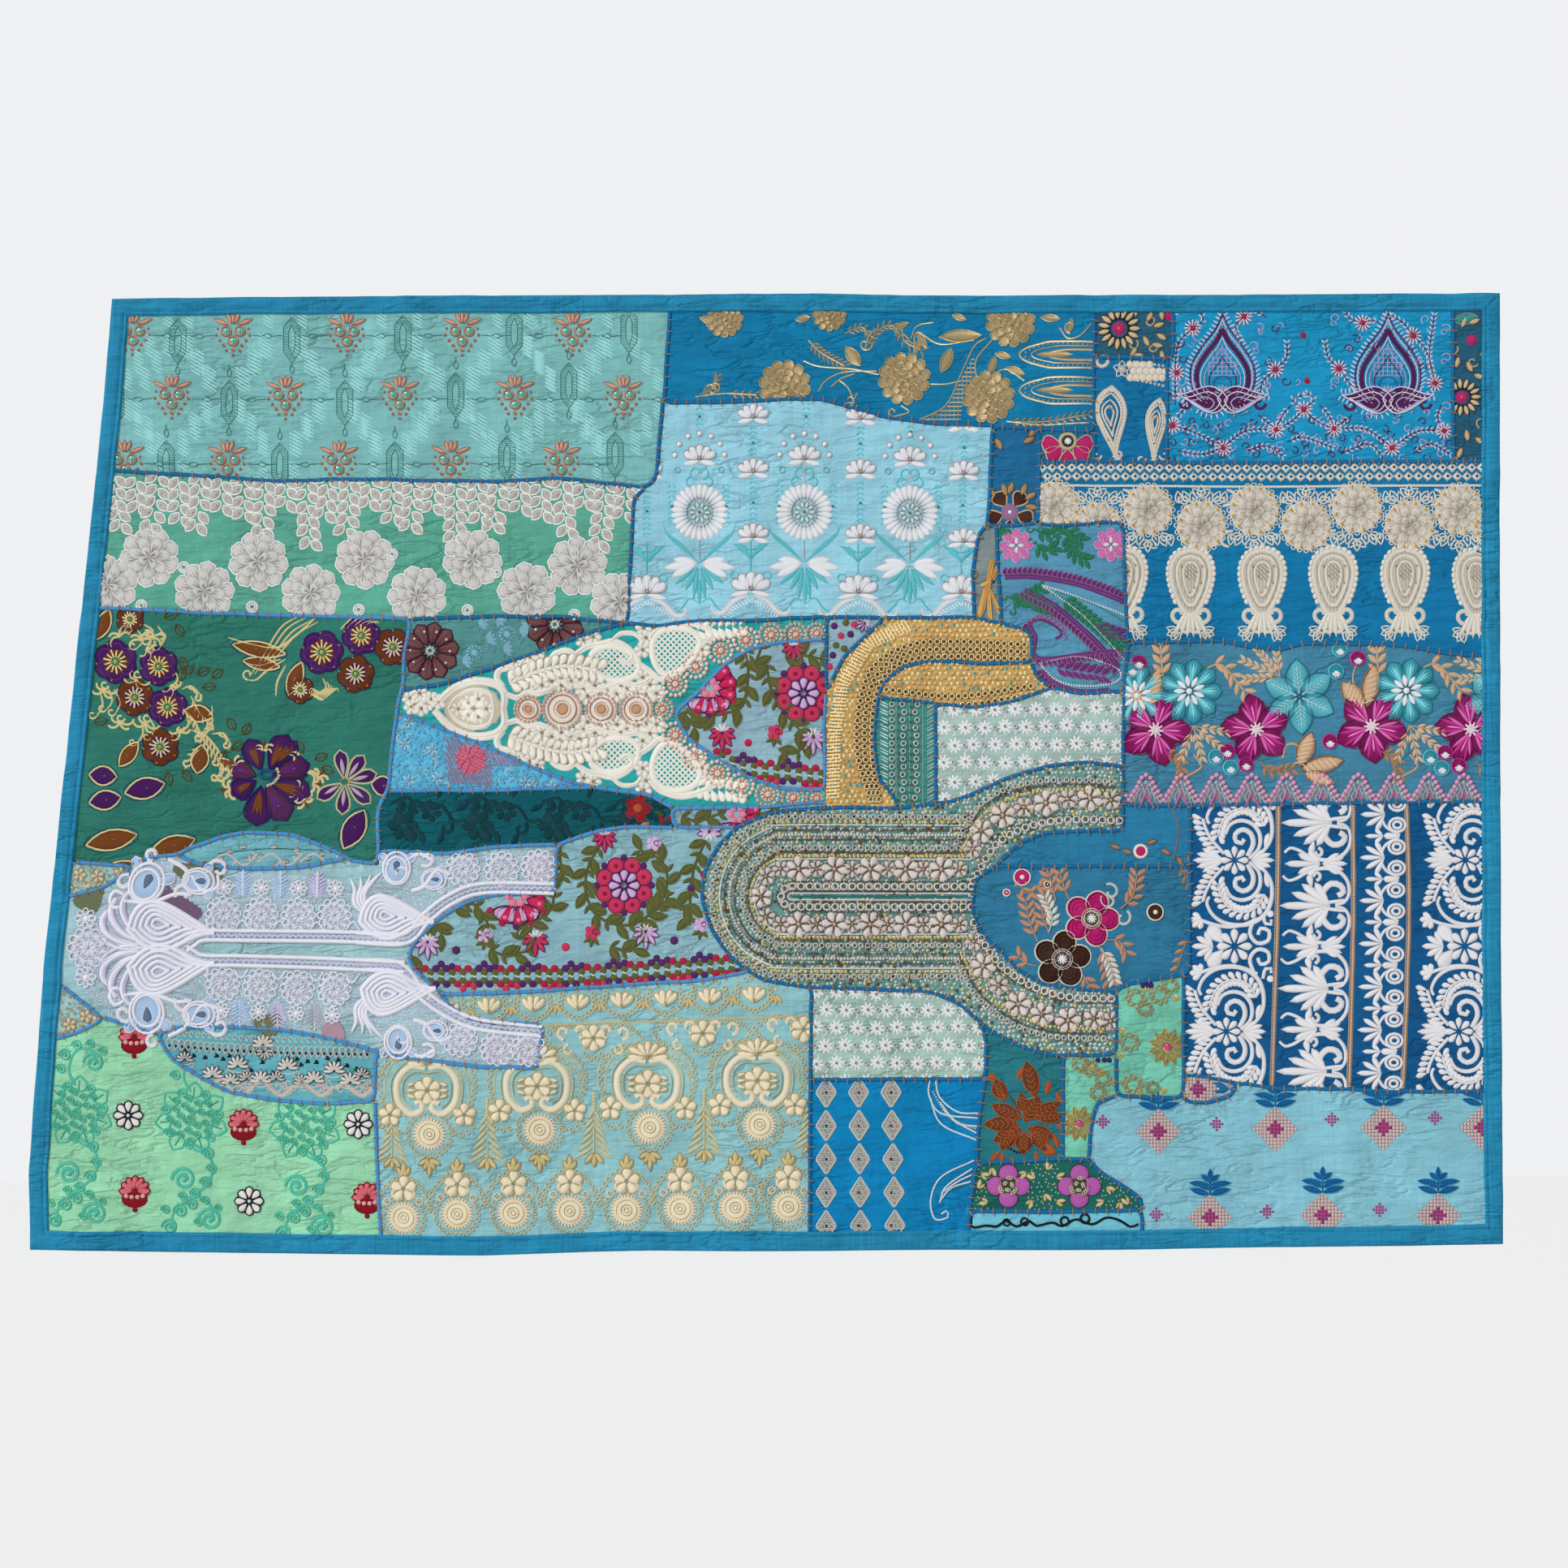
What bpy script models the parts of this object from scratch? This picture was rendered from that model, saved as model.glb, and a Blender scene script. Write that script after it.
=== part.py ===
# A patchwork wall tapestry of embroidered cloths, as it hangs.
# X runs to the viewer's right, Z up, and the worked side faces -Y.
# The origin is the middle of the top edge, where the hanging is held.
import math

import bmesh
import bpy
from mathutils import Vector

MM = 0.001
HEIGHT = 1022 * MM

GROUND_THICK = 1.0 * MM
PANEL_THICK = 1.0 * MM
YOKE_THICK = 1.5 * MM
BINDING_THICK = 1.0 * MM
GAP = 0.3 * MM
BINDING_WIDE = 20 * MM
MITRE_GAP = 0.2 * MM  # taken off each of the two ends that meet in a corner
SHORT_SIDE = 0.4 * MM  # points of an outline closer than this count as one

# How far each layer's back stands in front of the ground cloth's own back.
PANEL_DEPTH = GROUND_THICK + GAP
YOKE_DEPTH = PANEL_DEPTH + PANEL_THICK + GAP
BINDING_SLOT = (-GAP, YOKE_DEPTH)

# The outer edge, clockwise as the viewer sees it, in millimetres from the origin.
# Both long edges measure 1524 mm between their corners. The cloth leans as it was sewn:
# the lower edge sits about 46 mm further left than the upper one.
TOP_EDGE = [(-762, 0), (-619, 2), (-333, 3), (6, 3), (185, 0), (363, 0), (542, 0)]
RIGHT_EDGE = [(762, 0), (756, -127), (735, -572)]
BOTTOM_EDGE = [(716, -1022), (505, -1024), (337, -1026), (0, -1026), (-168, -1025), (-336, -1029),
               (-589, -1026)]
LEFT_EDGE = [(-808, -1021), (-813, -939), (-807, -737), (-796, -565), (-781, -336), (-767, -120)]
EDGES = {"top": TOP_EDGE, "right": RIGHT_EDGE, "bottom": BOTTOM_EDGE, "left": LEFT_EDGE}

# The soft hanging folds: how far each stands towards the viewer at the lower edge,
# where it lies, how wide it is to either side and how much it leans.
FOLDS = [  # x mm at the top, rise mm, half width mm, lean mm over the height
    (-720, 3.5, 90, -40),
    (-560, -3.0, 80, -20),
    (-395, 3.0, 100, 15),
    (-210, -3.0, 90, -15),
    (-40, 4.0, 110, -25),
    (130, -3.5, 90, -10),
    (300, 3.0, 90, -20),
    (470, -3.0, 100, -45),
    (650, 3.5, 90, -40),
]
FOLD_AT_TOP = 0.25  # the share of its rise that a fold keeps at the held edge
# The folds are drawn on a net of flat triangles, so that layers lie evenly on each other.
NET_WIDE = 115 * MM
NET_HIGH = 345 * MM
NET_COLUMNS = range(-8, 9)
NET_ROWS = range(-4, 2)

# Each seam cuts one area in two. Its points run from outside the area to outside it again.
SEAMS = [  # area, part on the left hand, part on the right hand, points in mm
    ("cloth", "upper", "lower",
     [(-820, -619), (-781, -619), (-721, -624), (-700, -615), (-668, -612), (-649, -622), (-594, -627),
      (-539, -626), (-496, -617), (-457, -624), (-455, -608), (-389, -612), (-334, -605), (-268, -602),
      (-224, -588), (-197, -584), (-141, -585), (-77, -586), (-39, -569), (21, -564), (95, -565),
      (143, -560), (173, -551), (214, -532), (256, -521), (288, -517), (335, -521), (335, -564),
      (435, -564), (760, -561)]),
    ("upper", "upper_right", "upper_left",
     [(-150, 25), (-150, -22), (-152, -58), (-156, -113), (-161, -172), (-163, -204), (-179, -218),
      (-188, -225), (-190, -276), (-193, -333), (-194, -362), (-221, -370), (-254, -381), (-298, -398),
      (-354, -417), (-392, -430), (-437, -437), (-444, -496), (-447, -541), (-458, -562), (-456, -640)]),
    ("upper_left", "mint_damask", "below_damask",
     [(-800, -191), (-748, -194), (-667, -199), (-577, -206), (-507, -204), (-330, -208), (-267, -204),
      (-165, -216)]),
    ("below_damask", "silver_roses", "below_roses",
     [(-800, -343), (-660, -350), (-571, -353), (-431, -358), (-328, -356), (-265, -356), (-223, -361),
      (-180, -364)]),
    ("below_roses", "maroon_flower", "forest", [(-425, -347), (-433, -395), (-434, -453)]),
    ("forest", "forest_flowers", "scroll_lens",
     [(-671, -625), (-664, -608), (-636, -597), (-599, -588), (-549, -591), (-494, -613), (-487, -632)]),
    ("upper_right", "top_right", "middle",
     [(319, 23), (315, -70), (312, -188), (252, -188), (251, -258), (287, -259), (329, -254), (342, -258),
      (342, -306), (343, -387), (338, -443), (336, -483), (334, -540)]),
    ("top_right", "corner", "right_side", [(300, -187), (391, -189), (535, -189), (780, -189)]),
    ("corner", "corner_right", "corner_left", [(405, 25), (401, -70), (395, -79), (391, -198)]),
    ("corner_left", "sunflower", "ivory_mango", [(304, -71), (361, -71), (415, -73)]),
    ("corner_right", "sunflower_strip", "plum_ogees", [(712, 25), (706, -108), (702, -199)]),
    ("right_side", "ivory_borders", "big_blooms",
     [(327, -387), (372, -387), (441, -385), (477, -393), (510, -396), (530, -389), (593, -390),
      (643, -393), (684, -401), (770, -405)]),
    ("middle", "middle_top", "centre",
     [(-206, -362), (-165, -367), (-117, -362), (-67, -362), (16, -358), (104, -359), (179, -359),
      (209, -366), (240, -375), (242, -420), (257, -435), (290, -443), (328, -441), (352, -442)]),
    ("middle_top", "gold_roses", "below_gold",
     [(-172, -120), (-78, -120), (-16, -116), (18, -117), (46, -126), (92, -138), (135, -144),
      (202, -147), (253, -151), (324, -156)]),
    ("below_gold", "beside_sky", "sky_medallions",
     [(203, -133), (202, -150), (198, -220), (195, -257), (186, -265), (178, -306), (179, -375)]),
    ("beside_sky", "magenta_flower", "brown_side", [(253, -138), (253, -181), (256, -202)]),
    ("brown_side", "brown_flower", "paisley_side", [(181, -259), (233, -258), (246, -257), (264, -252)]),
    ("paisley_side", "purple_paisley", "orange_tassel", [(205, -245), (206, -305), (209, -380)]),
    ("centre", "arch_side", "lace_side", [(20, -344), (19, -437), (17, -481), (18, -580)]),
    ("arch_side", "arch", "berry_corner", [(105, -342), (73, -369), (39, -402), (25, -430), (6, -466)]),
    ("arch", "gold_arch", "in_arch",
     [(96, -575), (94, -558), (74, -532), (70, -495), (73, -454), (80, -431), (101, -413), (134, -406),
      (190, -410), (257, -408)]),
    ("in_arch", "gold_lens", "below_lens",
     [(58, -445), (78, -447), (136, -452), (175, -457), (216, -451), (244, -443), (276, -430)]),
    ("below_lens", "daisies_upper", "sequin_columns", [(136, -438), (136, -454), (135, -580)]),
    ("lace_side", "lace", "below_lace",
     [(-452, -457), (-391, -479), (-346, -496), (-297, -519), (-258, -535), (-222, -543), (-169, -550),
      (-147, -564), (-48, -564), (30, -556)]),
    ("lace", "ivory_lace", "berry_ogee",
     [(32, -547), (-26, -545), (-61, -534), (-100, -511), (-128, -491), (-144, -463), (-128, -448),
      (-89, -409), (-61, -392), (-27, -385), (17, -383), (32, -383)]),
    ("below_lace", "velvet_side", "ruched_pink", [(-218, -541), (-343, -545), (-466, -545)]),
    ("velvet_side", "teal_velvet", "berry_sliver", [(-140, -606), (-146, -572), (-150, -549)]),
    ("lower", "lower_rest", "beaded_neck",
     [(335, -546), (333, -591), (287, -591), (250, -593), (223, -604), (198, -628), (175, -642),
      (172, -675), (180, -697), (202, -719), (220, -738), (245, -752), (283, -757), (323, -761),
      (320, -826), (286, -827), (248, -826), (215, -815), (194, -804), (177, -791), (156, -772),
      (129, -761), (102, -759), (1, -755), (-48, -748), (-81, -726), (-103, -696), (-114, -661),
      (-111, -630), (-97, -605), (-78, -587), (-62, -565)]),
    ("lower_rest", "lower_right", "lower_left",
     [(-268, -585), (-270, -654), (-334, -655), (-360, -662), (-388, -678), (-415, -703), (-424, -717),
      (-419, -732), (-397, -752), (-375, -775), (-358, -786), (-331, -791), (-282, -792), (-285, -837),
      (-342, -836), (-417, -827), (-455, -820), (-456, -865), (-451, -949), (-444, -1045)]),
    ("lower_left", "lace_area", "cream_scrap_upper",
     [(-711, -605), (-718, -627), (-750, -648), (-781, -655), (-812, -657)]),
    ("lace_area", "lace_ground", "bottom_left",
     [(-820, -733), (-787, -749), (-742, -783), (-687, -801), (-665, -793), (-617, -793), (-562, -795),
      (-507, -805), (-441, -823)]),
    ("bottom_left", "mint_side", "cream_scrap_lower",
     [(-730, -779), (-763, -796), (-788, -805), (-820, -809)]),
    ("mint_side", "mint_vines", "black_darts",
     [(-440, -870), (-506, -874), (-560, -870), (-610, -861), (-642, -844), (-670, -826), (-694, -788)]),
    ("lower_right", "below_berry", "berry_wide",
     [(-56, -736), (-101, -746), (-174, -750), (-256, -756), (-338, -760), (-406, -760)]),
    ("below_berry", "bottom_right", "cream_crests", [(2, -742), (0, -851), (-2, -1045)]),
    ("bottom_right", "far_right", "blue_side",
     [(162, -760), (182, -799), (185, -812), (183, -850), (177, -879), (173, -932), (164, -986),
      (160, -1045)]),
    ("blue_side", "silver_diamonds", "daisies_lower", [(194, -851), (-15, -851)]),
    ("far_right", "below_scrolls", "white_scrolls",
     [(740, -865), (610, -865), (556, -862), (488, -862), (421, -851), (391, -846), (394, -745),
      (400, -741), (407, -545)]),
    ("below_scrolls", "below_flowers", "blue_area", [(414, -741), (362, -748), (330, -754), (314, -766)]),
    ("blue_area", "blue_strip", "blue_flowers", [(186, -627), (242, -628), (418, -628)]),
    ("below_flowers", "small_patches", "diamonds_area",
     [(342, -1045), (344, -975), (326, -962), (299, -946), (290, -933), (291, -906), (298, -876),
      (319, -869), (389, -872), (393, -835)]),
    ("diamonds_area", "stitched_diamonds", "pink_scrap",
     [(452, -846), (441, -869), (417, -876), (396, -877), (382, -864)]),
    ("small_patches", "mint_low_area", "mint_sequins", [(319, -884), (320, -812)]),
    ("mint_low_area", "above_clover", "clover_area",
     [(160, -936), (177, -937), (261, -933), (303, -933)]),
    ("clover_area", "lilac_clover", "black_curl", [(150, -986), (253, -987), (358, -985)]),
    ("above_clover", "mint_sequins_low", "rust_flower", [(265, -812), (261, -946)]),
]

# The corded lace yoke, a finished neckline sewn flat on its panel, its slot open to the right.
YOKE = [
    (-271, -607), (-334, -610), (-377, -615), (-415, -608), (-446, -612), (-450, -634), (-479, -651),
    (-514, -636), (-574, -633), (-624, -633), (-648, -623), (-682, -614), (-712, -623), (-729, -648),
    (-761, -659), (-772, -677), (-771, -742), (-757, -761), (-724, -788), (-693, -797), (-651, -790),
    (-604, -791), (-527, -798), (-485, -786), (-466, -793), (-450, -815), (-416, -824), (-339, -834),
    (-285, -834), (-282, -794), (-331, -793), (-358, -787), (-377, -775), (-396, -754), (-421, -730),
    (-428, -722), (-639, -719), (-644, -711), (-639, -705), (-428, -708), (-415, -702), (-388, -677),
    (-360, -660), (-334, -654), (-270, -652),
]

# Each cloth's ground colour, as it reads in daylight, 0 to 255.
COLOURS = {
    "ground_cloth": (150, 186, 196),
    "binding": (40, 140, 178),
    "lace_yoke": (220, 225, 245),
    "mint_damask": (120, 195, 185),
    "silver_roses": (80, 172, 148),
    "forest_flowers": (38, 112, 97),
    "scroll_lens": (110, 165, 175),
    "maroon_flower": (75, 135, 135),
    "ivory_lace": (40, 160, 155),
    "berry_ogee": (140, 175, 190),
    "berry_corner": (140, 175, 190),
    "berry_wide": (140, 175, 190),
    "berry_sliver": (140, 175, 190),
    "sky_medallions": (150, 210, 225),
    "gold_roses": (8, 122, 172),
    "sunflower": (30, 95, 130),
    "sunflower_strip": (30, 95, 130),
    "ivory_mango": (10, 115, 170),
    "plum_ogees": (20, 140, 185),
    "ivory_borders": (10, 115, 170),
    "big_blooms": (65, 130, 160),
    "magenta_flower": (30, 110, 155),
    "brown_flower": (25, 100, 145),
    "blue_strip": (30, 110, 155),
    "blue_flowers": (30, 110, 155),
    "purple_paisley": (85, 140, 170),
    "orange_tassel": (120, 130, 130),
    "gold_arch": (215, 180, 120),
    "gold_lens": (215, 180, 120),
    "sequin_columns": (110, 160, 160),
    "daisies_upper": (170, 195, 190),
    "daisies_lower": (170, 195, 190),
    "beaded_neck": (95, 150, 150),
    "white_scrolls": (15, 90, 140),
    "stitched_diamonds": (125, 185, 200),
    "pink_scrap": (175, 165, 175),
    "mint_sequins": (120, 210, 180),
    "mint_sequins_low": (120, 210, 180),
    "rust_flower": (35, 110, 120),
    "lilac_clover": (20, 95, 85),
    "black_curl": (110, 185, 200),
    "silver_diamonds": (0, 125, 190),
    "cream_crests": (130, 195, 200),
    "lace_ground": (150, 185, 190),
    "cream_scrap_upper": (165, 190, 180),
    "cream_scrap_lower": (165, 190, 180),
    "black_darts": (95, 165, 175),
    "mint_vines": (130, 205, 160),
    "ruched_pink": (90, 175, 210),
    "teal_velvet": (0, 85, 95),
}


def clear_scene():
    for old in list(bpy.data.objects):
        bpy.data.objects.remove(old, do_unlink=True)


def linear(channel):
    """One 0 to 255 display value as the linear value that a shader takes."""
    share = channel / 255
    return share / 12.92 if share <= 0.04045 else ((share + 0.055) / 1.055) ** 2.4


def cloth_material(name):
    material = bpy.data.materials.new(name)
    material.use_nodes = True
    shader = material.node_tree.nodes["Principled BSDF"]
    shader.inputs["Base Color"].default_value = (*map(linear, COLOURS[name]), 1)
    shader.inputs["Roughness"].default_value = 0.85
    shader.inputs["Metallic"].default_value = 0.0
    return material


def fold_rise(x, z):
    """How far the smooth folds stand towards the viewer, in metres."""
    down = min(max(-z / HEIGHT, 0), 1)
    grown = FOLD_AT_TOP + (1 - FOLD_AT_TOP) * down
    rise = 0
    for top_x, high, half_width, lean in FOLDS:
        off = (x / MM - top_x - lean * down) / half_width
        rise += high * math.exp(-off * off)
    return rise * grown * MM


def cloth_rise(x, z):
    """The same folds on the net's flat triangles, which every layer follows."""
    across, up = x / NET_WIDE, z / NET_HIGH
    column, row = math.floor(across), math.floor(up)
    across, up = across - column, up - row

    def at(i, j):
        return fold_rise((column + i) * NET_WIDE, (row + j) * NET_HIGH)

    if across + up <= 1:
        return at(0, 0) + across * (at(1, 0) - at(0, 0)) + up * (at(0, 1) - at(0, 0))
    return at(1, 1) + (1 - across) * (at(0, 1) - at(1, 1)) + (1 - up) * (at(1, 0) - at(1, 1))


def net_planes():
    """A point and a normal for each line of the net, seen face on."""
    slant = Vector((1 / NET_WIDE, 0, 1 / NET_HIGH))
    for column in NET_COLUMNS:
        yield Vector((column * NET_WIDE, 0, 0)), Vector((1, 0, 0))
        yield Vector((column * NET_WIDE, 0, 0)), slant.normalized()
    for row in NET_ROWS:
        yield Vector((0, 0, row * NET_HIGH)), Vector((0, 0, 1))
    for step in range(NET_COLUMNS.start + NET_ROWS.start, NET_COLUMNS.start):
        yield Vector((step * NET_WIDE, 0, 0)), slant.normalized()


def inset(outline, wide):
    """A clockwise outline drawn in by a width on every side."""
    drawn = []
    for i, point in enumerate(outline):
        before = (point - outline[i - 1]).normalized()
        after = (outline[(i + 1) % len(outline)] - point).normalized()
        inward = [Vector((way.y, -way.x)) for way in (before, after)]
        middle = (inward[0] + inward[1]).normalized()
        drawn.append(point + middle * (wide / max(middle.dot(inward[0]), 0.35)))
    return drawn


def crossing(start, end, first, second):
    """How far along each of two straight stretches they cross, or None."""
    way, side = end - start, second - first
    spread = way.cross(side)
    if abs(spread) < 1e-15:
        return None
    along = (first - start).cross(side) / spread
    on_side = (first - start).cross(way) / spread
    return (along, on_side) if 0 <= along <= 1 and 0 <= on_side < 1 else None


def contains(outline, point):
    odd = False
    for i, first in enumerate(outline):
        second = outline[(i + 1) % len(outline)]
        if (first.y > point.y) != (second.y > point.y):
            share = (point.y - first.y) / (second.y - first.y)
            odd ^= point.x < first.x + share * (second.x - first.x)
    return odd


def point_along(line, place):
    """The point at a place such as 2.5, half way from the line's third point to its fourth."""
    i = min(int(place), len(line) - 2)
    return line[i].lerp(line[i + 1], place - i)


def between(outline, start, end):
    """The outline's own points on the way round from one place to another."""
    count = len(outline)
    steps = (math.floor(end) - math.floor(start)) % count
    if steps == 0 and end < start:
        steps = count
    return [outline[(math.floor(start) + 1 + i) % count] for i in range(steps)]


def cut(outline, seam):
    """The two parts of a clockwise outline, on the left and right hand of someone walking along the seam."""
    hits = []
    for i in range(len(seam) - 1):
        for j, first in enumerate(outline):
            found = crossing(seam[i], seam[i + 1], first, outline[(j + 1) % len(outline)])
            if found:
                hits.append((i + found[0], j + found[1]))
    hits.sort()
    stretches = [
        (leave - enter, enter, enter_at, leave, leave_at)
        for (enter, enter_at), (leave, leave_at) in zip(hits, hits[1:])
        if leave - enter > 1e-6 and contains(outline, point_along(seam, (enter + leave) / 2))
    ]
    _, enter, enter_at, leave, leave_at = max(stretches)
    inner = [seam[i] for i in range(math.ceil(enter), math.floor(leave) + 1) if enter < i < leave]
    line = [point_along(seam, enter), *inner, point_along(seam, leave)]
    right = line + between(outline, leave_at, enter_at)
    left = line[::-1] + between(outline, enter_at, leave_at)
    return left, right


def without_short_sides(outline, least):
    """Points nearer than this to the one before are left out."""
    kept = []
    for point in outline:
        if not kept or (point - kept[-1]).length > least:
            kept.append(point)
    while (kept[0] - kept[-1]).length <= least:
        kept.pop()
    return kept


def layer_mesh(outline, back, thick):
    """A closed layer of cloth on the folds, its back this far in front of the ground cloth's back."""
    mesh = bmesh.new()
    mesh.faces.new([mesh.verts.new((point.x, 0, point.y)) for point in outline])
    for place, normal in net_planes():
        parts = mesh.verts[:] + mesh.edges[:] + mesh.faces[:]
        bmesh.ops.bisect_plane(mesh, geom=parts, dist=1e-6, plane_co=place, plane_no=normal)
    bmesh.ops.triangulate(mesh, faces=mesh.faces[:])
    for point in mesh.verts:
        point.co.y = -cloth_rise(point.co.x, point.co.z) - back
    grown = bmesh.ops.extrude_face_region(mesh, geom=mesh.faces[:], use_keep_orig=True)
    for part in grown["geom"]:
        if isinstance(part, bmesh.types.BMVert):
            part.co.y -= thick
    bmesh.ops.recalc_face_normals(mesh, faces=mesh.faces[:])
    if mesh.calc_volume(signed=True) < 0:
        bmesh.ops.reverse_faces(mesh, faces=mesh.faces[:])
    return mesh


def layer_object(name, outline, back, thick):
    mesh = bpy.data.meshes.new(name)
    shape = layer_mesh(outline, back, thick)
    shape.to_mesh(mesh)
    shape.free()
    layer = bpy.data.objects.new(name, mesh)
    bpy.context.scene.collection.objects.link(layer)
    return layer


def points_of(pairs):
    return [Vector(pair) * MM for pair in pairs]


def whole_outline():
    return points_of(TOP_EDGE + RIGHT_EDGE + BOTTOM_EDGE + LEFT_EDGE)


def make_ground():
    outline = inset(whole_outline(), BINDING_THICK + GAP)
    ground = layer_object("ground_cloth", outline, 0, GROUND_THICK)
    ground.data.materials.append(cloth_material("ground_cloth"))


def panel_outlines():
    """Every panel's outline, from cutting the whole cloth along one seam after another."""
    areas = {"cloth": inset(whole_outline(), BINDING_THICK + 2 * GAP)}
    for area, left_name, right_name, pairs in SEAMS:
        areas[left_name], areas[right_name] = cut(areas.pop(area), points_of(pairs))
    return areas


def make_panels():
    for name, outline in panel_outlines().items():
        # Each panel gives up half of the gap that a seam needs.
        drawn = inset(without_short_sides(outline, SHORT_SIDE), GAP)
        panel = layer_object(name, drawn, PANEL_DEPTH, PANEL_THICK)
        panel.data.materials.append(cloth_material(name))


def make_yoke():
    yoke = layer_object("lace_yoke", points_of(YOKE), YOKE_DEPTH, YOKE_THICK)
    yoke.data.materials.append(cloth_material("lace_yoke"))


def make_binding():
    """Four strips folded over the edge, mitred where they meet in the corners."""
    outer = whole_outline()
    inner = inset(outer, BINDING_WIDE)
    slot_edge = inset(outer, BINDING_THICK)
    middle = inset(outer, 2 * BINDING_WIDE)
    reach = 2 * BINDING_WIDE
    material = cloth_material("binding")
    start = 0
    for side, pairs in EDGES.items():
        run = [(start + i) % len(outer) for i in range(len(pairs) + 1)]
        strip = [outer[i] for i in run] + [inner[i] for i in reversed(run)]
        back, front = BINDING_SLOT[0] - BINDING_THICK, BINDING_SLOT[1] + BINDING_THICK
        binding = layer_object(f"binding_{side}", inset(strip, MITRE_GAP), back, front - back)
        binding.data.materials.append(material)
        # The slot takes the cloth's edge, and runs on past the mitres and the strip's inner side.
        along = (slot_edge[run[-1]] - slot_edge[run[0]]).normalized() * reach
        slot = [slot_edge[i] for i in run]
        slot = [slot[0] - along, *slot, slot[-1] + along]
        slot += [middle[run[-1]] + along, middle[run[0]] - along]
        cutter = layer_object(f"slot_{side}", slot, BINDING_SLOT[0], BINDING_SLOT[1] - BINDING_SLOT[0])
        cutter.hide_render = True
        cutter.display_type = "WIRE"
        opened = binding.modifiers.new("slot", "BOOLEAN")
        opened.operation = "DIFFERENCE"
        opened.solver = "EXACT"
        opened.object = cutter
        start += len(pairs)


clear_scene()
make_ground()
make_panels()
make_yoke()
make_binding()
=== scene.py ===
import math

import bmesh
import bpy
import numpy as np
from mathutils import Matrix, Vector, kdtree


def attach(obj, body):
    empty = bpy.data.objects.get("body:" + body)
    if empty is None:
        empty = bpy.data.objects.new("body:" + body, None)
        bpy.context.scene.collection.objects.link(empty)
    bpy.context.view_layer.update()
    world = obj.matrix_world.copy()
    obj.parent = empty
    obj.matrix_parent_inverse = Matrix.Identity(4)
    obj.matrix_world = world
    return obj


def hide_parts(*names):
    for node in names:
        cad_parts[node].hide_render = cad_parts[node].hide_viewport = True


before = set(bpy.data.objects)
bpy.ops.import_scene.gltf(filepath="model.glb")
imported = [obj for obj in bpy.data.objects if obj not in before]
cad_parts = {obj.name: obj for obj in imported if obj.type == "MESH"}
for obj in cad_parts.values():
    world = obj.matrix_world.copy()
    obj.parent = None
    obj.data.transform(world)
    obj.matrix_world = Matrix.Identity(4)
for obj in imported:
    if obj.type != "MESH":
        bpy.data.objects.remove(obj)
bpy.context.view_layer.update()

camera = {
    "middle": 966,  # px
    "lens": 2308,  # px
    "roll": 0.245,  # degrees that the cloth turns to the left in the photo
    "tilt": 6.619,
    "place": (-0.0264, -1.9842, -0.7692),
}
# x mm at the top edge, rise mm, half width mm, lean mm over the height
folds = [
    (-720, 3.5, 90, -40), (-560, -3.0, 80, -20), (-395, 3.0, 100, 15),
    (-210, -3.0, 90, -15), (-40, 4.0, 110, -25), (130, -3.5, 90, -10),
    (300, 3.0, 90, -20), (470, -3.0, 100, -45), (650, 3.5, 90, -40),
]
relief = {
    "height": 1.022,  # m
    "foldsAtTop": 0.25,  # share of a fold's rise that is left at the top edge
    "puckers": 0.55,  # mm
    # m wide, m tall, seed and share of the rise
    "puckerCells": ((0.03, 0.045, 3, 1.0), (0.016, 0.022, 4, 0.6), (0.07, 0.018, 6, 0.5)),
    "seamDip": 0.9,  # mm that a couched seam pulls in
    "dipHalf": 9,  # mm to each side of the seam
    "tackStep": 12.5,  # mm between the stitches over a cord
    "tackRise": 0.35,  # mm between one stitch and the next
    "tackHalf": 14,
    "creaseEnd": 25,  # px in which a crease fades out
    "panelDepth": 2.3,  # mm in front of the ground cloth's back
    "yokeDepth": 2.9,
    "grid": 0.005,  # m between a sheet's points
}
# creases pressed into the cloth, listed one by one: from, to, rise mm, half width px
creases = [
    ((1450, 1420), (1560, 1455), 0.9, 7), ((1600, 1440), (1760, 1432), -0.9, 6),
    ((1560, 1345), (1590, 1440), 0.8, 8), ((1380, 1430), (1440, 1500), 0.8, 8),
    ((905, 520), (900, 560), 0.7, 7), ((1110, 560), (1165, 700), 0.8, 7),
    ((230, 1400), (300, 1500), 0.8, 8), ((110, 1440), (210, 1500), 0.9, 7),
    ((330, 1420), (390, 1505), -0.7, 8), ((640, 430), (700, 560), 0.7, 9),
    ((280, 450), (330, 560), 0.6, 9), ((250, 880), (330, 1010), 0.7, 9),
    ((1060, 1400), (1130, 1500), 0.6, 8), ((560, 1340), (620, 1460), 0.5, 9),
    ((1300, 1050), (1420, 1150), 0.6, 9), ((1440, 760), (1760, 775), 0.5, 8),
]


def turned(right, down, degrees):
    c, s = math.cos(math.radians(degrees)), math.sin(math.radians(degrees))
    return right * c - down * s, right * s + down * c


def onCloth(u, v):  # photo px to x and z in metres
    right, down = turned(
        (u - camera["middle"]) / camera["lens"], (v - camera["middle"]) / camera["lens"], camera["roll"]
    )
    c, s = math.cos(math.radians(camera["tilt"])), math.sin(math.radians(camera["tilt"]))
    x, y, z = camera["place"]
    far = -y / (c + down * s)
    return x + far * right, z + far * (s - down * c)


def onPhoto(x, z):
    c, s = math.cos(math.radians(camera["tilt"])), math.sin(math.radians(camera["tilt"]))
    x0, y0, z0 = camera["place"]
    ahead = -y0 * c + (z - z0) * s
    right, down = turned((x - x0) / ahead, -((z - z0) * c + y0 * s) / ahead, -camera["roll"])
    return camera["middle"] + camera["lens"] * right, camera["middle"] + camera["lens"] * down


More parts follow.
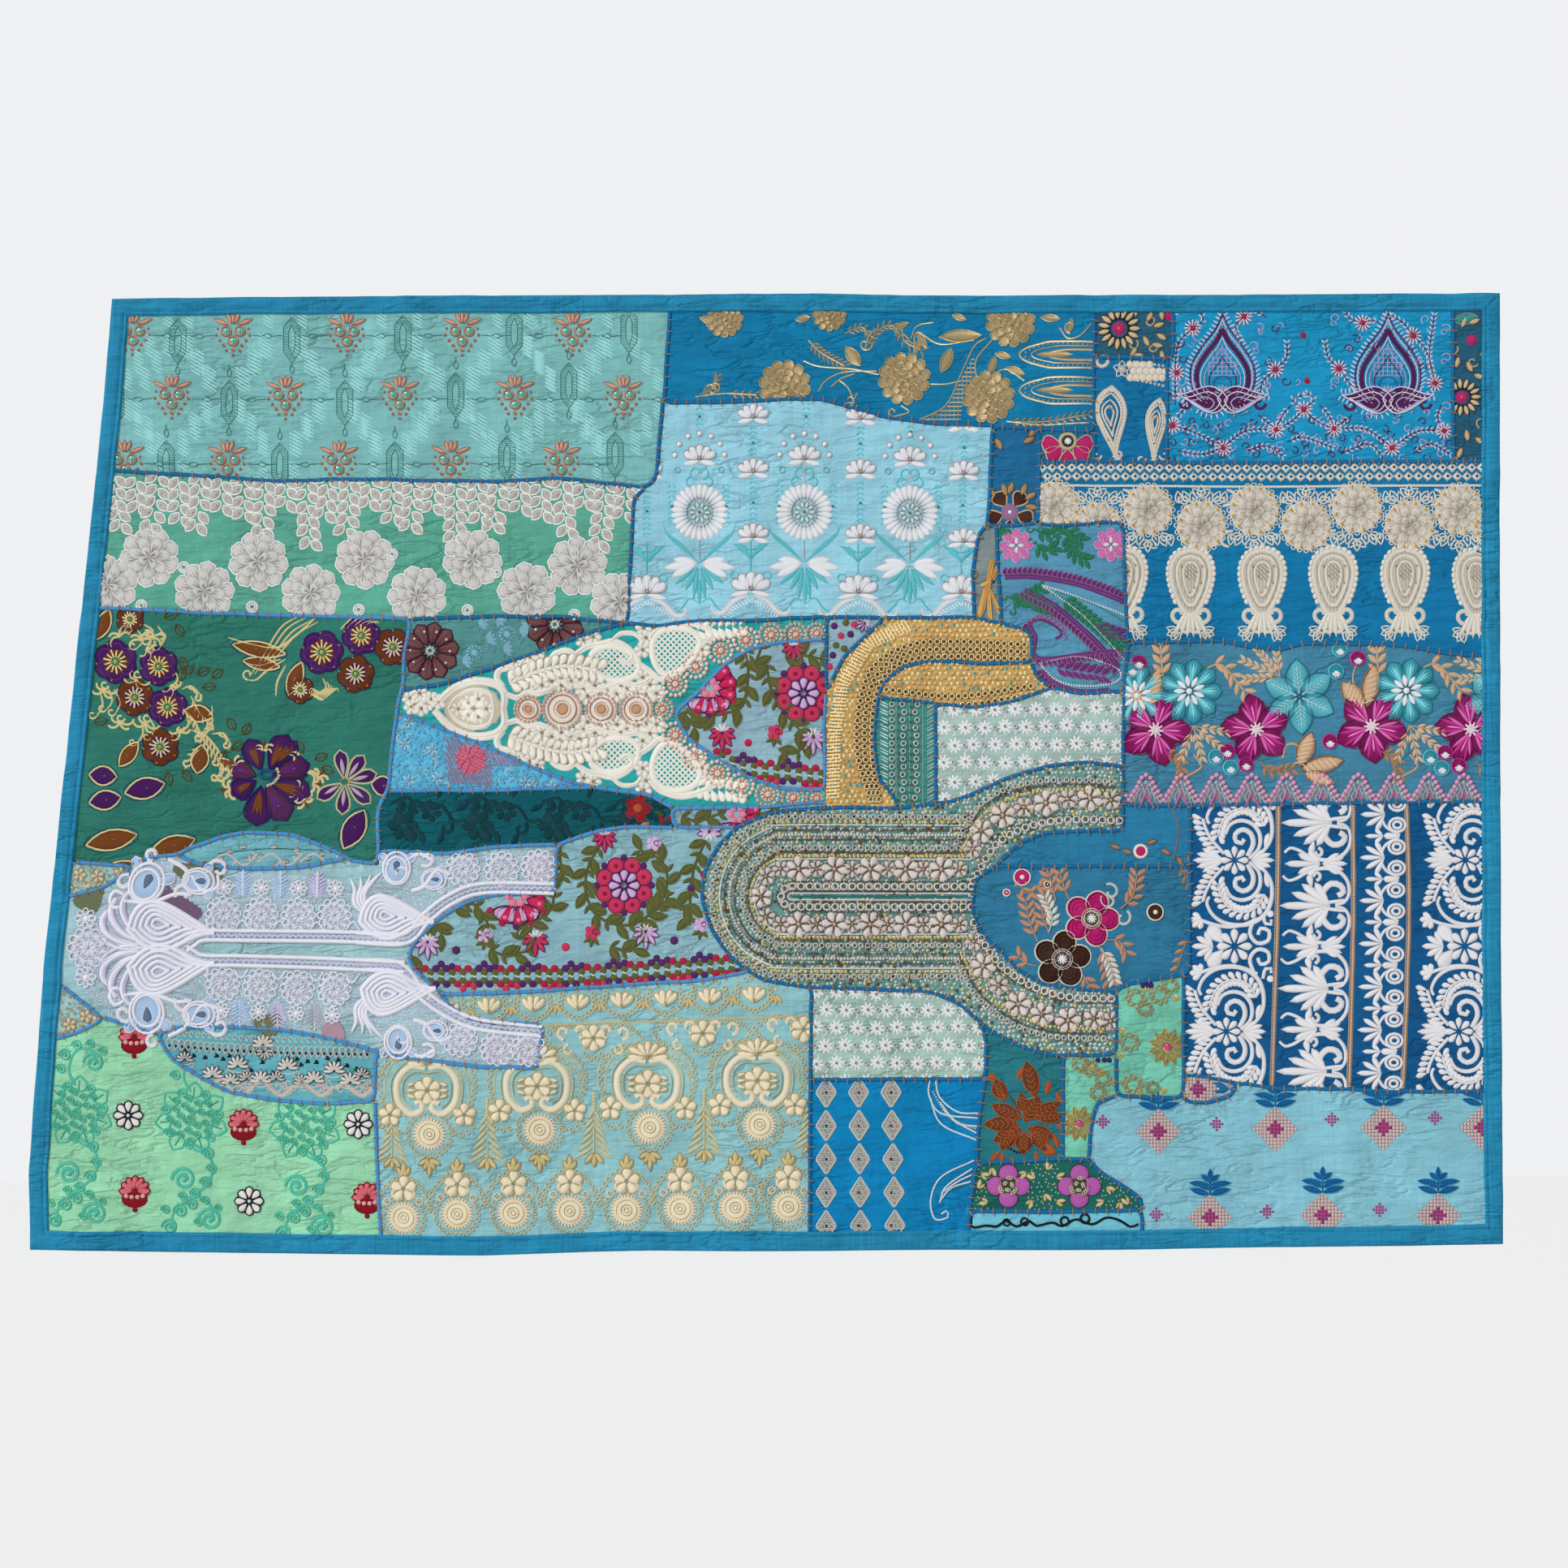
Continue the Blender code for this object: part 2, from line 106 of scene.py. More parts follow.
def blotches(x, z, wide, tall, seed):  # smooth seeded noise in cells of wide by tall metres
    rough = np.random.default_rng(seed).normal(size=(int(2 / wide) + 3, int(2 / tall) + 3))
    a, b = (x + 1) / wide, (z + 1.5) / tall
    i, j = a.astype(int), b.astype(int)
    s, t = a - i, b - j
    s, t = s * s * (3 - 2 * s), t * t * (3 - 2 * t)
    near = rough[i, j] * (1 - s) + rough[i + 1, j] * s
    return near * (1 - t) + (rough[i, j + 1] * (1 - s) + rough[i + 1, j + 1] * s) * t


# the panels' outlines and the seams between them
def frontOutline(node):
    shape = bmesh.new()
    shape.from_mesh(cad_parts[node].data)
    bmesh.ops.remove_doubles(shape, verts=shape.verts[:], dist=0.00002)
    shape.normal_update()
    hidden = [face for face in shape.faces if face.normal.y > -0.5]
    bmesh.ops.delete(shape, geom=hidden, context="FACES")
    loop = list(next(edge for edge in shape.edges if edge.is_boundary).verts)
    while loop[-1] != loop[0]:
        edge = next(e for e in loop[-1].link_edges if e.is_boundary and e.other_vert(loop[-1]) != loop[-2])
        loop.append(edge.other_vert(loop[-1]))
    points = np.array([(point.co.x, point.co.z) for point in loop[:-1]])
    shape.free()
    after = np.roll(points, -1, axis=0) - points
    before = points - np.roll(points, 1, axis=0)
    bend = np.abs(after[:, 0] * before[:, 1] - after[:, 1] * before[:, 0])
    points = points[bend > 0.004 * np.linalg.norm(after, axis=1) * np.linalg.norm(before, axis=1)]
    x, z = points.T
    clockwise = np.sum(x * np.roll(z, -1) - np.roll(x, -1) * z) < 0
    return points if clockwise else points[::-1]


def evenly(points, step, closed=False):  # the same line with points this far apart
    line = np.concatenate([points, points[:1]]) if closed else np.asarray(points, float)
    reach = np.concatenate([[0], np.cumsum(np.linalg.norm(np.diff(line, axis=0), axis=1))])
    count = max(2, round(reach[-1] / step) + 1)
    places = np.linspace(0, reach[-1], count)[: -1 if closed else None]
    return np.stack([np.interp(places, reach, line[:, k]) for k in range(line.shape[1])], 1)


def inside(outline, x, z):
    odd = np.zeros(np.shape(x), bool)
    for (x0, z0), (x1, z1) in zip(outline, np.roll(outline, -1, axis=0)):
        if z0 != z1:
            odd ^= ((z0 > z) != (z1 > z)) & (x < x0 + (z - z0) * (x1 - x0) / (z1 - z0))
    return odd


def drawnIn(outline, wide):  # a clockwise outline moved inwards
    before = outline - np.roll(outline, 1, axis=0)
    after = np.roll(outline, -1, axis=0) - outline
    normals = [
        np.stack([way[:, 1], -way[:, 0]], 1) / np.linalg.norm(way, axis=1)[:, None]
        for way in (before, after)
    ]
    middle = normals[0] + normals[1]
    middle /= np.linalg.norm(middle, axis=1)[:, None]
    return outline + middle * (wide / np.maximum(np.sum(middle * normals[0], 1), 0.35))[:, None]


seamStep = 0.0025  # m between a seam's points


def seamLines(outlines):
    # each stretch where two panels meet, once
    samples = {name: evenly(outline, seamStep, closed=True) for name, outline in outlines.items()}
    order = list(samples)
    tree = kdtree.KDTree(sum(map(len, samples.values())))
    owners = []
    for i, name in enumerate(order):
        for x, z in samples[name]:
            tree.insert((x, 0, z), len(owners))
            owners.append(i)
    tree.balance()
    lines = []
    for i, name in enumerate(order):
        wanted = []
        for x, z in samples[name]:
            near = [owners[k] for _, k, _ in tree.find_range((x, 0, z), 0.0022) if owners[k] != i]
            wanted.append(bool(near) and near[0] > i)
        wanted = np.array(wanted)
        if wanted.all():
            lines.append(np.concatenate([samples[name], samples[name][:1]]))
            continue
        start = int(np.argmin(wanted))
        wanted, points = np.roll(wanted, -start), np.roll(samples[name], -start, axis=0)
        edges = np.flatnonzero(np.diff(np.concatenate([[0], wanted.astype(int), [0]])))
        lines += [points[max(a - 1, 0) : b + 1] for a, b in zip(edges[::2], edges[1::2]) if b - a > 5]
    return lines


def softened(line, reach=3):
    padded = np.concatenate([line[:1].repeat(reach, 0), line, line[-1:].repeat(reach, 0)])
    weight = np.ones(2 * reach + 1) / (2 * reach + 1)
    return np.stack([np.convolve(padded[:, k], weight, "valid") for k in range(2)], 1)


otherNodes = {"ground_cloth", "lace_yoke", "binding_top", "binding_right", "binding_bottom", "binding_left"}
panelNames = sorted(set(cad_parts) - otherNodes)
outlines = {name: frontOutline(name) for name in panelNames}
seams = [softened(line) for line in seamLines(outlines)]
print("panels", len(outlines), "seams", len(seams))

# the height map that every sheet and stitch lies on
reliefStep = 0.004
gridX, gridZ = np.meshgrid(
    np.arange(-0.86, 0.82, reliefStep), np.arange(-1.07, 0.04, reliefStep), indexing="ij"
)


def makeRelief():
    fallen = np.clip(-gridZ / relief["height"], 0, 1)
    high = 0 * gridX
    for top, rise, half, lean in folds:
        high += rise * np.exp(-(((gridX * 1000 - top - lean * fallen) / half) ** 2))
    high *= relief["foldsAtTop"] + (1 - relief["foldsAtTop"]) * fallen
    for wide, tall, seed, share in relief["puckerCells"]:
        high += relief["puckers"] * share * blotches(gridX, gridZ, wide, tall, seed)
    tree = kdtree.KDTree(sum(map(len, seams)))
    run = []
    for line in seams:
        for step, (x, z) in enumerate(line):
            tree.insert((x, 0, z), len(run))
            run.append(step * seamStep * 1000)
    tree.balance()
    found = [tree.find((x, 0, z)) for x, z in zip(gridX.ravel(), gridZ.ravel())]
    away = np.array([f[2] for f in found]).reshape(gridX.shape) * 1000
    place = np.array([run[f[1]] for f in found]).reshape(gridX.shape)
    high -= relief["seamDip"] * np.exp(-((away / relief["dipHalf"]) ** 2))
    tacked = np.exp(-((away / relief["tackHalf"]) ** 2))
    high += relief["tackRise"] * tacked * np.sin(place * 2 * math.pi / relief["tackStep"])
    u, v = onPhoto(gridX, gridZ)
    for (u0, v0), (u1, v1), rise, half in creases:
        long = math.hypot(u1 - u0, v1 - v0)
        along = ((u - u0) * (u1 - u0) + (v - v0) * (v1 - v0)) / long
        across = ((u - u0) * (v1 - v0) - (v - v0) * (u1 - u0)) / long + 5 * np.sin(along / 17)
        share = np.clip(np.minimum(along, long - along) / relief["creaseEnd"], 0, 1)
        high += rise * share * np.exp(-((across / half) ** 2))
    return high / 1000


reliefMap = makeRelief()


def surface(x, z):
    a = np.clip((x - gridX[0, 0]) / reliefStep, 0, gridX.shape[0] - 1.001)
    b = np.clip((z - gridZ[0, 0]) / reliefStep, 0, gridX.shape[1] - 1.001)
    i, j = a.astype(int), b.astype(int)
    s, t = a - i, b - j
    near = reliefMap[i, j] * (1 - s) + reliefMap[i + 1, j] * s
    return near * (1 - t) + (reliefMap[i, j + 1] * (1 - s) + reliefMap[i + 1, j + 1] * s) * t


print("relief made")


# materials
def linear(colour):
    return tuple(c / 3294.6 if c <= 10.3 else ((c / 255 + 0.055) / 1.055) ** 2.4 for c in colour)


def addNode(tree, kind, wires=(), **settings):
    made = tree.nodes.new("ShaderNode" + kind)
    for name, value in settings.items():
        setattr(made, name, value)
    for socket, value in dict(wires).items():
        if isinstance(value, bpy.types.NodeSocket):
            tree.links.new(value, made.inputs[socket])
        else:
            made.inputs[socket].default_value = value
    return made


def maths(tree, operation, *values):
    return addNode(tree, "Math", dict(enumerate(values)), operation=operation).outputs[0]


def newGroup(name, inputs, outputs):
    group = bpy.data.node_groups.new(name, "ShaderNodeTree")
    for way, sockets in (("INPUT", inputs), ("OUTPUT", outputs)):
        for label, kind, *value in sockets:
            socket = group.interface.new_socket(label, in_out=way, socket_type="NodeSocket" + kind)
            if value:
                socket.default_value = value[0]
    return group, group.nodes.new("NodeGroupInput").outputs, group.nodes.new("NodeGroupOutput").inputs


def noise(tree, place, scale, detail=2.0, distortion=0.0):
    wires = {"Vector": place, "Scale": scale, "Detail": detail, "Distortion": distortion}
    return addNode(tree, "TexNoise", wires).outputs[0]


def stretched(tree, place, way):  # the place with its axes scaled
    return addNode(tree, "VectorMath", {0: place, 1: way}, operation="MULTIPLY").outputs[0]


def shaded(tree, colour, light):
    return addNode(tree, "VectorMath", {0: colour, "Scale": light}, operation="SCALE").outputs[0]


def bumped(tree, strength, distance, height, under=None):
    wires = {"Strength": strength, "Distance": distance, "Height": height}
    if under:
        wires["Normal"] = under
    return addNode(tree, "Bump", wires).outputs[0]


# what each layer of the woven cloth does: scales are cells per metre, depths are metres
weave = {
    "streaks": ((9, 1, 900), (700, 1, 12)),
    "slubShade": 2.0,
    "slubBump": (0.35, 0.0004),
    "wornScale": 16,
    "wornShade": 2.2,
    "fineScale": 120,
    "fineShade": 0.8,
    "threadShade": 0.03,
    "threadBump": (0.25, 0.0003),
    "drawn": (1, 1, 3.0),
    "creaseScale": 20,
    # painted shade: how much the colour darkens along a crease
    "creaseShade": -0.15,
    "creaseDepth": 0.014,
    "ridgeScale": 22,
}


def makeWeave():
    # crossing threads, thick and thin places, worn patches and small creases; the creases are bumps and also
    # painted shade, darker lines in the colour
    group, given, out = newGroup(
        "woven cloth",
        [
            ("Colour", "Color"), ("Threads", "Float", 1100), ("Slub", "Float", 0.2), ("Wear", "Float", 0.2),
            ("Creases", "Float", 0.4),
        ],
        [("Colour", "Color"), ("Normal", "Vector")],
    )
    place = addNode(group, "TexCoord").outputs["Object"]
    x, _, z = addNode(group, "SeparateXYZ", {0: place}).outputs
    turn = maths(group, "MULTIPLY", given["Threads"], 2 * math.pi)
    threads = maths(group, "MULTIPLY", *(
        maths(group, "SINE", maths(group, "MULTIPLY", axis, turn))
        for axis in (x, z)
    ))
    streaks = [noise(group, stretched(group, place, way), 1.0) for way in weave["streaks"]]
    slub = maths(group, "SUBTRACT", maths(group, "ADD", *streaks), 1.0)
    worn = maths(group, "SUBTRACT", noise(group, place, weave["wornScale"], 3.0), 0.5)
    fine = maths(group, "SUBTRACT", noise(group, place, weave["fineScale"], 3.0), 0.5)
    drawn = stretched(group, place, weave["drawn"])
    bends = noise(group, drawn, weave["creaseScale"], 3.0, distortion=0.4)
    bends = maths(group, "ABSOLUTE", maths(group, "SUBTRACT", bends, 0.5))
    crease = addNode(group, "MapRange", {0: bends, 1: 0.0, 2: 0.07, 3: 1.0, 4: 0.0}).outputs[0]
    where = addNode(group, "MapRange", {0: noise(group, place, 9, 1.0), 1: 0.42, 2: 0.62}).outputs[0]
    crease = maths(group, "MULTIPLY", crease, where)
    # the colour's light: the cloth's own slub, wear and thread tone, plus painted shade along the creases
    light = 1.0
    for layer, amount, share in (
        (slub, given["Slub"], weave["slubShade"]), (worn, given["Wear"], weave["wornShade"]),
        (fine, given["Wear"], weave["fineShade"]), (threads, 1.0, weave["threadShade"]),
        (crease, given["Creases"], weave["creaseShade"]),
    ):
        light = maths(group, "MULTIPLY_ADD", maths(group, "MULTIPLY", layer, amount), share, light)
    group.links.new(shaded(group, given["Colour"], light), out["Colour"])
    ridges = maths(group, "MULTIPLY_ADD", crease, -0.5, noise(group, drawn, weave["ridgeScale"], 4.0))
    bump = bumped(group, given["Creases"], weave["creaseDepth"], ridges)
    bump = bumped(group, *weave["slubBump"], slub, bump)
    group.links.new(bumped(group, *weave["threadBump"], threads, bump), out["Normal"])
    return group


def makeSatin():
    # the lie of embroidery threads over a stitched shape
    group, given, out = newGroup(
        "lying threads", [("Pitch", "Float", 0.45)], [("Shade", "Float"), ("Normal", "Vector")]
    )
    lay = addNode(group, "Attribute", attribute_name="lay").outputs["Vector"]
    along = addNode(group, "SeparateXYZ", {0: lay}).outputs[0]
    turn = maths(group, "DIVIDE", 2 * math.pi, given["Pitch"])
    wobble = maths(group, "MULTIPLY", noise(group, lay, 0.8), 3.0)
    lines = maths(group, "SINE", maths(group, "MULTIPLY_ADD", along, turn, wobble))
    stray = noise(group, stretched(group, lay, (4.0, 0.5, 1)), 1.0)
    light = maths(group, "MULTIPLY_ADD", maths(group, "SUBTRACT", stray, 0.5), 0.5, 1.0)
    group.links.new(light, out["Shade"])
    group.links.new(bumped(group, 0.5, 0.0004, maths(group, "ADD", lines, stray)), out["Normal"])
    return group


weaveGroup, satinGroup = makeWeave(), makeSatin()


def newMaterial(name):
    material = bpy.data.materials.new(name)
    material.use_nodes = True
    return material, material.node_tree, material.node_tree.nodes["Principled BSDF"]


socketNames = {
    "rough": "Roughness", "metal": "Metallic", "shine": "Specular IOR Level", "coat": "Coat Weight"
}


def setSockets(shader, **values):
    for name, value in values.items():
        shader.inputs[socketNames[name]].default_value = value


# how a cloth looks unless its own look says otherwise
plainCloth = {"threads": 1100, "slub": 0.15, "wear": 0.25, "creases": 0.45, "rough": 0.8, "shine": 0.14}


def clothMaterial(name, look):
    material, tree, shader = newMaterial(name)
    look = {**plainCloth, **look}
    wires = {
        "Colour": (*linear(look["colour"]), 1), "Threads": look["threads"], "Slub": look["slub"],
        "Wear": look["wear"], "Creases": look["creases"]
    }
    face = addNode(tree, "Group", wires, node_tree=weaveGroup)
    tree.links.new(face.outputs["Colour"], shader.inputs["Base Color"])
    tree.links.new(face.outputs["Normal"], shader.inputs["Normal"])
    setSockets(shader, rough=look["rough"], shine=look["shine"])
    if "sheer" in look:  # open between the threads
        place = addNode(tree, "TexCoord").outputs["Object"]
        wires = {"Vector": place, "Scale": look["threads"]}
        cells = addNode(tree, "TexVoronoi", wires, feature="DISTANCE_TO_EDGE").outputs[0]
        threads = addNode(tree, "MapRange", {0: cells, 1: 0.05, 2: 0.12, 3: 1.0, 4: look["sheer"]}).outputs[0]
        tree.links.new(threads, shader.inputs["Alpha"])
    return material


def threadMaterial(name, pitch, **finish):
    material, tree, shader = newMaterial(name)
    lay = addNode(tree, "Group", {"Pitch": pitch}, node_tree=satinGroup)
    tint = addNode(tree, "Attribute", attribute_name="tint").outputs["Color"]
    tree.links.new(shaded(tree, tint, lay.outputs["Shade"]), shader.inputs["Base Color"])
    tree.links.new(lay.outputs["Normal"], shader.inputs["Normal"])
    setSockets(shader, **finish)
    return material


stitchMaterials = [
    threadMaterial("embroidery thread", 0.5, rough=0.6, shine=0.16),
    threadMaterial("metal thread", 0.4, rough=0.42, metal=0.55),
    threadMaterial("beads and stones", 3.0, rough=0.2, shine=0.7, coat=0.4),
]
sewingKinds = {"thread": 0, "metal": 1, "bead": 2}
print("materials made")


# sewing: stamped shapes and laid threads, gathered for one panel at a time
def swell(along, lean, round_):  # a stitched shape's half width from its root to its tip
    return max(math.sin(math.pi * min(along, 1) ** lean), 0.0) ** round_


# how a stitched leaf swells from its root: where it is widest, and how full it is
swells = {"leaf": (1.0, 0.85), "petal": (1.7, 0.55), "drop": (0.62, 0.75), "oval": (1.0, 0.5)}


def leafUnit(shape, kind, level):
    rows = (3, 4, 6)[level]
    bmesh.ops.create_grid(shape, x_segments=rows, y_segments=4 if level == 2 else 2, size=0.5)
    for point in shape.verts:
        along, across = point.co.x + 0.5, point.co.y * 2
        half = max(swell(along, *swells[kind]), 0.05)
        point.co = (along, across * half / 2, (1 - 1.1 * across * across) * min(1, 0.15 + 1.6 * half))


def stitchUnit(shape, kind, level):
    bmesh.ops.create_grid(shape, x_segments=3 if level == 2 else 2, y_segments=2, size=0.5)
    for point in shape.verts:
        x, y, _ = point.co
        bow = 1 - (2 * x) ** 2
        point.co = (x, y * (0.6 + 0.4 * bow), (0.15 + 0.85 * bow) * (1 - 1.1 * abs(2 * y)))


def domeUnit(shape, kind, level):
    sides, tall = {"bead": ((6, 4), (6, 4), (7, 4)), "dome": ((8, 4), (8, 4), (14, 6))}[kind][level]
    bmesh.ops.create_uvsphere(shape, u_segments=sides, v_segments=tall, radius=0.5)
    parts = shape.verts[:] + shape.edges[:] + shape.faces[:]
    bmesh.ops.bisect_plane(shape, geom=parts, plane_co=(0, 0, 0), plane_no=(0, 0, 1), clear_inner=True)
    bmesh.ops.scale(shape, vec=(1, 1, 2), verts=shape.verts[:])


def coneUnit(shape, kind, level):
    sides, low, high, turn = {"bead": (6, 0.5, 0.12, 0), "stud": (4, 0.7, 0.25, math.pi / 4)}[kind]
    bmesh.ops.create_cone(shape, segments=sides, radius1=low, radius2=high, depth=1)
    if turn:
        bmesh.ops.rotate(shape, verts=shape.verts[:], matrix=Matrix.Rotation(turn, 3, "Z"))
    bmesh.ops.translate(shape, vec=(0, 0, 0.5), verts=shape.verts[:])


# the rims of the round open shapes: radius and height, from outside in
ringRims = {
    "ring": [(0.5, -0.1), (0.39, 1), (0.27, -0.1)],
    "fineRing": [(0.5, -0.1), (0.43, 1), (0.34, 1), (0.27, -0.1)],
    "hoop": [(0.5, -0.1), (0.45, 1), (0.4, -0.1)],
    "sequin": [(0.5, 0.2), (0.3, 1), (0.1, 0.5)],
}


def ringUnit(shape, kind, level):
    rim = ringRims["fineRing" if kind == "ring" and level == 2 else kind]
    points = [shape.verts.new((x, 0, z)) for x, z in rim]
    edges = [shape.edges.new(pair) for pair in zip(points, points[1:])]
    bmesh.ops.spin(
        shape, geom=points + edges, cent=(0, 0, 0), axis=(0, 0, 1), angle=2 * math.pi,
        steps=(6, 8, 16)[level], use_merge=True,
    )
    bmesh.ops.recalc_face_normals(shape, faces=shape.faces[:])


def unitShape(kind, level):
    # 1 long, 1 wide and 1 high, with its root or its middle at the origin
    shape = bmesh.new()
    make = coneUnit if (kind, level) == ("bead", 0) else unitMakers[kind]
    make(shape, kind, level)
    shape.normal_update()
    if sum(face.normal.z * face.calc_area() for face in shape.faces) < 0:
        bmesh.ops.reverse_faces(shape, faces=shape.faces[:])
    points = np.array([tuple(point.co) for point in shape.verts])
    faces = [[point.index for point in reversed(face.verts)] for face in shape.faces]
    shape.free()
    return points, faces


unitMakers = {
    **dict.fromkeys(swells, leafUnit),
    "stitch": stitchUnit,
    **dict.fromkeys(("dome", "bead"), domeUnit),
    **dict.fromkeys(("ring", "hoop", "sequin"), ringUnit),
    "stud": coneUnit,
}
unitShapes = {(kind, level): unitShape(kind, level) for kind in unitMakers for level in range(3)}
levelFrom = (0, 6, 13)  # px; smaller stamps have fewer faces
work = {"stamps": {}, "laid": []}
here = {"x": 0, "y": 0, "turn": 0, "size": 1, "flip": 1}


def moved(points):  # from a motif's own places to the photo's
    points = np.asarray(points, float).reshape(-1, 2) * (here["flip"], 1) * here["size"]
    right, down = turned(points[:, 0], points[:, 1], here["turn"])
    return np.stack([right + here["x"], down + here["y"]], 1)


def stamp(
    shape, x, y, long, wide=None, turn=0, high=0.8, tint=(255, 255, 255), tip=None, kind="thread", base=0
):
    (u, v), = moved((x, y))
    way = here["turn"] + (turn if here["flip"] > 0 else 180 - turn)
    row = (
        u, v, math.radians(way), long * here["size"], (long if wide is None else wide) * here["size"], high,
        base, *linear(tint), *linear(tip or tint), sewingKinds[kind],
    )
    work["stamps"].setdefault(shape, []).append(row)


def repeat(motif, places, **fixed):  # places hold x, y and then, if given, turn, size and flip
    was = dict(here)
    for place in places:
        x, y, turn, size, flip = (*place, *(0, 1, 1)[len(place) - 2 :])
        (u, v), = moved((x, y))
        before = dict(here)
        here.update(x=u, y=v, turn=here["turn"] + turn, size=here["size"] * size, flip=here["flip"] * flip)
        motif(**fixed)
        here.update(before)
    here.update(was)


def flowing(points, step=3.8, closed=False):  # a smooth line through the points
    given = np.asarray(points, float)
    if len(given) < 3:
        return evenly(given, step)
    first, last = (given[-1:], given[:2]) if closed else (
        2 * given[:1] - given[1:2], 2 * given[-1:] - given[-2:-1]
    )
    run = np.concatenate([first, given, last])
    pieces = []
    for a, b, c, d in zip(run, run[1:], run[2:], run[3:]):
        t = np.linspace(0, 1, max(2, int(np.linalg.norm(c - b) / step) + 1))[:-1, None]
        pieces.append(0.5 * (
            2 * b + (c - a) * t + (2 * a - 5 * b + 4 * c - d) * t**2 + (3 * b - a - 3 * c + d) * t**3
        ))
    return np.concatenate([*pieces, run[-2:-1]])


def along(points, step, closed=False):  # x, y and direction at even steps
    line = evenly(points, step, closed)
    ways = np.gradient(line, axis=0)
    return [(x, y, math.degrees(math.atan2(down, right))) for (x, y), (right, down) in zip(line, ways)]


def lay(points, wide, tint, high=0.7, kind="thread", taper=0.0, rows=2, base=0, twist=0.6, tip=None):
    # a thread or cord laid along a line; taper is the share of its width lost towards both ends
    line = moved(points)
    keep = np.concatenate([[True], np.linalg.norm(np.diff(line, axis=0), axis=1) > 0.05])
    work["laid"].append((
        line[keep], wide * here["size"], linear(tint), linear(tip or tint), high, sewingKinds[kind], taper,
        rows, base, twist,
    ))


def grid(rows, columns):  # the faces of a strip
    shape = bmesh.new()
    bmesh.ops.create_grid(shape, x_segments=rows - 1, y_segments=columns - 1, size=0.5)
    order = sorted(shape.verts, key=lambda p: (round(p.co.x, 5), p.co.y))
    rank = {point.index: i for i, point in enumerate(order)}
    faces = np.array([[rank[point.index] for point in reversed(face.verts)] for face in shape.faces])
    shape.free()
    return faces


gridFaces = {}


def laidStrip(line, wide, tint, tip, high, kind, taper, rows, base, twist):
    ways = np.gradient(line, axis=0)
    ways /= np.linalg.norm(ways, axis=1)[:, None] + 1e-9
    sides = np.stack([-ways[:, 1], ways[:, 0]], 1)
    share = np.linspace(0, 1, len(line))
    full = 1 - taper * np.abs(2 * share - 1) ** 2
    across = np.linspace(-1, 1, rows + 1)
    arch = 1 - 1.15 * across**2 if rows > 2 else 1 - 1.1 * np.abs(across)
    flat = line[:, None] + sides[:, None] * (across[None, :, None] * (wide / 2 * full)[:, None, None])
    tall = base + high * arch[None, :] * full[:, None]
    points = np.concatenate([flat, tall[..., None]], 2).reshape(-1, 3)
    run = np.concatenate([[0], np.cumsum(np.linalg.norm(np.diff(line, axis=0), axis=1))]) * 0.87
    lays = np.stack([
        run[:, None] + twist * wide * across[None, :], 0 * run[:, None] + wide * across[None, :]
    ], 2)
    tints = np.array(tint) + (np.array(tip) - np.array(tint)) * share[:, None]
    key = (len(line), rows + 1)
    if key not in gridFaces:
        gridFaces[key] = grid(*key)
    # painted shade: a strip wider than 2.6 px darkens towards both edges, where its thread goes down into the
    # cloth
    shaded = tints[:, None] * (1 - 0.3 * np.abs(across) ** 3 * (wide > 2.6))[None, :, None]
    return points, gridFaces[key], lays.reshape(-1, 2), shaded.reshape(-1, 3), np.full(
        len(gridFaces[key]), kind
    )


def stampedShapes(shape, rows, level):
    points, faces = unitShapes[shape, level]
    sizes = np.array([len(face) for face in faces])
    c, s = np.cos(rows[:, 2])[:, None], np.sin(rows[:, 2])[:, None]
    right, down = points[None, :, 0] * rows[:, 3:4], points[None, :, 1] * rows[:, 4:5]
    placed = np.stack([
        rows[:, 0:1] + right * c - down * s, rows[:, 1:2] + right * s + down * c,
        rows[:, 6:7] + points[None, :, 2] * rows[:, 5:6],
    ], 2).reshape(-1, 3)
    lays = np.stack([right * 0.87, down * 0.87], 2).reshape(-1, 2)
    centred = points[:, 0].min() < -0.1
    share = (points[:, 0] + 0.5 * centred)[None, :, None]
    tints = rows[:, None, 7:10] + (rows[:, None, 10:13] - rows[:, None, 7:10]) * share
    # painted shade: every stamped shape but a stitch is darker where it is low, towards its rim at the cloth
    rim = np.clip(0.62 + 0.55 * points[:, 2], 0, 1) if shape != "stitch" else 1 + 0 * points[:, 2]
    tints = (tints * rim[None, :, None]).reshape(-1, 3)
    made = []
    for size in np.unique(sizes):
        same = np.array([face for face in faces if len(face) == size])
        offsets = (np.arange(len(rows)) * len(points))[:, None, None]
        made.append(((same[None] + offsets).reshape(-1, size), np.repeat(rows[:, 13], len(same))))
    return placed, made, lays, tints


ground = frontOutline("ground_cloth")
openFace = drawnIn(ground, 0.0192)  # what the binding leaves open


def gathered():
    # every stamp and thread since the last call, with the faces and their materials
    parts, polygons, kinds, count = [], [], [], 0
    for strip in work["laid"]:
        placed, faces, lays, tints, kind = laidStrip(*strip)
        polygons.append(faces + count)
        kinds.append(kind)
        parts.append((placed, lays, tints))
        count += len(placed)
    for shape, rows in work["stamps"].items():
        rows = np.array(rows)
        levels = np.digitize(rows[:, 3], levelFrom) - 1
        for level in np.unique(levels):
            placed, made, lays, tints = stampedShapes(shape, rows[levels == level], level)
            for faces, kind in made:
                polygons.append(faces + count)
                kinds.append(kind)
            parts.append((placed, lays, tints))
            count += len(placed)
    work["stamps"], work["laid"] = {}, []
    points, lays, tints = (np.concatenate(column) for column in zip(*parts))
    return points, lays, tints, polygons, kinds


def newPiece(name, data):
    piece = bpy.data.objects.new(name, data)
    bpy.context.scene.collection.objects.link(piece)
    return piece


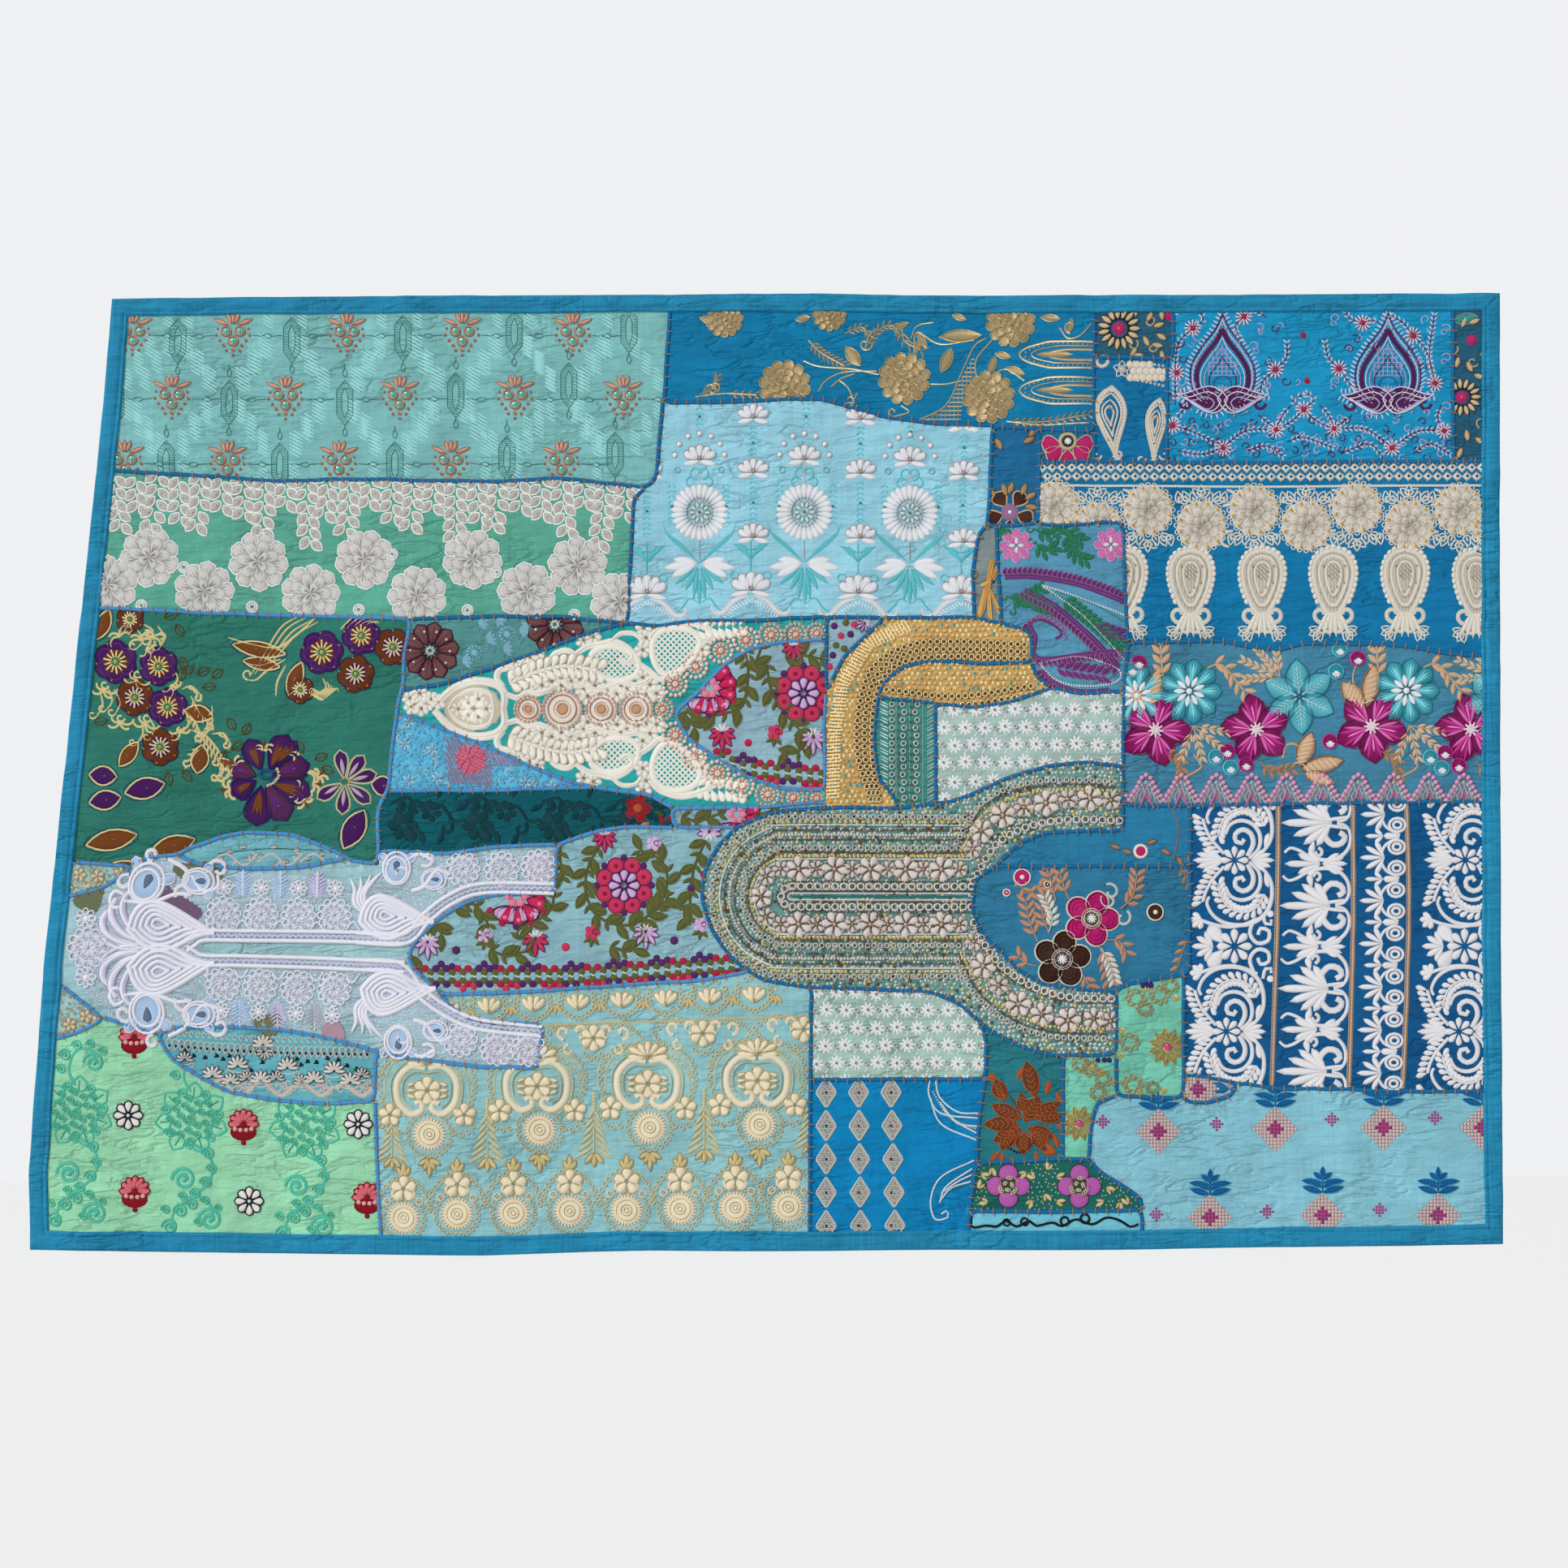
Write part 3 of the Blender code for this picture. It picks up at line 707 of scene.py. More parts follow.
def sewOn(name, outline, depth):
    # the gathered needlework as one piece, laid on the cloth and cut to the outline
    points, lays, tints, polygons, kinds = gathered()
    x, z = onCloth(points[:, 0], points[:, 1])
    y = -surface(x, z) - (depth + points[:, 2]) / 1000
    kept, keptKinds = [], []
    for faces, kind in zip(polygons, kinds):
        middleX, middleZ = x[faces].mean(1), z[faces].mean(1)
        good = inside(openFace, middleX, middleZ)
        if outline is not None:
            good &= inside(outline, middleX, middleZ)
        kept += faces[good].tolist()
        keptKinds.append(kind[good])
    used = np.zeros(len(points), bool)
    used[np.concatenate([np.array(face) for face in kept])] = True
    rank = np.cumsum(used) - 1
    mesh = bpy.data.meshes.new(name)
    faces = [[int(rank[i]) for i in face] for face in kept]
    mesh.from_pydata(np.stack([x, y, z], 1)[used].tolist(), [], faces)
    blank = 0 * lays[:, :1]
    for label, form, field, columns in (
        ("lay", "FLOAT_VECTOR", "vector", [lays, blank]),
        ("tint", "FLOAT_COLOR", "color", [tints, blank + 1]),
    ):
        values = np.concatenate(columns, 1)[used].astype(np.float32)
        mesh.attributes.new(label, form, "POINT").data.foreach_set(field, values.ravel())
    for material in stitchMaterials:
        mesh.materials.append(material)
    mesh.polygons.foreach_set("material_index", np.concatenate(keptKinds).astype(np.int32))
    mesh.shade_smooth()
    piece = newPiece(name, mesh)
    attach(piece, "root")


# sheets
def pieceOf(name, shape, material):  # the finished shape as a smooth piece of one material
    mesh = bpy.data.meshes.new(name)
    shape.to_mesh(mesh)
    shape.free()
    mesh.materials.append(material)
    mesh.shade_smooth()
    return newPiece(name, mesh)


def clothSheet(name, outline, depth, material, step, thick=0.0):
    shape = bmesh.new()
    shape.faces.new([shape.verts.new((x, 0, z)) for x, z in outline])
    for axis, way in ((0, (1, 0, 0)), (1, (0, 0, 1))):
        low, high = outline[:, axis].min(), outline[:, axis].max()
        for k in range(math.ceil(low / step), math.floor(high / step) + 1):
            parts = shape.verts[:] + shape.edges[:] + shape.faces[:]
            bmesh.ops.bisect_plane(
                shape, geom=parts, dist=1e-5, plane_co=tuple(k * step * w for w in way), plane_no=way
            )
    bmesh.ops.recalc_face_normals(shape, faces=shape.faces[:])
    shape.normal_update()
    if shape.faces[0].normal.y > 0:
        bmesh.ops.reverse_faces(shape, faces=shape.faces[:])
    places = np.array([(point.co.x, point.co.z) for point in shape.verts])
    for point, y in zip(shape.verts, -surface(places[:, 0], places[:, 1]) - depth / 1000):
        point.co.y = y
    area = sum(face.calc_area() for face in shape.faces)
    if thick:
        bmesh.ops.solidify(shape, geom=shape.faces[:], thickness=thick)
    piece = pieceOf(name, shape, material)
    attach(piece, "root")
    return piece, area


def dress(node):  # hides the node's part, so that the cloth made from its outline stands in its place
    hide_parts(node)


def camel(node):
    first, *others = node.split("_")
    return first + "".join(word.capitalize() for word in others)


# the panels' cloths
looks = {
    "mint_damask": {"colour": (121, 181, 180), "slot": "mint_damask"},
    "silver_roses": {"colour": (88, 163, 142), "slot": "sage_silk"},
    "forest_flowers": {"colour": (42, 114, 100), "slot": "forest_crepe"},
    "scroll_lens": {"colour": (110, 172, 182), "slot": "aqua_scroll"},
    "maroon_flower": {"colour": (82, 140, 140), "slot": "dusty_teal_net"},
    "ivory_lace": {"colour": (40, 158, 158), "slot": "teal_silk"},
    "berry_ogee": {"colour": (138, 172, 186), "slot": "greyblue_georgette"},
    "berry_corner": {"colour": (138, 174, 188), "slot": "greyblue_georgette"},
    "berry_wide": {"colour": (136, 178, 188), "slot": "greyblue_georgette"},
    "berry_sliver": {"colour": (130, 170, 186), "slot": "greyblue_georgette"},
    "sky_medallions": {"colour": (145, 200, 217), "slot": "sky_cotton"},
    "gold_roses": {"colour": (8, 116, 160), "slot": "royal_silk"},
    "sunflower": {"colour": (34, 88, 114), "slot": "dark_blue_crepe"},
    "sunflower_strip": {"colour": (34, 88, 114), "slot": "dark_blue_crepe"},
    "ivory_mango": {"colour": (12, 108, 156), "slot": "azure_silk"},
    "plum_ogees": {"colour": (22, 140, 185), "slot": "turquoise_silk"},
    "ivory_borders": {"colour": (10, 112, 160), "slot": "azure_silk"},
    "big_blooms": {"colour": (64, 126, 154), "slot": "teal_blue_georgette"},
    "magenta_flower": {"colour": (30, 105, 145), "slot": "deep_blue_crepe"},
    "brown_flower": {"colour": (25, 98, 142), "slot": "deep_blue_crepe"},
    "blue_strip": {"colour": (38, 118, 156), "slot": "deep_blue_crepe"},
    "blue_flowers": {"colour": (44, 114, 148), "slot": "deep_blue_crepe"},
    "purple_paisley": {"colour": (82, 142, 172), "slot": "dusty_blue_cotton"},
    "orange_tassel": {"colour": (122, 135, 135), "slot": "grey_net"},
    "gold_arch": {"colour": (196, 156, 94), "slot": "gold_tissue"},
    "gold_lens": {"colour": (196, 156, 94), "slot": "gold_tissue"},
    "sequin_columns": {"colour": (60, 132, 128), "slot": "teal_net"},
    "daisies_upper": {"colour": (160, 184, 176), "slot": "grey_green_net"},
    "daisies_lower": {"colour": (160, 188, 176), "slot": "grey_green_net"},
    "beaded_neck": {"colour": (96, 146, 142), "slot": "beaded_teal"},
    "white_scrolls": {"colour": (10, 82, 132), "slot": "navy_cotton"},
    "stitched_diamonds": {"colour": (127, 184, 199), "slot": "light_blue_silk"},
    "pink_scrap": {"colour": (165, 170, 185), "slot": "greyed_print"},
    "mint_sequins": {"colour": (112, 190, 166), "slot": "mint_chiffon"},
    "mint_sequins_low": {"colour": (112, 190, 166), "slot": "mint_chiffon"},
    "rust_flower": {"colour": (34, 110, 120), "slot": "petrol_crepe"},
    "lilac_clover": {"colour": (22, 96, 86), "slot": "bottle_green_silk"},
    "black_curl": {"colour": (105, 182, 200), "slot": "aqua_crepe"},
    "silver_diamonds": {"colour": (2, 122, 176), "slot": "bright_blue_silk"},
    "cream_crests": {"colour": (136, 187, 192), "slot": "aqua_cotton"},
    "lace_ground": {"colour": (150, 188, 194), "slot": "pale_organza"},
    "cream_scrap_upper": {"colour": (150, 190, 190), "slot": "cream_cloth"},
    "cream_scrap_lower": {"colour": (150, 190, 190), "slot": "cream_cloth"},
    "black_darts": {"colour": (95, 168, 180), "slot": "aqua_scroll"},
    "mint_vines": {"colour": (146, 208, 168), "slot": "mint_cotton"},
    "ruched_pink": {"colour": (88, 175, 212), "slot": "sky_ruched"},
    "teal_velvet": {"colour": (4, 84, 94), "slot": "teal_velvet"},
}

# motifs shared by several panels
white = (236, 238, 242)
cream = (238, 228, 206)
gold = (196, 164, 108)
copper = (190, 132, 108)
silver = (205, 205, 200)
magenta = (190, 30, 105)
teal = (40, 150, 150)
dark = (30, 30, 45)


def at(*place):  # one place, for repeat
    return [place]


def beyond(x, y, far, way, aside=0):  # the place this far along a direction and to its side
    right, down = turned(far, aside, way)
    return x + right, y + down


def ringOf(count, far, shape, long, wide=None, start=-90, spread=360, **more):
    # shapes round the middle that point outwards
    for k in range(count):
        way = start + (360 * k / count if spread == 360 else spread * (k / max(count - 1, 1) - 0.5))
        stamp(shape, *turned(far, 0, way), long, wide, way, **more)


def thread(points, wide, tint, **more):
    lay(flowing(points), wide, tint, **more)


def chain(points, step, shape, long, wide=None, tint=white, lean=0, closed=False, **more):
    # shapes in a row along a smooth line
    for x, y, way in along(flowing(points, closed=closed), step, closed):
        stamp(shape, x, y, long, wide, way + lean, tint=tint, **more)


def edged(
    shape, x, y, long, wide, turn, fill, edge, thick=1.3, high=0.6, kind="thread", edgeKind="thread", **more
):
    # a filled leaf with a cord round it
    if fill:
        stamp(shape, x, y, long, wide, turn, high, fill, kind=kind, **more)
    lean, round_ = swells[shape]
    share = np.linspace(0, 1, 5 if long < 14 else 7)
    side = np.stack([share * long, [swell(a, lean, round_) * wide / 2 for a in share]], 1)
    right, down = turned(*np.concatenate([side, (side * (1, -1))[::-1]]).T, turn)
    lay(np.stack([right + x, down + y], 1), thick, edge, high * 1.1, edgeKind)


def curl(x, y, size, way, wide, tint, side=1, turns=0.85, **more):
    # a thread that starts here, heads this way and rolls in
    share = np.linspace(0, 1, int(6 + 9 * turns))
    spin, reach = 2 * math.pi * turns * share, size * (1 - 0.72 * share)
    right, down = turned(reach * np.sin(spin), side * (size - reach * np.cos(spin)), way)
    lay(np.stack([right + x, down + y], 1), wide, tint, **more)


def sprig(points, wide, tint, step, long, broad, leafTint=None, lean=42, shape="leaf", sides=(1, -1), **more):
    # a stem with leaves along it
    line = flowing(points)
    lay(line, wide, tint, **more)
    for x, y, way in along(line, step)[1:]:
        for side in sides:
            stamp(shape, x, y, long, broad, way + side * lean, tint=leafTint or tint, **more)


def hatch(area, step, way, wide, tint, **more):  # parallel threads across an area
    area = np.array(area, float)
    right, down = turned(area[:, 0], area[:, 1], -way)
    places = np.arange(right.min(), right.max() + 1.5, 1.5)
    for level in np.arange(down.min() + step / 2, down.max(), step):
        x, y = turned(places, 0 * places + level, way)
        ends = np.flatnonzero(np.diff(np.concatenate([[0], inside(area, x, y).astype(int), [0]])))
        for a, b in zip(ends[::2], ends[1::2]):
            if b - a > 2:
                lay(evenly([(x[a], y[a]), (x[b - 1], y[b - 1])], 9), wide, tint, **more)


def spots(area, across, down, stagger=0.5, stray=0.0, seed=1):  # places in rows over an area
    area = np.array(area, float)
    found, chance = [], np.random.default_rng(seed)
    for row, y in enumerate(np.arange(area[:, 1].min() + down / 2, area[:, 1].max(), down)):
        x = np.arange(area[:, 0].min() + across * (stagger * (row % 2)), area[:, 0].max(), across)
        found.append(np.stack([x, 0 * x + y], 1))
    found = np.concatenate(found)
    found = found + chance.normal(0, 1, found.shape) * stray
    return found[inside(area, found[:, 0], found[:, 1])]


def around(x, y, wide, tall=None, count=20, turn=0):  # an ellipse, closed
    ways = np.linspace(0, 2 * math.pi, count + 1)
    right, down = turned(wide / 2 * np.cos(ways), (tall or wide) / 2 * np.sin(ways), turn)
    return np.stack([right + x, down + y], 1)


def boteh(x, y, long, wide, turn=0, side=1, count=26):
    # a teardrop whose tip bends to one side, closed; it starts at the tip
    share = np.linspace(0, 1, count // 2 + 1)
    half = wide / 2 * np.sin(math.pi * share**1.7) ** 0.8
    bend = side * 0.42 * wide * (1 - share) ** 2.2
    rim = np.concatenate([
        np.stack([share * long, half + bend], 1), np.stack([share * long, bend - half], 1)[::-1]
    ])
    right, down = turned(*rim.T, turn)
    return np.stack([right + x, down + y], 1)


def ruffledRose(
    size, light, edge, rings=((10, 0.7, 0.48), (7, 0.42, 0.4), (4, 0.16, 0.3)), kind="metal", thick=1.3
):
    for level, (count, far, wide) in enumerate(rings):
        for k in range(count):
            way = 360 * (k + level * 0.5) / count + level * 17
            x, y = turned(far * size, 0, way)
            stamp(
                "dome", x, y, wide * size, wide * size * 0.9, way + 90, 0.8, light, kind=kind,
                base=level * 0.3,
            )
            lay(
                around(x, y, wide * size, wide * size * 0.94, 8, way), thick, edge, 1.0, kind,
                base=level * 0.3,
            )


def blossom(
    size, count, tint, tip=None, heart=(240, 225, 150), shape="petal", edge=None, broad=1.0, core=0.3,
    **more
):
    # a flat flower with a domed heart; size is its radius
    long, wide = size * (1 - core * 0.55), 2 * math.pi * size * 0.62 / count * broad
    for k in range(count):
        way = -90 + 360 * k / count
        x, y = turned(size * core * 0.55, 0, way)
        if edge:
            edged(shape, x, y, long, wide, way, tint, edge, max(0.9, size * 0.07), tip=tip, **more)
        else:
            stamp(shape, x, y, long, wide, way, tint=tint, tip=tip, **more)
    stamp("dome", 0, 0, size * core * 1.5, high=1.3, tint=heart, **more)


# upper left
mintDamaskTints = {"stone": (70, 170, 155), "hatchTint": (166, 230, 228), "lineTint": (84, 140, 136)}
stone, hatchTint, lineTint = mintDamaskTints.values()


def threeStones():
    for x, y in ((-8.5, -3), (8.5, -3), (0, 9)):
        stamp("ring", x, y, 14.5, tint=copper, kind="metal", high=1.1)
        stamp("dome", x, y, 10, tint=stone, kind="bead", high=1.3)
    for way, x, y, long in (
        (-90, 0, -12, 15), (-112, -2, -12, 15), (-68, 2, -12, 15), (-158, -6, -11, 19), (-22, 6, -11, 19)
    ):
        edged("leaf", x, y, long, 5.2, way, (215, 165, 145), copper, 1.0, high=0.9)
    for x, y, wide in (
        (-19, -6, 4), (-20.5, 2, 5), (-16, 8.5, 5), (-11, 14.5, 5.4), (-8, 21, 4.6), (0, 20, 6),
        (0, 26.5, 4.6), (8, 21, 4.6), (11, 14.5, 5.4), (16, 8.5, 5), (20.5, 2, 5), (19, -6, 4),
    ):
        stamp("bead", x, y, wide, high=1.0, tint=copper, kind="metal")
    for side in (-1, 1):
        lay([(side * 24, 2), (side * 36, 3)], 1.1, lineTint)
        lay([(side * 48, 3), (side * 60, 2)], 1.1, lineTint)
        stamp("hoop", side * 42, 3, 12, 6, tint=lineTint)
    # stepped blocks of slanting threads round each motif
    for x, y in ((21, 59), (35, 38), (49, 18)):
        for side in (-1, 1):
            for low in (-1, 1):
                for n in range(6):
                    stamp("stitch", side * x - 6, low * y + n * 4.6 - 15, 14.5, 1.9, 32, 0.5, hatchTint)


def beadedHexagon():
    rim = [(0, -25), (8, -14), (8, 14), (0, 27), (-8, 14), (-8, -14), (0, -25)]
    lay(evenly([(x * 1.25, y * 1.08) for x, y in rim], 5), 1.4, lineTint, 0.6)
    lay(evenly([(x * 0.5, y * 0.72) for x, y in rim], 5), 1.4, (78, 140, 136), 0.6)
    for x, y, _ in along([(0.9 * x, 0.92 * y) for x, y in rim], 3.2):
        stamp("stitch", x, y, 4.6, 1.7, 0, 0.7, (86, 158, 152))
    for y in (-36, 37):
        stamp("hoop", 0, y, 6, 11, tint=lineTint)
        lay([(0, y - 10), (0, y - 5)], 1.2, lineTint)


def sewMintDamask():
    rows = [
        (412, (165, 288, 428, 570, 706)), (490, (213, 352, 493, 635, 768)), (570, (155, 281, 418, 556, 692))
    ]
    repeat(threeStones, [(x, y) for y, row in rows for x in row])
    repeat(beadedHexagon, [
        (220, 421), (360, 419), (497, 417), (634, 411), (775, 407), (144, 497), (283, 496), (425, 496),
        (562, 487), (701, 475), (206, 571), (345, 573), (487, 572), (625, 565), (758, 560),
    ])


def silverRose(size=37):
    # shade is painted shade: a dark dome that shows between the petals, and dark strokes on each petal
    fill, edge, shade = (216, 214, 209), (252, 251, 248), (150, 147, 140)
    stamp("dome", 0, 0, size * 1.5, tint=shade, high=0.5)
    for count, far, long, wide, base in (
        (9, 0.34, 0.66, 0.56, 0.2), (7, 0.1, 0.62, 0.5, 0.8), (4, 0.0, 0.4, 0.36, 1.3)
    ):
        for k in range(count):
            way = 360 * k / count + 40 * base
            x, y = turned(far * size, 0, way)
            edged("petal", x, y, long * size, wide * size, way, fill, edge, 2.2, high=0.8, base=base)
            for lean in (-13, 0, 13):
                u, v = turned((far + long * 0.35) * size, 0, way + lean * 0.6)
                stamp("stitch", u, v, long * size * 0.5, 1.1, way + lean, 0.5, shade, base=base + 0.75)


silverRosesTints = {"edge": (250, 249, 245), "fill": (190, 186, 178)}


def sewSilverRoses():
    edge, fill = silverRosesTints.values()
    chance = np.random.default_rng(31)
    for k in range(26):
        x, lean = 143 + k * 26.2, chance.uniform(-0.28, 0.28)
        for row in range((5, 3, 6, 4, 5, 3, 4)[k % 7]):
            y = 586 + row * 14.5 + (k % 2) * 6
            for side in (-1, 1):
                u, v = x + row * row * lean * 2 + side * 1.5, y + side * 2.5
                edged(
                    "leaf", u, v, 18, 11, 90 - side * (42 + chance.uniform(-9, 9)), fill, edge, 2.3,
                    high=0.8,
                )
                stamp("bead", u + side * 4.5, v + 6, 3, tint=(120, 96, 70), kind="metal", high=1.1)
    repeat(silverRose, [
        (186, 688, 10), (319, 692), (450, 690, 40), (583, 690, 80), (712, 698, 20), (135, 722, 60),
        (253, 729, 30), (383, 732, 70), (515, 735, 50), (650, 730, 15), (764, 742, 0),
    ])
    for x, y in (
        (176, 747), (311, 748), (443, 752), (577, 753), (708, 758), (228, 700), (484, 684), (612, 706)
    ):
        for size in (13, 7):
            lay(around(x, y, size, count=10), 3, edge, 1.2)


forestFlowersTints = {
    "plum": (92, 34, 112),
    "umber": (120, 66, 24),
    "straw": (232, 214, 152),
    "plumDeep": (70, 18, 92),
    "umberDeep": (104, 48, 12),
}
plum, umber, straw, plumDeep, umberDeep = forestFlowersTints.values()


def rosette(outer, inner, size=24):
    for k in range(6):
        x, y = turned(size * 0.56, 0, 60 * k - 90)
        stamp("dome", x, y, size * 0.95, size * 0.84, 60 * k, 0.6, outer)
        lay(around(x, y, size * 0.95, size * 0.85, 12, 60 * k), 1.3, (34, 30, 84), 0.6)
        lay(
            around(x, y, size * 0.6, size * 0.5, 9, 60 * k), 1.6,
            (120, 60, 150) if outer == plumDeep else umber, 0.9,
        )
    for k in range(6):
        x, y = turned(size * 0.3, 0, 60 * k - 60)
        stamp("dome", x, y, size * 0.62, size * 0.56, 60 * k, 0.7, inner, base=0.3)
    for k in range(13):
        x, y = turned(size * 0.15, 0, k * 27.7)
        stamp("stitch", x * 2, y * 2, size * (0.5 if k % 2 else 0.38), 3.0, k * 27.7, 0.8, straw, base=0.8)
    stamp("ring", 0, 0, size * 0.4, high=1.0, tint=(60, 150, 90), base=1.2)
    stamp("bead", 0, 0, size * 0.2, high=1.2, tint=(214, 196, 90), kind="bead", base=1.2)
    for k in range(5):
        stamp("bead", *turned(size * 0.84, 0, 30 + k * 72), 3, tint=gold, kind="bead", high=1.4, base=0.4)


def strawLine(*points, wide=3.2, hook=5.5, side=1):
    thread(points, wide, straw, high=0.8, taper=0.6)
    (x0, y0), (x1, y1) = points[-2:]
    if hook:
        curl(x1, y1, hook, math.degrees(math.atan2(y1 - y0, x1 - x0)), wide * 0.8, straw, side, high=0.8)


def strawSpray(x, y, way, count=4, long=26, spread=50, wide=5):
    for k in range(count):
        lean = way + spread * (k / max(count - 1, 1) - 0.5)
        curl(
            x, y, long * (0.62 - 0.06 * k), lean, wide * 0.72, straw, 1 if k % 2 else -1, turns=0.3,
            high=0.8,
        )


def forestRosettes():
    for outer, inner, size, places in (
        (plumDeep, umberDeep, 28, [(144, 816), (397, 804, 20)]),
        (plumDeep, umberDeep, 25, [(197, 822), (208, 872, 10), (446, 784, 20)]),
        (umberDeep, plumDeep, 24, [(168, 860, 10), (199, 921), (439, 831, 15), (485, 798, 25)]),
        (umberDeep, plumDeep, 18, [(162, 764), (370, 850)]),
    ):
        repeat(lambda: rosette(outer, inner, size), places)


def upperPlume():  # it runs to the left from the upper flowers
    for shift, lean in ((0, 0), (6, 3), (12, 7), (18, 10)):
        strawLine(
            (392 - shift, 766 - lean), (366 - shift, 782 - lean), (344 - shift, 806),
            (326 - shift, 824 + lean), wide=2.8, hook=0,
        )
    strawLine((282, 786), (310, 794), (342, 798), (366, 782), (390, 760), wide=4, hook=0)
    strawLine((352, 812), (330, 826), (316, 838), (306, 838), side=1, hook=7)
    strawLine((300, 816), (320, 820), (346, 812), wide=3.4, hook=0)
    strawLine((340, 858), (342, 840), (352, 820), wide=3.4, hook=0)
    for x in range(0, 30, 7):
        strawLine((440 + x, 756 + x * 0.4), (428 + x, 768), (420 + x, 776), wide=3, hook=0)
        strawLine(
            (398 + x * 0.7, 836 + x * 0.6), (402 + x * 0.5, 848), (388 + x * 0.4, 856 + x * 0.2), wide=3
        )


def strawBunches():  # between the flowers on the left
    for x, y, way in (
        (176, 790, -100), (190, 788, -70), (182, 800, 20), (150, 785, -120), (170, 838, 120),
        (212, 846, 40), (130, 850, 110), (182, 892, 120), (150, 890, 100), (222, 900, 60),
    ):
        strawSpray(x, y, way, 4, 24, 70, 4.6)
        curl(x + 6, y - 4, 6, way, 2.6, straw, high=0.8)
    for line in (
        ((178, 770), (190, 778), (186, 792)), ((170, 775), (178, 790), (170, 800)),
        ((196, 772), (204, 786), (198, 800)), ((124, 850), (128, 870), (120, 884)),
        ((133, 845), (140, 864), (132, 876)), ((142, 850), (150, 866), (144, 880)),
        ((176, 888), (178, 905), (170, 918)), ((186, 885), (192, 898), (188, 910)),
    ):
        strawLine(*line, wide=3)


def longPlume():  # down to the lily
    for line in (
        ((222, 868), (240, 888), (252, 912), (270, 936)), ((236, 858), (248, 880), (262, 892)),
        ((262, 870), (262, 892), (250, 912)), ((236, 900), (252, 905), (266, 920), (280, 942)),
        ((252, 920), (240, 930), (236, 942)), ((268, 930), (276, 948), (270, 960)),
        ((226, 850), (236, 846), (248, 856)), ((262, 905), (276, 904), (284, 915)),
        ((278, 945), (284, 955), (276, 962)),
    ):
        strawLine(*line, wide=3.2)
        for x, y, way in along(flowing(line), 7)[1:]:
            stamp("leaf", x, y, 10, 3.6, way + 40, 0.7, straw)


def forestLeaves():
    for x, y, long, wide, way, fill in (
        (352, 806, 66, 19, 190, umber), (345, 822, 46, 16, 190, umber), (372, 816, 44, 19, 112, umber),
        (228, 876, 36, 21, 12, umber), (250, 918, 36, 22, 100, umber), (172, 915, 38, 18, 128, umber),
        (136, 752, 40, 19, 112, umber), (156, 978, 50, 26, -14, plumDeep), (112, 955, 34, 24, 5, plumDeep),
        (112, 990, 40, 24, -10, plumDeep), (108, 1042, 64, 25, -12, umber), (186, 1052, 58, 25, -18, umber),
        (128, 1072, 50, 18, -5, umber), (424, 1046, 54, 28, -62, plumDeep),
        (458, 966, 28, 24, 10, plumDeep), (455, 1066, 36, 12, -12, umber), (268, 935, 30, 12, 30, umber),
    ):
        edged("leaf", x, y, long, wide, way, fill, straw, 2.4, high=0.7)
        lay(around(*beyond(x, y, long * 0.5, way), long * 1.06, wide * 1.1, 16, way), 1.1, (30, 40, 90), 0.4)
        stamp("bead", *beyond(x, y, long * 0.55, way), 3, tint=gold, kind="bead", high=1.6)


def forestLily():
    for x, y, long, wide, way, fill in (
        (332, 950, 50, 32, -62, plumDeep), (336, 956, 48, 30, -18, umberDeep),
        (332, 964, 54, 34, 18, plumDeep), (328, 966, 52, 34, 60, umberDeep),
        (322, 968, 50, 34, 98, plumDeep), (316, 962, 34, 28, 150, plumDeep),
        (316, 956, 34, 28, -160, umberDeep), (322, 950, 42, 28, -112, plumDeep),
        (340, 944, 40, 20, -50, plumDeep),
    ):
        edged("petal", x, y, long, wide, way, fill, (36, 26, 104), 2.0, high=0.9, tip=plumDeep)
        for lean in (-9, 0, 9):
            vein = umber if fill == plumDeep else plum
            stamp("leaf", *beyond(x, y, 6, way), long * 0.62, wide * 0.16, way + lean, 0.5, vein, base=0.9)
        stamp("bead", *beyond(x, y, long * 0.6, way), 3, tint=gold, kind="bead", high=1.6, base=0.6)
    stamp("ring", 328, 954, 20, 14, tint=(30, 90, 140), high=1.3, base=0.4)
    chain(
        [(330, 968), (338, 964), (344, 956), (342, 948)], 4, "bead", 4.4, tint=cream, kind="bead", high=1.6,
        base=0.6,
    )
    for x, y, way in (
        (326, 925, -90), (292, 944, -140), (284, 972, 170), (364, 975, 30), (374, 985, 60), (386, 966, 0),
        (392, 958, -50), (356, 930, -60),
    ):
        strawSpray(x, y, way, 4, 20, 66, 5.5)
        stamp("leaf", x, y, 14, 4, way, 1.0, umber)


def flowerBesideLily():
    for way in (-100, -55, -15, 40, 95, 150):
        edged("petal", *beyond(426, 964, 4, way), 36, 17, way, plumDeep, (196, 200, 150), 3)
        stamp("leaf", *beyond(426, 964, 8, way), 22, 5, way, 0.6, (190, 170, 190), base=0.6)
    repeat(lambda: ringOf(7, 5, "bead", 3.4, tint=gold, kind="bead", high=1.8), at(426, 964))


def brownOutlines():
    for x, y, way in (
        (204, 762, -20), (218, 770, 60), (224, 840, -80), (244, 832, -30), (250, 848, -10), (262, 836, -40),
        (240, 822, 150), (230, 826, -110), (270, 940, -60), (286, 924, -30), (300, 906, -60), (312, 922, 0),
        (290, 900, -120), (374, 928, -120), (388, 936, -20), (396, 946, 20), (208, 952, 80), (226, 950, 50),
        (134, 888, 170), (222, 756, -40),
    ):
        edged("leaf", x, y, 17, 10, way, None, (88, 70, 22), 2.0)
        lay([(x, y), beyond(x, y, 15, way)], 1, (88, 70, 22), 0.5)


def sewForestFlowers():
    forestRosettes()
    upperPlume()
    strawBunches()
    longPlume()
    forestLeaves()
    forestLily()
    flowerBesideLily()
    brownOutlines()


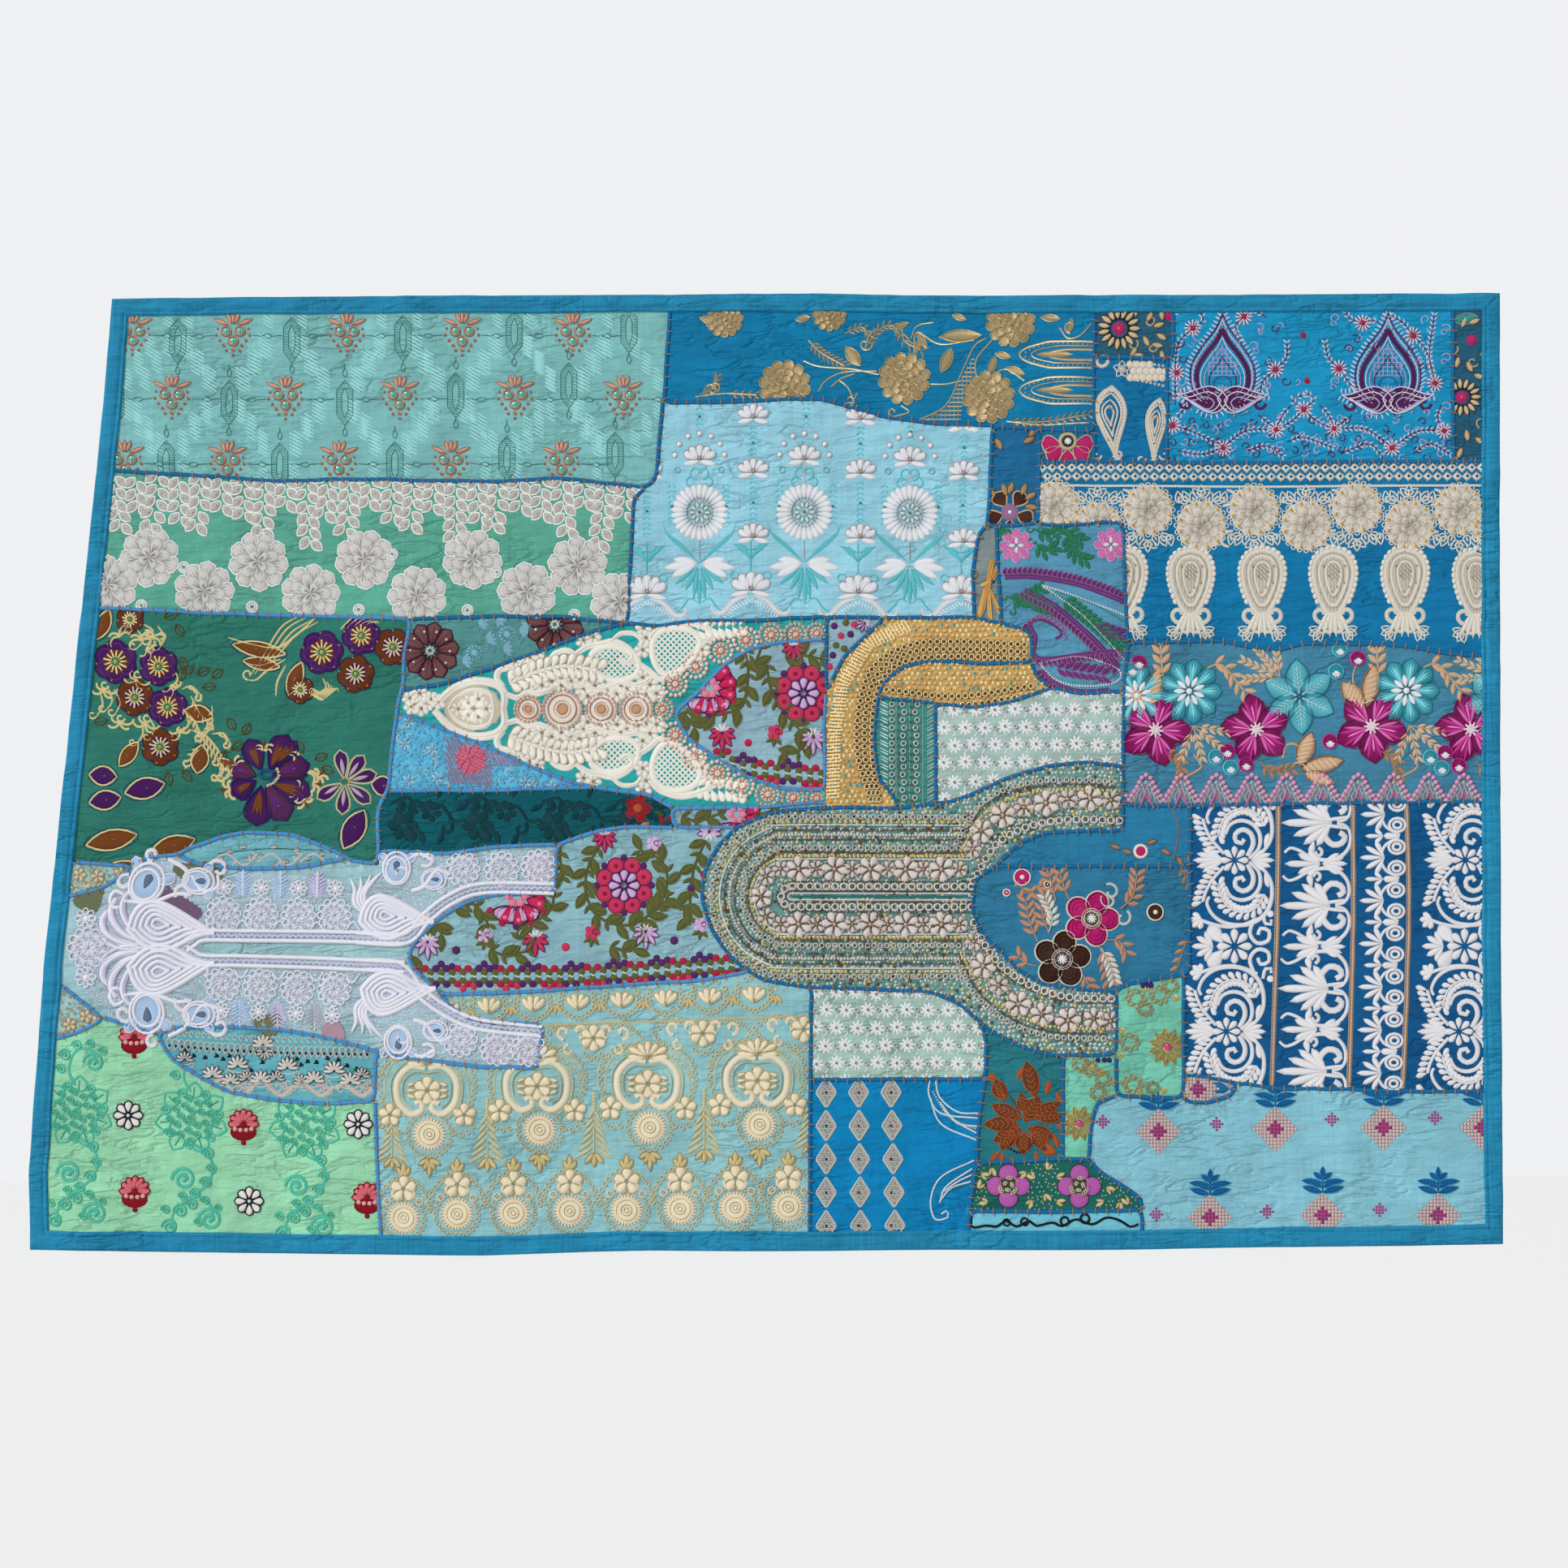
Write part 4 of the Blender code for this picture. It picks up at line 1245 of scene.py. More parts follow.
scrollLensTints = {"vine": (206, 204, 200)}


def sewScrollLens():
    vine = scrollLensTints["vine"]
    for shift in (0, 55, 108):
        thread([
            (262 + shift, 1062), (280 + shift, 1052), (300 + shift, 1066), (318 + shift, 1052)
        ], 3.5, vine, high=0.5)
        curl(292 + shift, 1062, 7, 180, 2.6, vine, side=-1)
        curl(310 + shift, 1050, 6, 0, 2.6, vine)
    for x, y in (
        (284, 1052), (300, 1046), (306, 1062), (322, 1058), (338, 1046), (352, 1064), (366, 1050),
        (380, 1060), (398, 1055), (340, 1068), (412, 1050), (426, 1058), (272, 1060),
    ):
        for lean in (-60, -25, 10, 45):
            edged("leaf", x, y, 6, 3, lean - 90, (225, 228, 228), dark, 0.8, high=0.3)
    thread([(270, 1052), (330, 1046), (400, 1048)], 1, dark, high=0.3)


def wine():
    for k in range(10):
        x, y = turned(7, 0, 36 * k - 80)
        edged(
            "petal", x, y, 29, 19, 36 * k - 80, (104, 62, 70), (70, 20, 34), 2.2, high=0.9,
            tip=(120, 80, 80),
        )
        lay(evenly([turned(9, 0, 36 * k - 80), turned(32, 0, 36 * k - 80)], 8), 0.9, (60, 24, 34), 1.2)
        stamp("sequin", *turned(24, 4, 36 * k - 80), 3.5, tint=(235, 215, 210), kind="metal", base=0.9)
    for k in range(7):
        stamp("sequin", *turned(4, 0, k * 52), 4, tint=silver, kind="metal", high=0.8, base=1.0)


def paleDot():
    stamp("dome", 0, 0, 20, tint=(130, 190, 205))
    ringOf(12, 6, "stitch", 5, 2, tint=(70, 130, 140), base=0.7)


def sewMaroonFlower():
    repeat(wine, [(531, 803), (684, 770, 20)])
    for x, y, way in (
        (590, 768, 0), (612, 762, 30), (600, 790, -20), (640, 776, 10), (570, 815, 0), (620, 800, 0),
        (655, 772, 160),
    ):
        for lean in (-40, -14, 14, 40):
            stamp("leaf", x, y, 14, 6, way + lean, 0.5, (130, 180, 200))
        edged("leaf", x + 4, y + 4, 13, 7, way + 90, None, (110, 165, 185), 1)

    repeat(paleDot, [(585, 805), (625, 782)])


# sky medallions
skyMedallionsTints = {"aqua": (96, 196, 206), "deep": (30, 130, 120)}
aqua, deep = skyMedallionsTints.values()


def medallion():
    for count, far, long, wide in ((26, 15, 21, 8.6), (26, 14, 12, 5)):
        ringOf(count, far, "petal", long, wide, tint=white, high=0.7 if far == 15 else 1.0)
    stamp("dome", 0, 0, 30, 34, tint=(178, 208, 214), high=0.5)
    lay(around(0, 0, 32, 36, 20), 1.1, (168, 152, 142), 1.0)
    for k in range(10):
        edged("leaf", *turned(5, 0, 36 * k), 9, 5.4, 36 * k, white, teal, 1.1, high=0.8)
    stamp("ring", 0, 0, 10, tint=silver, kind="metal", high=1.3)
    stamp("bead", 0, 0, 5, tint=deep, kind="bead", high=1.8)
    lay([(0, 34), (0, 58)], 1.6, (170, 170, 160), 0.8)
    for side in (-1, 1):
        thread([(0, 62), (side * 20, 46), (side * 38, 30), (side * 46, 12)], 2.6, aqua, high=0.7, taper=0.8)
        thread(
            [(side * 6, 56), (side * 26, 38), (side * 44, 22)], 4.5, (110, 205, 212), high=0.5, taper=0.9
        )
        for lean, long in ((8, 42), (28, 36), (-10, 30)):
            stamp("leaf", side * 3, 63, long, 13, lean if side > 0 else 180 - lean, 0.8, white)
        for x, way in ((4, 62), (9, 40), (3, 82)):
            stamp(
                "leaf", side * x * 0.6, 68, 40 if way == 82 else 32, 7, way if side > 0 else 180 - way, 0.6,
                aqua,
            )
        curl(side * 10, -44, 8, 0 if side > 0 else 180, 1.8, aqua, side=side, turns=0.7)
        curl(side * 4, -40, 9, 0 if side > 0 else 180, 1.8, aqua, side=-side, turns=0.8)
        stamp("hoop", side * 27, -52, 8, tint=aqua)
    lay([(0, -34), (0, -58)], 1.8, silver, 0.7)
    lotus()
    for k in range(7):
        x, y = turned(31, 0, -90 + (k - 3) * 27)
        stamp("dome", x, y - 66, 6.5, tint=white, high=1.1)
        stamp("hoop", x, y - 66, 8, tint=silver)


def lotus(y=-68, size=1.0):
    for lean in (-62, -32, 0, 32, 62):
        edged(
            "petal", lean * 0.05, y + 3, 19 * size, 11 * size, -90 + lean, white, (196, 190, 196), 0.9,
            high=0.9,
        )
    for side in (-1, 1):
        stamp("leaf", 0, y + 5, 21 * size, 8, 12 if side > 0 else 168, 0.8, white)
    stamp("ring", 0, y + 1, 6, tint=copper, kind="metal", high=1.4)


def bottomLotus():
    lotus(0, 1.25)
    for side in (-1, 1):
        thread(
            [(side * 4, 10), (side * 20, 16), (side * 34, 30), (side * 46, 30), (side * 48, 22)], 8, white,
            high=0.9, taper=0.75,
        )
        chain(
            [(side * 2, 16), (side * 18, 24), (side * 32, 36)], 4, "stitch", 6, 2, lean=70, tint=white,
            high=0.8,
        )
        curl(side * 14, -14, 7, -90, 1.5, aqua, side=side)
        for way, y in ((38, -22), (60, -18), (20, -30)):
            stamp("leaf", 0, y - 16, 24, 5, -way if side > 0 else 180 + way, 0.6, aqua)
    lay([(0, -58), (0, -14)], 1.8, aqua)


def sewSkyMedallions():
    repeat(medallion, [(862, 632), (991, 632), (1121, 633)])
    for x, lows in (
        (797, (512, 580)), (928, (513, 580, 660)), (1060, (514, 580, 660)), (1187, (522, 582, 665))
    ):
        for low in lows:
            repeat(lambda: lotus(0, 0.95), [(x, low)])
    for x, top, low in (
        (862, 498, 530), (993, 498, 530), (1122, 520, 545), (928, 528, 566), (1060, 528, 566),
        (928, 596, 645), (1060, 596, 645), (1188, 538, 566), (1186, 598, 648), (828, 600, 650),
        (895, 600, 650), (960, 600, 650), (1026, 600, 650), (1090, 600, 650), (1156, 600, 650),
        (797, 600, 660),
    ):
        for y in np.arange(top, low, 6.5):
            for side in (-1, 1):
                stamp("stitch", x + side * 2.6, y, 5.5, 2.6, side * 38, 0.6, aqua)
        stamp("bead", x, (top + low) / 2, 4, tint=deep, kind="bead", high=1.4)

    repeat(bottomLotus, [(797, 728), (925, 725), (1057, 728), (1184, 728)])
    for x in (862, 992, 1121):
        for side in (-1, 1):
            thread([
                (x, 745), (x + side * 12, 738), (x + side * 22, 750), (x + side * 34, 758)
            ], 2.4, aqua, taper=0.7)
        stamp("leaf", x, 715, 30, 6, 90, 0.6, aqua)


# gold and sunflowers
goldRosesTints = {"zari": (176, 154, 112), "edge": (204, 184, 138)}
zari, edge = goldRosesTints.values()


def goldRose():
    ruffledRose(
        34, zari, edge, ((12, 0.74, 0.44), (9, 0.5, 0.38), (6, 0.28, 0.32), (2, 0.06, 0.24)), "metal", 1.1
    )


metalStroke = {"kind": "metal", "high": 0.9}


def goldRoseHeads():
    repeat(goldRose, [
        (893, 394, 0, 0.72), (1022, 388, 30, 0.66), (967, 477, 10), (1114, 467, 50), (1245, 398, 20, 0.95),
        (1218, 490, 80),
    ])


def goldStems():
    for line in (
        ((990, 446), (1010, 453), (1050, 456), (1082, 462)),
        ((1008, 484), (1018, 470), (1040, 460), (1080, 458)), ((1024, 478), (1036, 468), (1052, 462)),
        ((1050, 490), (1044, 478), (1034, 470)), ((1146, 474), (1164, 474), (1184, 470)),
        ((1130, 519), (1165, 500), (1182, 466), (1200, 428), (1214, 418)),
        ((1205, 474), (1202, 446), (1222, 420)), ((1126, 436), (1130, 410), (1158, 425), (1200, 420)),
        ((1150, 398), (1130, 402), (1122, 418)), ((1066, 432), (1070, 415), (1082, 405)),
        ((1224, 462), (1240, 456), (1262, 470)), ((1240, 520), (1280, 524), (1342, 522)),
        ((1110, 500), (1120, 508), (1100, 514)), ((1305, 405), (1315, 418), (1330, 415), (1344, 400)),
        ((1060, 516), (1050, 500), (1056, 486)), ((857, 490), (895, 486), (932, 488)),
    ):
        thread(line, 2.0, edge, **metalStroke)


def goldLeaves():
    for x, y, long, wide, way in (
        (1060, 452, 30, 15, -128), (1209, 414, 52, 15, 178), (1172, 430, 32, 14, 112),
        (1226, 436, 20, 8, 15), (1226, 440, 22, 9, 108), (1262, 462, 24, 9, 200), (1120, 398, 20, 6, 160),
        (1128, 436, 24, 7, -70), (1142, 430, 24, 7, -120), (862, 392, 22, 8, 20), (870, 402, 22, 8, -10),
        (998, 392, 18, 8, 170), (1282, 392, 24, 9, 5), (1190, 395, 18, 7, 200), (1320, 394, 18, 6, 100),
    ):
        edged("leaf", x, y, long, wide, way, zari, edge, 1.3, kind="metal", edgeKind="metal", high=0.8)
    for line, long, step in (
        (((996, 420), (1012, 436), (1040, 452)), 11, 6),
        (((1066, 430), (1084, 406), (1100, 402), (1108, 412)), 10, 7),
        (((1241, 521), (1290, 520), (1340, 512)), 9, 8), (((1040, 412), (1062, 404), (1070, 414)), 9, 6),
        (((862, 488), (880, 478), (884, 466)), 8, 6), (((894, 486), (930, 488)), 8, 9),
        (((1112, 402), (1114, 420), (1134, 432)), 12, 8),
    ):
        sprig(line, 1.4, edge, step, long, 3.4, zari, kind="metal")


def goldCurls():
    for x, y, size, way, side in (
        (870, 478, 8, -60, 1), (884, 484, 7, -30, -1), (1056, 500, 8, 90, 1), (1100, 514, 6, 180, 1),
        (1318, 412, 8, 180, 1), (1040, 498, 8, 60, -1), (1075, 425, 9, 90, 1),
    ):
        curl(x, y, size, way, 2.2, edge, side, **metalStroke)


def goldWedge():
    wedge = [(1134, 519), (1168, 500), (1184, 466), (1200, 436), (1204, 470), (1188, 480), (1184, 519)]
    for way in (0, 90):
        hatch(wedge, 5.2, way, 1.4, zari, kind="metal", high=0.5)


def goldLenses():  # they run in from the right edge
    for middle in (438, 482):
        for wide, tall, thick in ((96, 38, 2.6), (80, 25, 1.6), (58, 15, 3.4)):
            share = np.linspace(-1, 1, 15)
            rim = np.stack([
                1256 + (96 - wide) * 0.9 + wide * (1 - np.sqrt(1 - share**2)) * 0.9,
                middle + tall / 2 * share,
            ], 1)
            ends = np.array([[1346, middle - tall * 0.42]]), np.array([[1346, middle + tall * 0.42]])
            lay(
                flowing(np.concatenate([ends[0], rim[1:-1], ends[1]]), 3), thick,
                edge if thick < 3 else zari, **metalStroke,
            )
        chain(
            [
                (1346, middle - 12), (1290, middle - 13), (1262, middle), (1290, middle + 13),
                (1346, middle + 12),
            ],
            6, "bead", 3, tint=edge, kind="metal", high=1.0,
        )
        stamp("oval", 1276, middle, 46, 9, 0, 0.9, zari, kind="metal")


def sewGoldRoses():
    goldRoseHeads()
    goldStems()
    goldLeaves()
    goldCurls()
    goldWedge()
    goldLenses()


def sunflowerHead(size=26):
    for k in range(15):
        edged(
            "leaf", *turned(size * 0.42, 0, 24 * k), size * 0.62, size * 0.27, 24 * k, (214, 190, 148),
            (70, 60, 60), 0.9, high=1.0,
        )
    chain(around(0, 0, size * 0.92), 2.4, "bead", 2.6, tint=(40, 36, 48), kind="bead", high=1.6, base=0.3)
    ringOf(12, size * 0.14, "stitch", size * 0.26, 3, tint=magenta, high=1.2)
    stamp("dome", 0, 0, size * 0.62, high=1.2, tint=magenta)
    stamp("bead", 0, 0, size * 0.2, high=2.1, tint=gold, kind="bead")


def beigeLeaves(*places, tint=(205, 180, 135), long=15, wide=7):
    for x, y, way in places:
        edged("leaf", x, y, long, wide, way, tint, (120, 100, 75), 0.8, high=0.8)


def sewSunflower():
    repeat(sunflowerHead, [(1378, 406)])
    beigeLeaves(
        (1412, 398, -60), (1420, 404, -20), (1424, 412, 30), (1408, 415, 60), (1418, 425, 10),
        (1430, 432, 80), (1400, 428, 120), (1410, 440, 190), (1398, 392, -80), (1432, 396, -100),
        (1362, 438, 150),
    )
    for x, y in ((1400, 420), (1424, 424), (1420, 392)):
        curl(x, y, 7, 40, 2.4, (190, 165, 120), high=0.9)
    stamp("dome", 1440, 388, 12, 16, tint=magenta)


def sewSunflowerStrip():
    repeat(sunflowerHead, [(1800, 490, 0, 0.9)])
    stamp("dome", 1812, 420, 13, tint=magenta, high=1.3)
    stamp("dome", 1783, 438, 9, tint=magenta, high=1.2)
    beigeLeaves(
        (1800, 405, -70), (1808, 400, -20), (1796, 440, 100), (1806, 446, 60), (1822, 440, -40),
        (1790, 455, 180), (1815, 462, 20), (1782, 475, 210), (1828, 500, 40), (1790, 522, 120),
        (1805, 530, 80), (1816, 540, 30), (1800, 552, 110), (1830, 552, -30), (1788, 560, 60),
        (1812, 565, 100),
    )
    edged("leaf", 1790, 396, 30, 14, -8, teal, (180, 160, 120), 1.2)
    for x, y, way in ((1795, 428, 60), (1820, 450, 120), (1785, 510, 60), (1822, 528, 200), (1800, 575, 30)):
        curl(x, y, 7, way, 2.2, (190, 165, 120), high=0.9)


def ivoryBoteh(long=78, wide=52, tint=cream):
    for size, thick, high in ((1.0, 3.4, 1.0), (0.74, 2.6, 1.1), (0.5, 2.4, 1.2), (0.28, 3, 1.2)):
        lay(boteh(long * (1 - size) * 0.62, 0, long * size, wide * size), thick, tint, high)
    lay(boteh(4, 0, long * 0.93, wide * 0.92), wide * 0.12, tint, 0.6)
    for x, y, way in along(boteh(0, 0, long, wide), 4.4):
        stamp("stitch", *beyond(x, y, 0, way, -2), 6.5, 3, way - 90, 0.9, tint)
    stamp("bead", long * 0.7, 0, 4, tint=gold, kind="bead", high=1.8)


ivoryMangoTints = {"patchTint": (226, 216, 198)}


def sewIvoryMango():
    patchTint = ivoryMangoTints["patchTint"]
    repeat(ivoryBoteh, at(1360, 566, -84), long=90, wide=38, tint=patchTint)
    repeat(ivoryBoteh, at(1412, 570, -78), long=80, wide=24, tint=patchTint)
    for x, y in ((1357, 562), (1372, 560), (1412, 566), (1428, 562)):
        curl(x, y, 6, 90, 3, patchTint, side=1 if x in (1357, 1412) else -1, high=0.9)
    curl(1365, 445, 9, 90, 4.5, patchTint, side=1, high=1.0)
    for k in range(5):
        edged("drop", 1382, 456, 11, 8, 72 * k - 90, None, patchTint, 1.8, high=0.9)
    for x, y in spots([(1392, 446), (1438, 452), (1438, 474), (1392, 466)], 8, 8):
        stamp("dome", x, y, 10, tint=patchTint)
    chain([(1392, 446), (1416, 449), (1438, 452)], 5, "bead", 4, tint=patchTint)
    chain([(1392, 468), (1416, 472), (1438, 477)], 5, "bead", 4, tint=patchTint)
    for x, y in ((1358, 496), (1362, 520), (1364, 543), (1370, 505)):
        stamp("bead", x, y, 4, tint=gold, kind="bead", high=1.9)


def sewBrownFlower():
    petals = {"tint": (84, 46, 34), "tip": (60, 30, 24), "heart": (150, 110, 150), "edge": (205, 180, 140)}
    repeat(blossom, at(1244, 632, 36), size=30, count=5, broad=0.85, core=0.5, **petals)
    stamp("bead", 1244, 632, 6, tint=white, kind="bead", high=2.2)
    beigeLeaves(
        (1240, 612, -110), (1242, 610, -70), (1258, 612, -70), (1262, 616, -30), (1262, 624, 10),
        (1226, 612, -130), (1260, 547, -30), (1268, 540, -60), (1226, 540, 60), tint=(176, 142, 96),
        long=17, wide=8,
    )


def sewMagentaFlower():
    for way in (40, 90, 140, 180, 0):
        c, s = turned(1, 0, way)
        edged("petal", 1315 + 8 * c, 548 + 6 * s, 24, 22, way, magenta, (225, 195, 165), 1.6, high=0.9)
    stamp("dome", 1315, 545, 20, tint=(46, 44, 44), high=1.2)
    stamp("ring", 1315, 545, 24, tint=(190, 175, 140), high=1.5)
    repeat(lambda: ringOf(8, 2, "stitch", 5, 2, tint=white, base=1.2), at(1315, 545))
    beigeLeaves((1285, 560, 200), (1280, 556, 90), (1284, 566, 120), tint=(176, 142, 96), long=12, wide=7)


purplePaisleyTints = {
    "rose": (214, 110, 175),
    "green": (40, 120, 85),
    "purple": (108, 52, 120),
    "loop": (186, 112, 176),
}
rose, green, purple, loop = purplePaisleyTints.values()


def pinkRose():
    ruffledRose(22, rose, (235, 170, 215), ((8, 0.68, 0.5), (6, 0.35, 0.42)), "thread", 1.4)
    ringOf(4, 1, "leaf", 9, 5, tint=white, base=1.2)


def loopedBand(points, side, wide=7):
    line = flowing(points)
    lay(line, wide, purple, 0.9, rows=4)
    lay(line, 1.4, loop, 1.2)
    for x, y, way in along(line, 6):
        root = beyond(*beyond(x, y, 0, way, side * wide), -4, way + side * 70)
        edged("drop", *root, 9.5, 6.5, way + side * 70, purple, loop, 1.3, high=1.1)


def sewPurplePaisley():
    repeat(pinkRose, [(1252, 673), (1368, 672)])
    for line in (
        ((1273, 652), (1290, 660), (1310, 652), (1330, 665)), ((1275, 668), (1284, 680), (1298, 676)),
        ((1312, 655), (1322, 682), (1336, 690)), ((1226, 660), (1222, 655), (1236, 652)),
        ((1240, 735), (1256, 740), (1280, 728)), ((1248, 750), (1262, 742), (1290, 750)),
    ):
        sprig(line, 2.6, green, 8, 14, 7, high=0.8)
        for k, (x, y, way) in enumerate(along(flowing(line), 13)):
            curl(x, y, 5, way + 50 * (-1) ** k, 2.4, green, (-1) ** k, high=0.8)

    loopedBand(((1238, 712), (1275, 712), (1330, 722), (1384, 742)), -1)
    loopedBand(((1262, 728), (1300, 748), (1340, 782), (1378, 822)), 1)
    loopedBand(((1268, 770), (1276, 786), (1274, 806), (1290, 812), (1340, 806), (1380, 802)), 1, 5)
    loopedBand(((1284, 826), (1300, 842), (1330, 852), (1366, 850)), 1, 5)
    for line in (
        ((1284, 722), (1320, 734), (1384, 758)), ((1284, 723), (1330, 756), (1384, 812)),
        ((1280, 818), (1330, 810), (1378, 826), (1372, 842), (1330, 846), (1300, 838), (1280, 818)),
    ):
        chain(line, 3.3, "bead", 3.2, tint=white, kind="bead", high=1.3)
    thread([(1296, 732), (1330, 750), (1384, 796)], 3.4, (60, 150, 150), high=0.6)
    thread([(1300, 730), (1340, 742), (1384, 766)], 3.0, (60, 150, 150), high=0.6)
    sprig([(1305, 736), (1340, 762), (1380, 796)], 2, green, 8, 15, 7, high=0.9)
    sprig([(1345, 770), (1365, 778), (1384, 784)], 2, purple, 8, 14, 7, high=0.9)
    lay(around(1328, 828, 84, 24, 20, 3), 2.4, (80, 160, 170), 0.6)
    for far in range(7):
        edged("leaf", 1302 + far * 9, 824 + far * 1.4, 17, 7, -38, purple, loop, 1.0, high=0.9)
        edged("leaf", 1302 + far * 9, 826 + far * 1.4, 15, 6, 34, purple, loop, 1.0, high=0.9)
    thread([(1264, 772), (1280, 764), (1300, 772), (1308, 782), (1300, 788)], 4, purple, high=0.9)
    chain([(1268, 768), (1284, 760), (1304, 770), (1312, 784)], 6.5, "ring", 7.5, tint=loop, high=1.0)


orangeTasselTints = {"amber": (222, 150, 50)}


def sewOrangeTassel():
    amber = orangeTasselTints["amber"]
    for line in (
        ((1232, 692), (1224, 706), (1215, 722), (1206, 757)), ((1222, 690), (1217, 722), (1220, 768)),
        ((1216, 722), (1230, 752), (1236, 768)), ((1214, 724), (1210, 750), (1200, 768)),
        ((1230, 700), (1220, 716), (1208, 722)),
    ):
        thread(line, 4.6, amber, high=1.3, tip=(236, 190, 110))
        thread(np.array(line) + (2.5, 1), 1.6, (236, 200, 140), high=1.6)
    for x, y in (
        (1196, 690), (1200, 700), (1192, 706), (1205, 708), (1198, 716), (1206, 660), (1212, 664),
        (1202, 668),
    ):
        beigeLeaves((x, y, x * 7 % 360), tint=(170, 150, 115), long=12, wide=6)
    stamp("dome", 1222, 716, 9, 5, 30, 1.2, (40, 40, 70))


# the right side
plumOgeesTints = {"lilac": (176, 172, 214), "plumThread": (88, 26, 84), "ice": (222, 220, 240)}
lilac, plumThread, ice = plumOgeesTints.values()


def starFlower():
    ringOf(12, 3, "leaf", 8.5, 3.0, tint=ice, high=0.8)
    ringOf(12, 6, "stitch", 7, 1.6, start=-75, tint=plumThread, high=0.6)
    stamp("dome", 0, 0, 7.5, tint=(170, 26, 66), high=1.3)


def ogee():
    rim = np.array([(0, -98), (9, -80), (26, -58), (39, -34), (38, -8), (24, 8)])
    for side in (-1, 1):
        for size, wide, tint in (
            (1, 2.0, plumThread), (0.92, 1.3, ice), (0.8, 6.4, plumThread), (0.68, 1.3, ice),
            (0.56, 1.4, lilac), (0.42, 1.8, plumThread),
        ):
            thread(rim * (side * size, size) + (0, -10 * (1 - size)), wide, tint, high=0.8)
        for x, y, way in along(flowing(rim * (side, 1)), 5.4):
            stamp("stitch", x + side * 3.5, y, 7, 2.0, -90 + side * 58, 0.9, ice)
            stamp("stitch", x - side * 3.4, y + 2, 5, 1.6, -90 + side * 50, 0.7, lilac)
        line = boteh(side * 55, 14, 62, 33, 180 + 8 if side > 0 else -8, side)
        hatch(line, 3, 12, 3.6, plumThread, high=0.6)
        for size, wide, tint in ((1, 1.6, ice), (0.72, 1.5, ice), (0.46, 1.8, lilac)):
            lay((line - (side * 24, 15)) * size + (side * 24, 15), wide, tint, 0.7, base=0.5)
        curl(side * 53, 12, 8, 90, 4.4, plumThread, side, high=0.9)
        for x, y, way in along(line, 5.6):
            if y > 16 or side * x > 40:
                stamp("stitch", *beyond(x, y, 0, way, -4.6 * side), 6, 2, way + 90, 0.9, ice)
    for way in (0, 90):
        hatch([(-17, -40), (0, -64), (17, -40), (19, -22), (-19, -22)], 5.5, way, 1.3, lilac, high=0.6)
    lay(around(0, -12, 22, 20, 14), 2, (40, 90, 150), 0.7)
    ringOf(7, 3, "leaf", 9, 3.4, spread=150, tint=lilac, high=0.8)
    for x, y in (
        (-12, -52), (18, -36), (0, -4), (-19, 6), (15, 26), (-22, -20), (4, -80), (30, 22), (-38, 20)
    ):
        stamp("bead", x, y, 3.6, tint=gold, kind="bead", high=1.8)


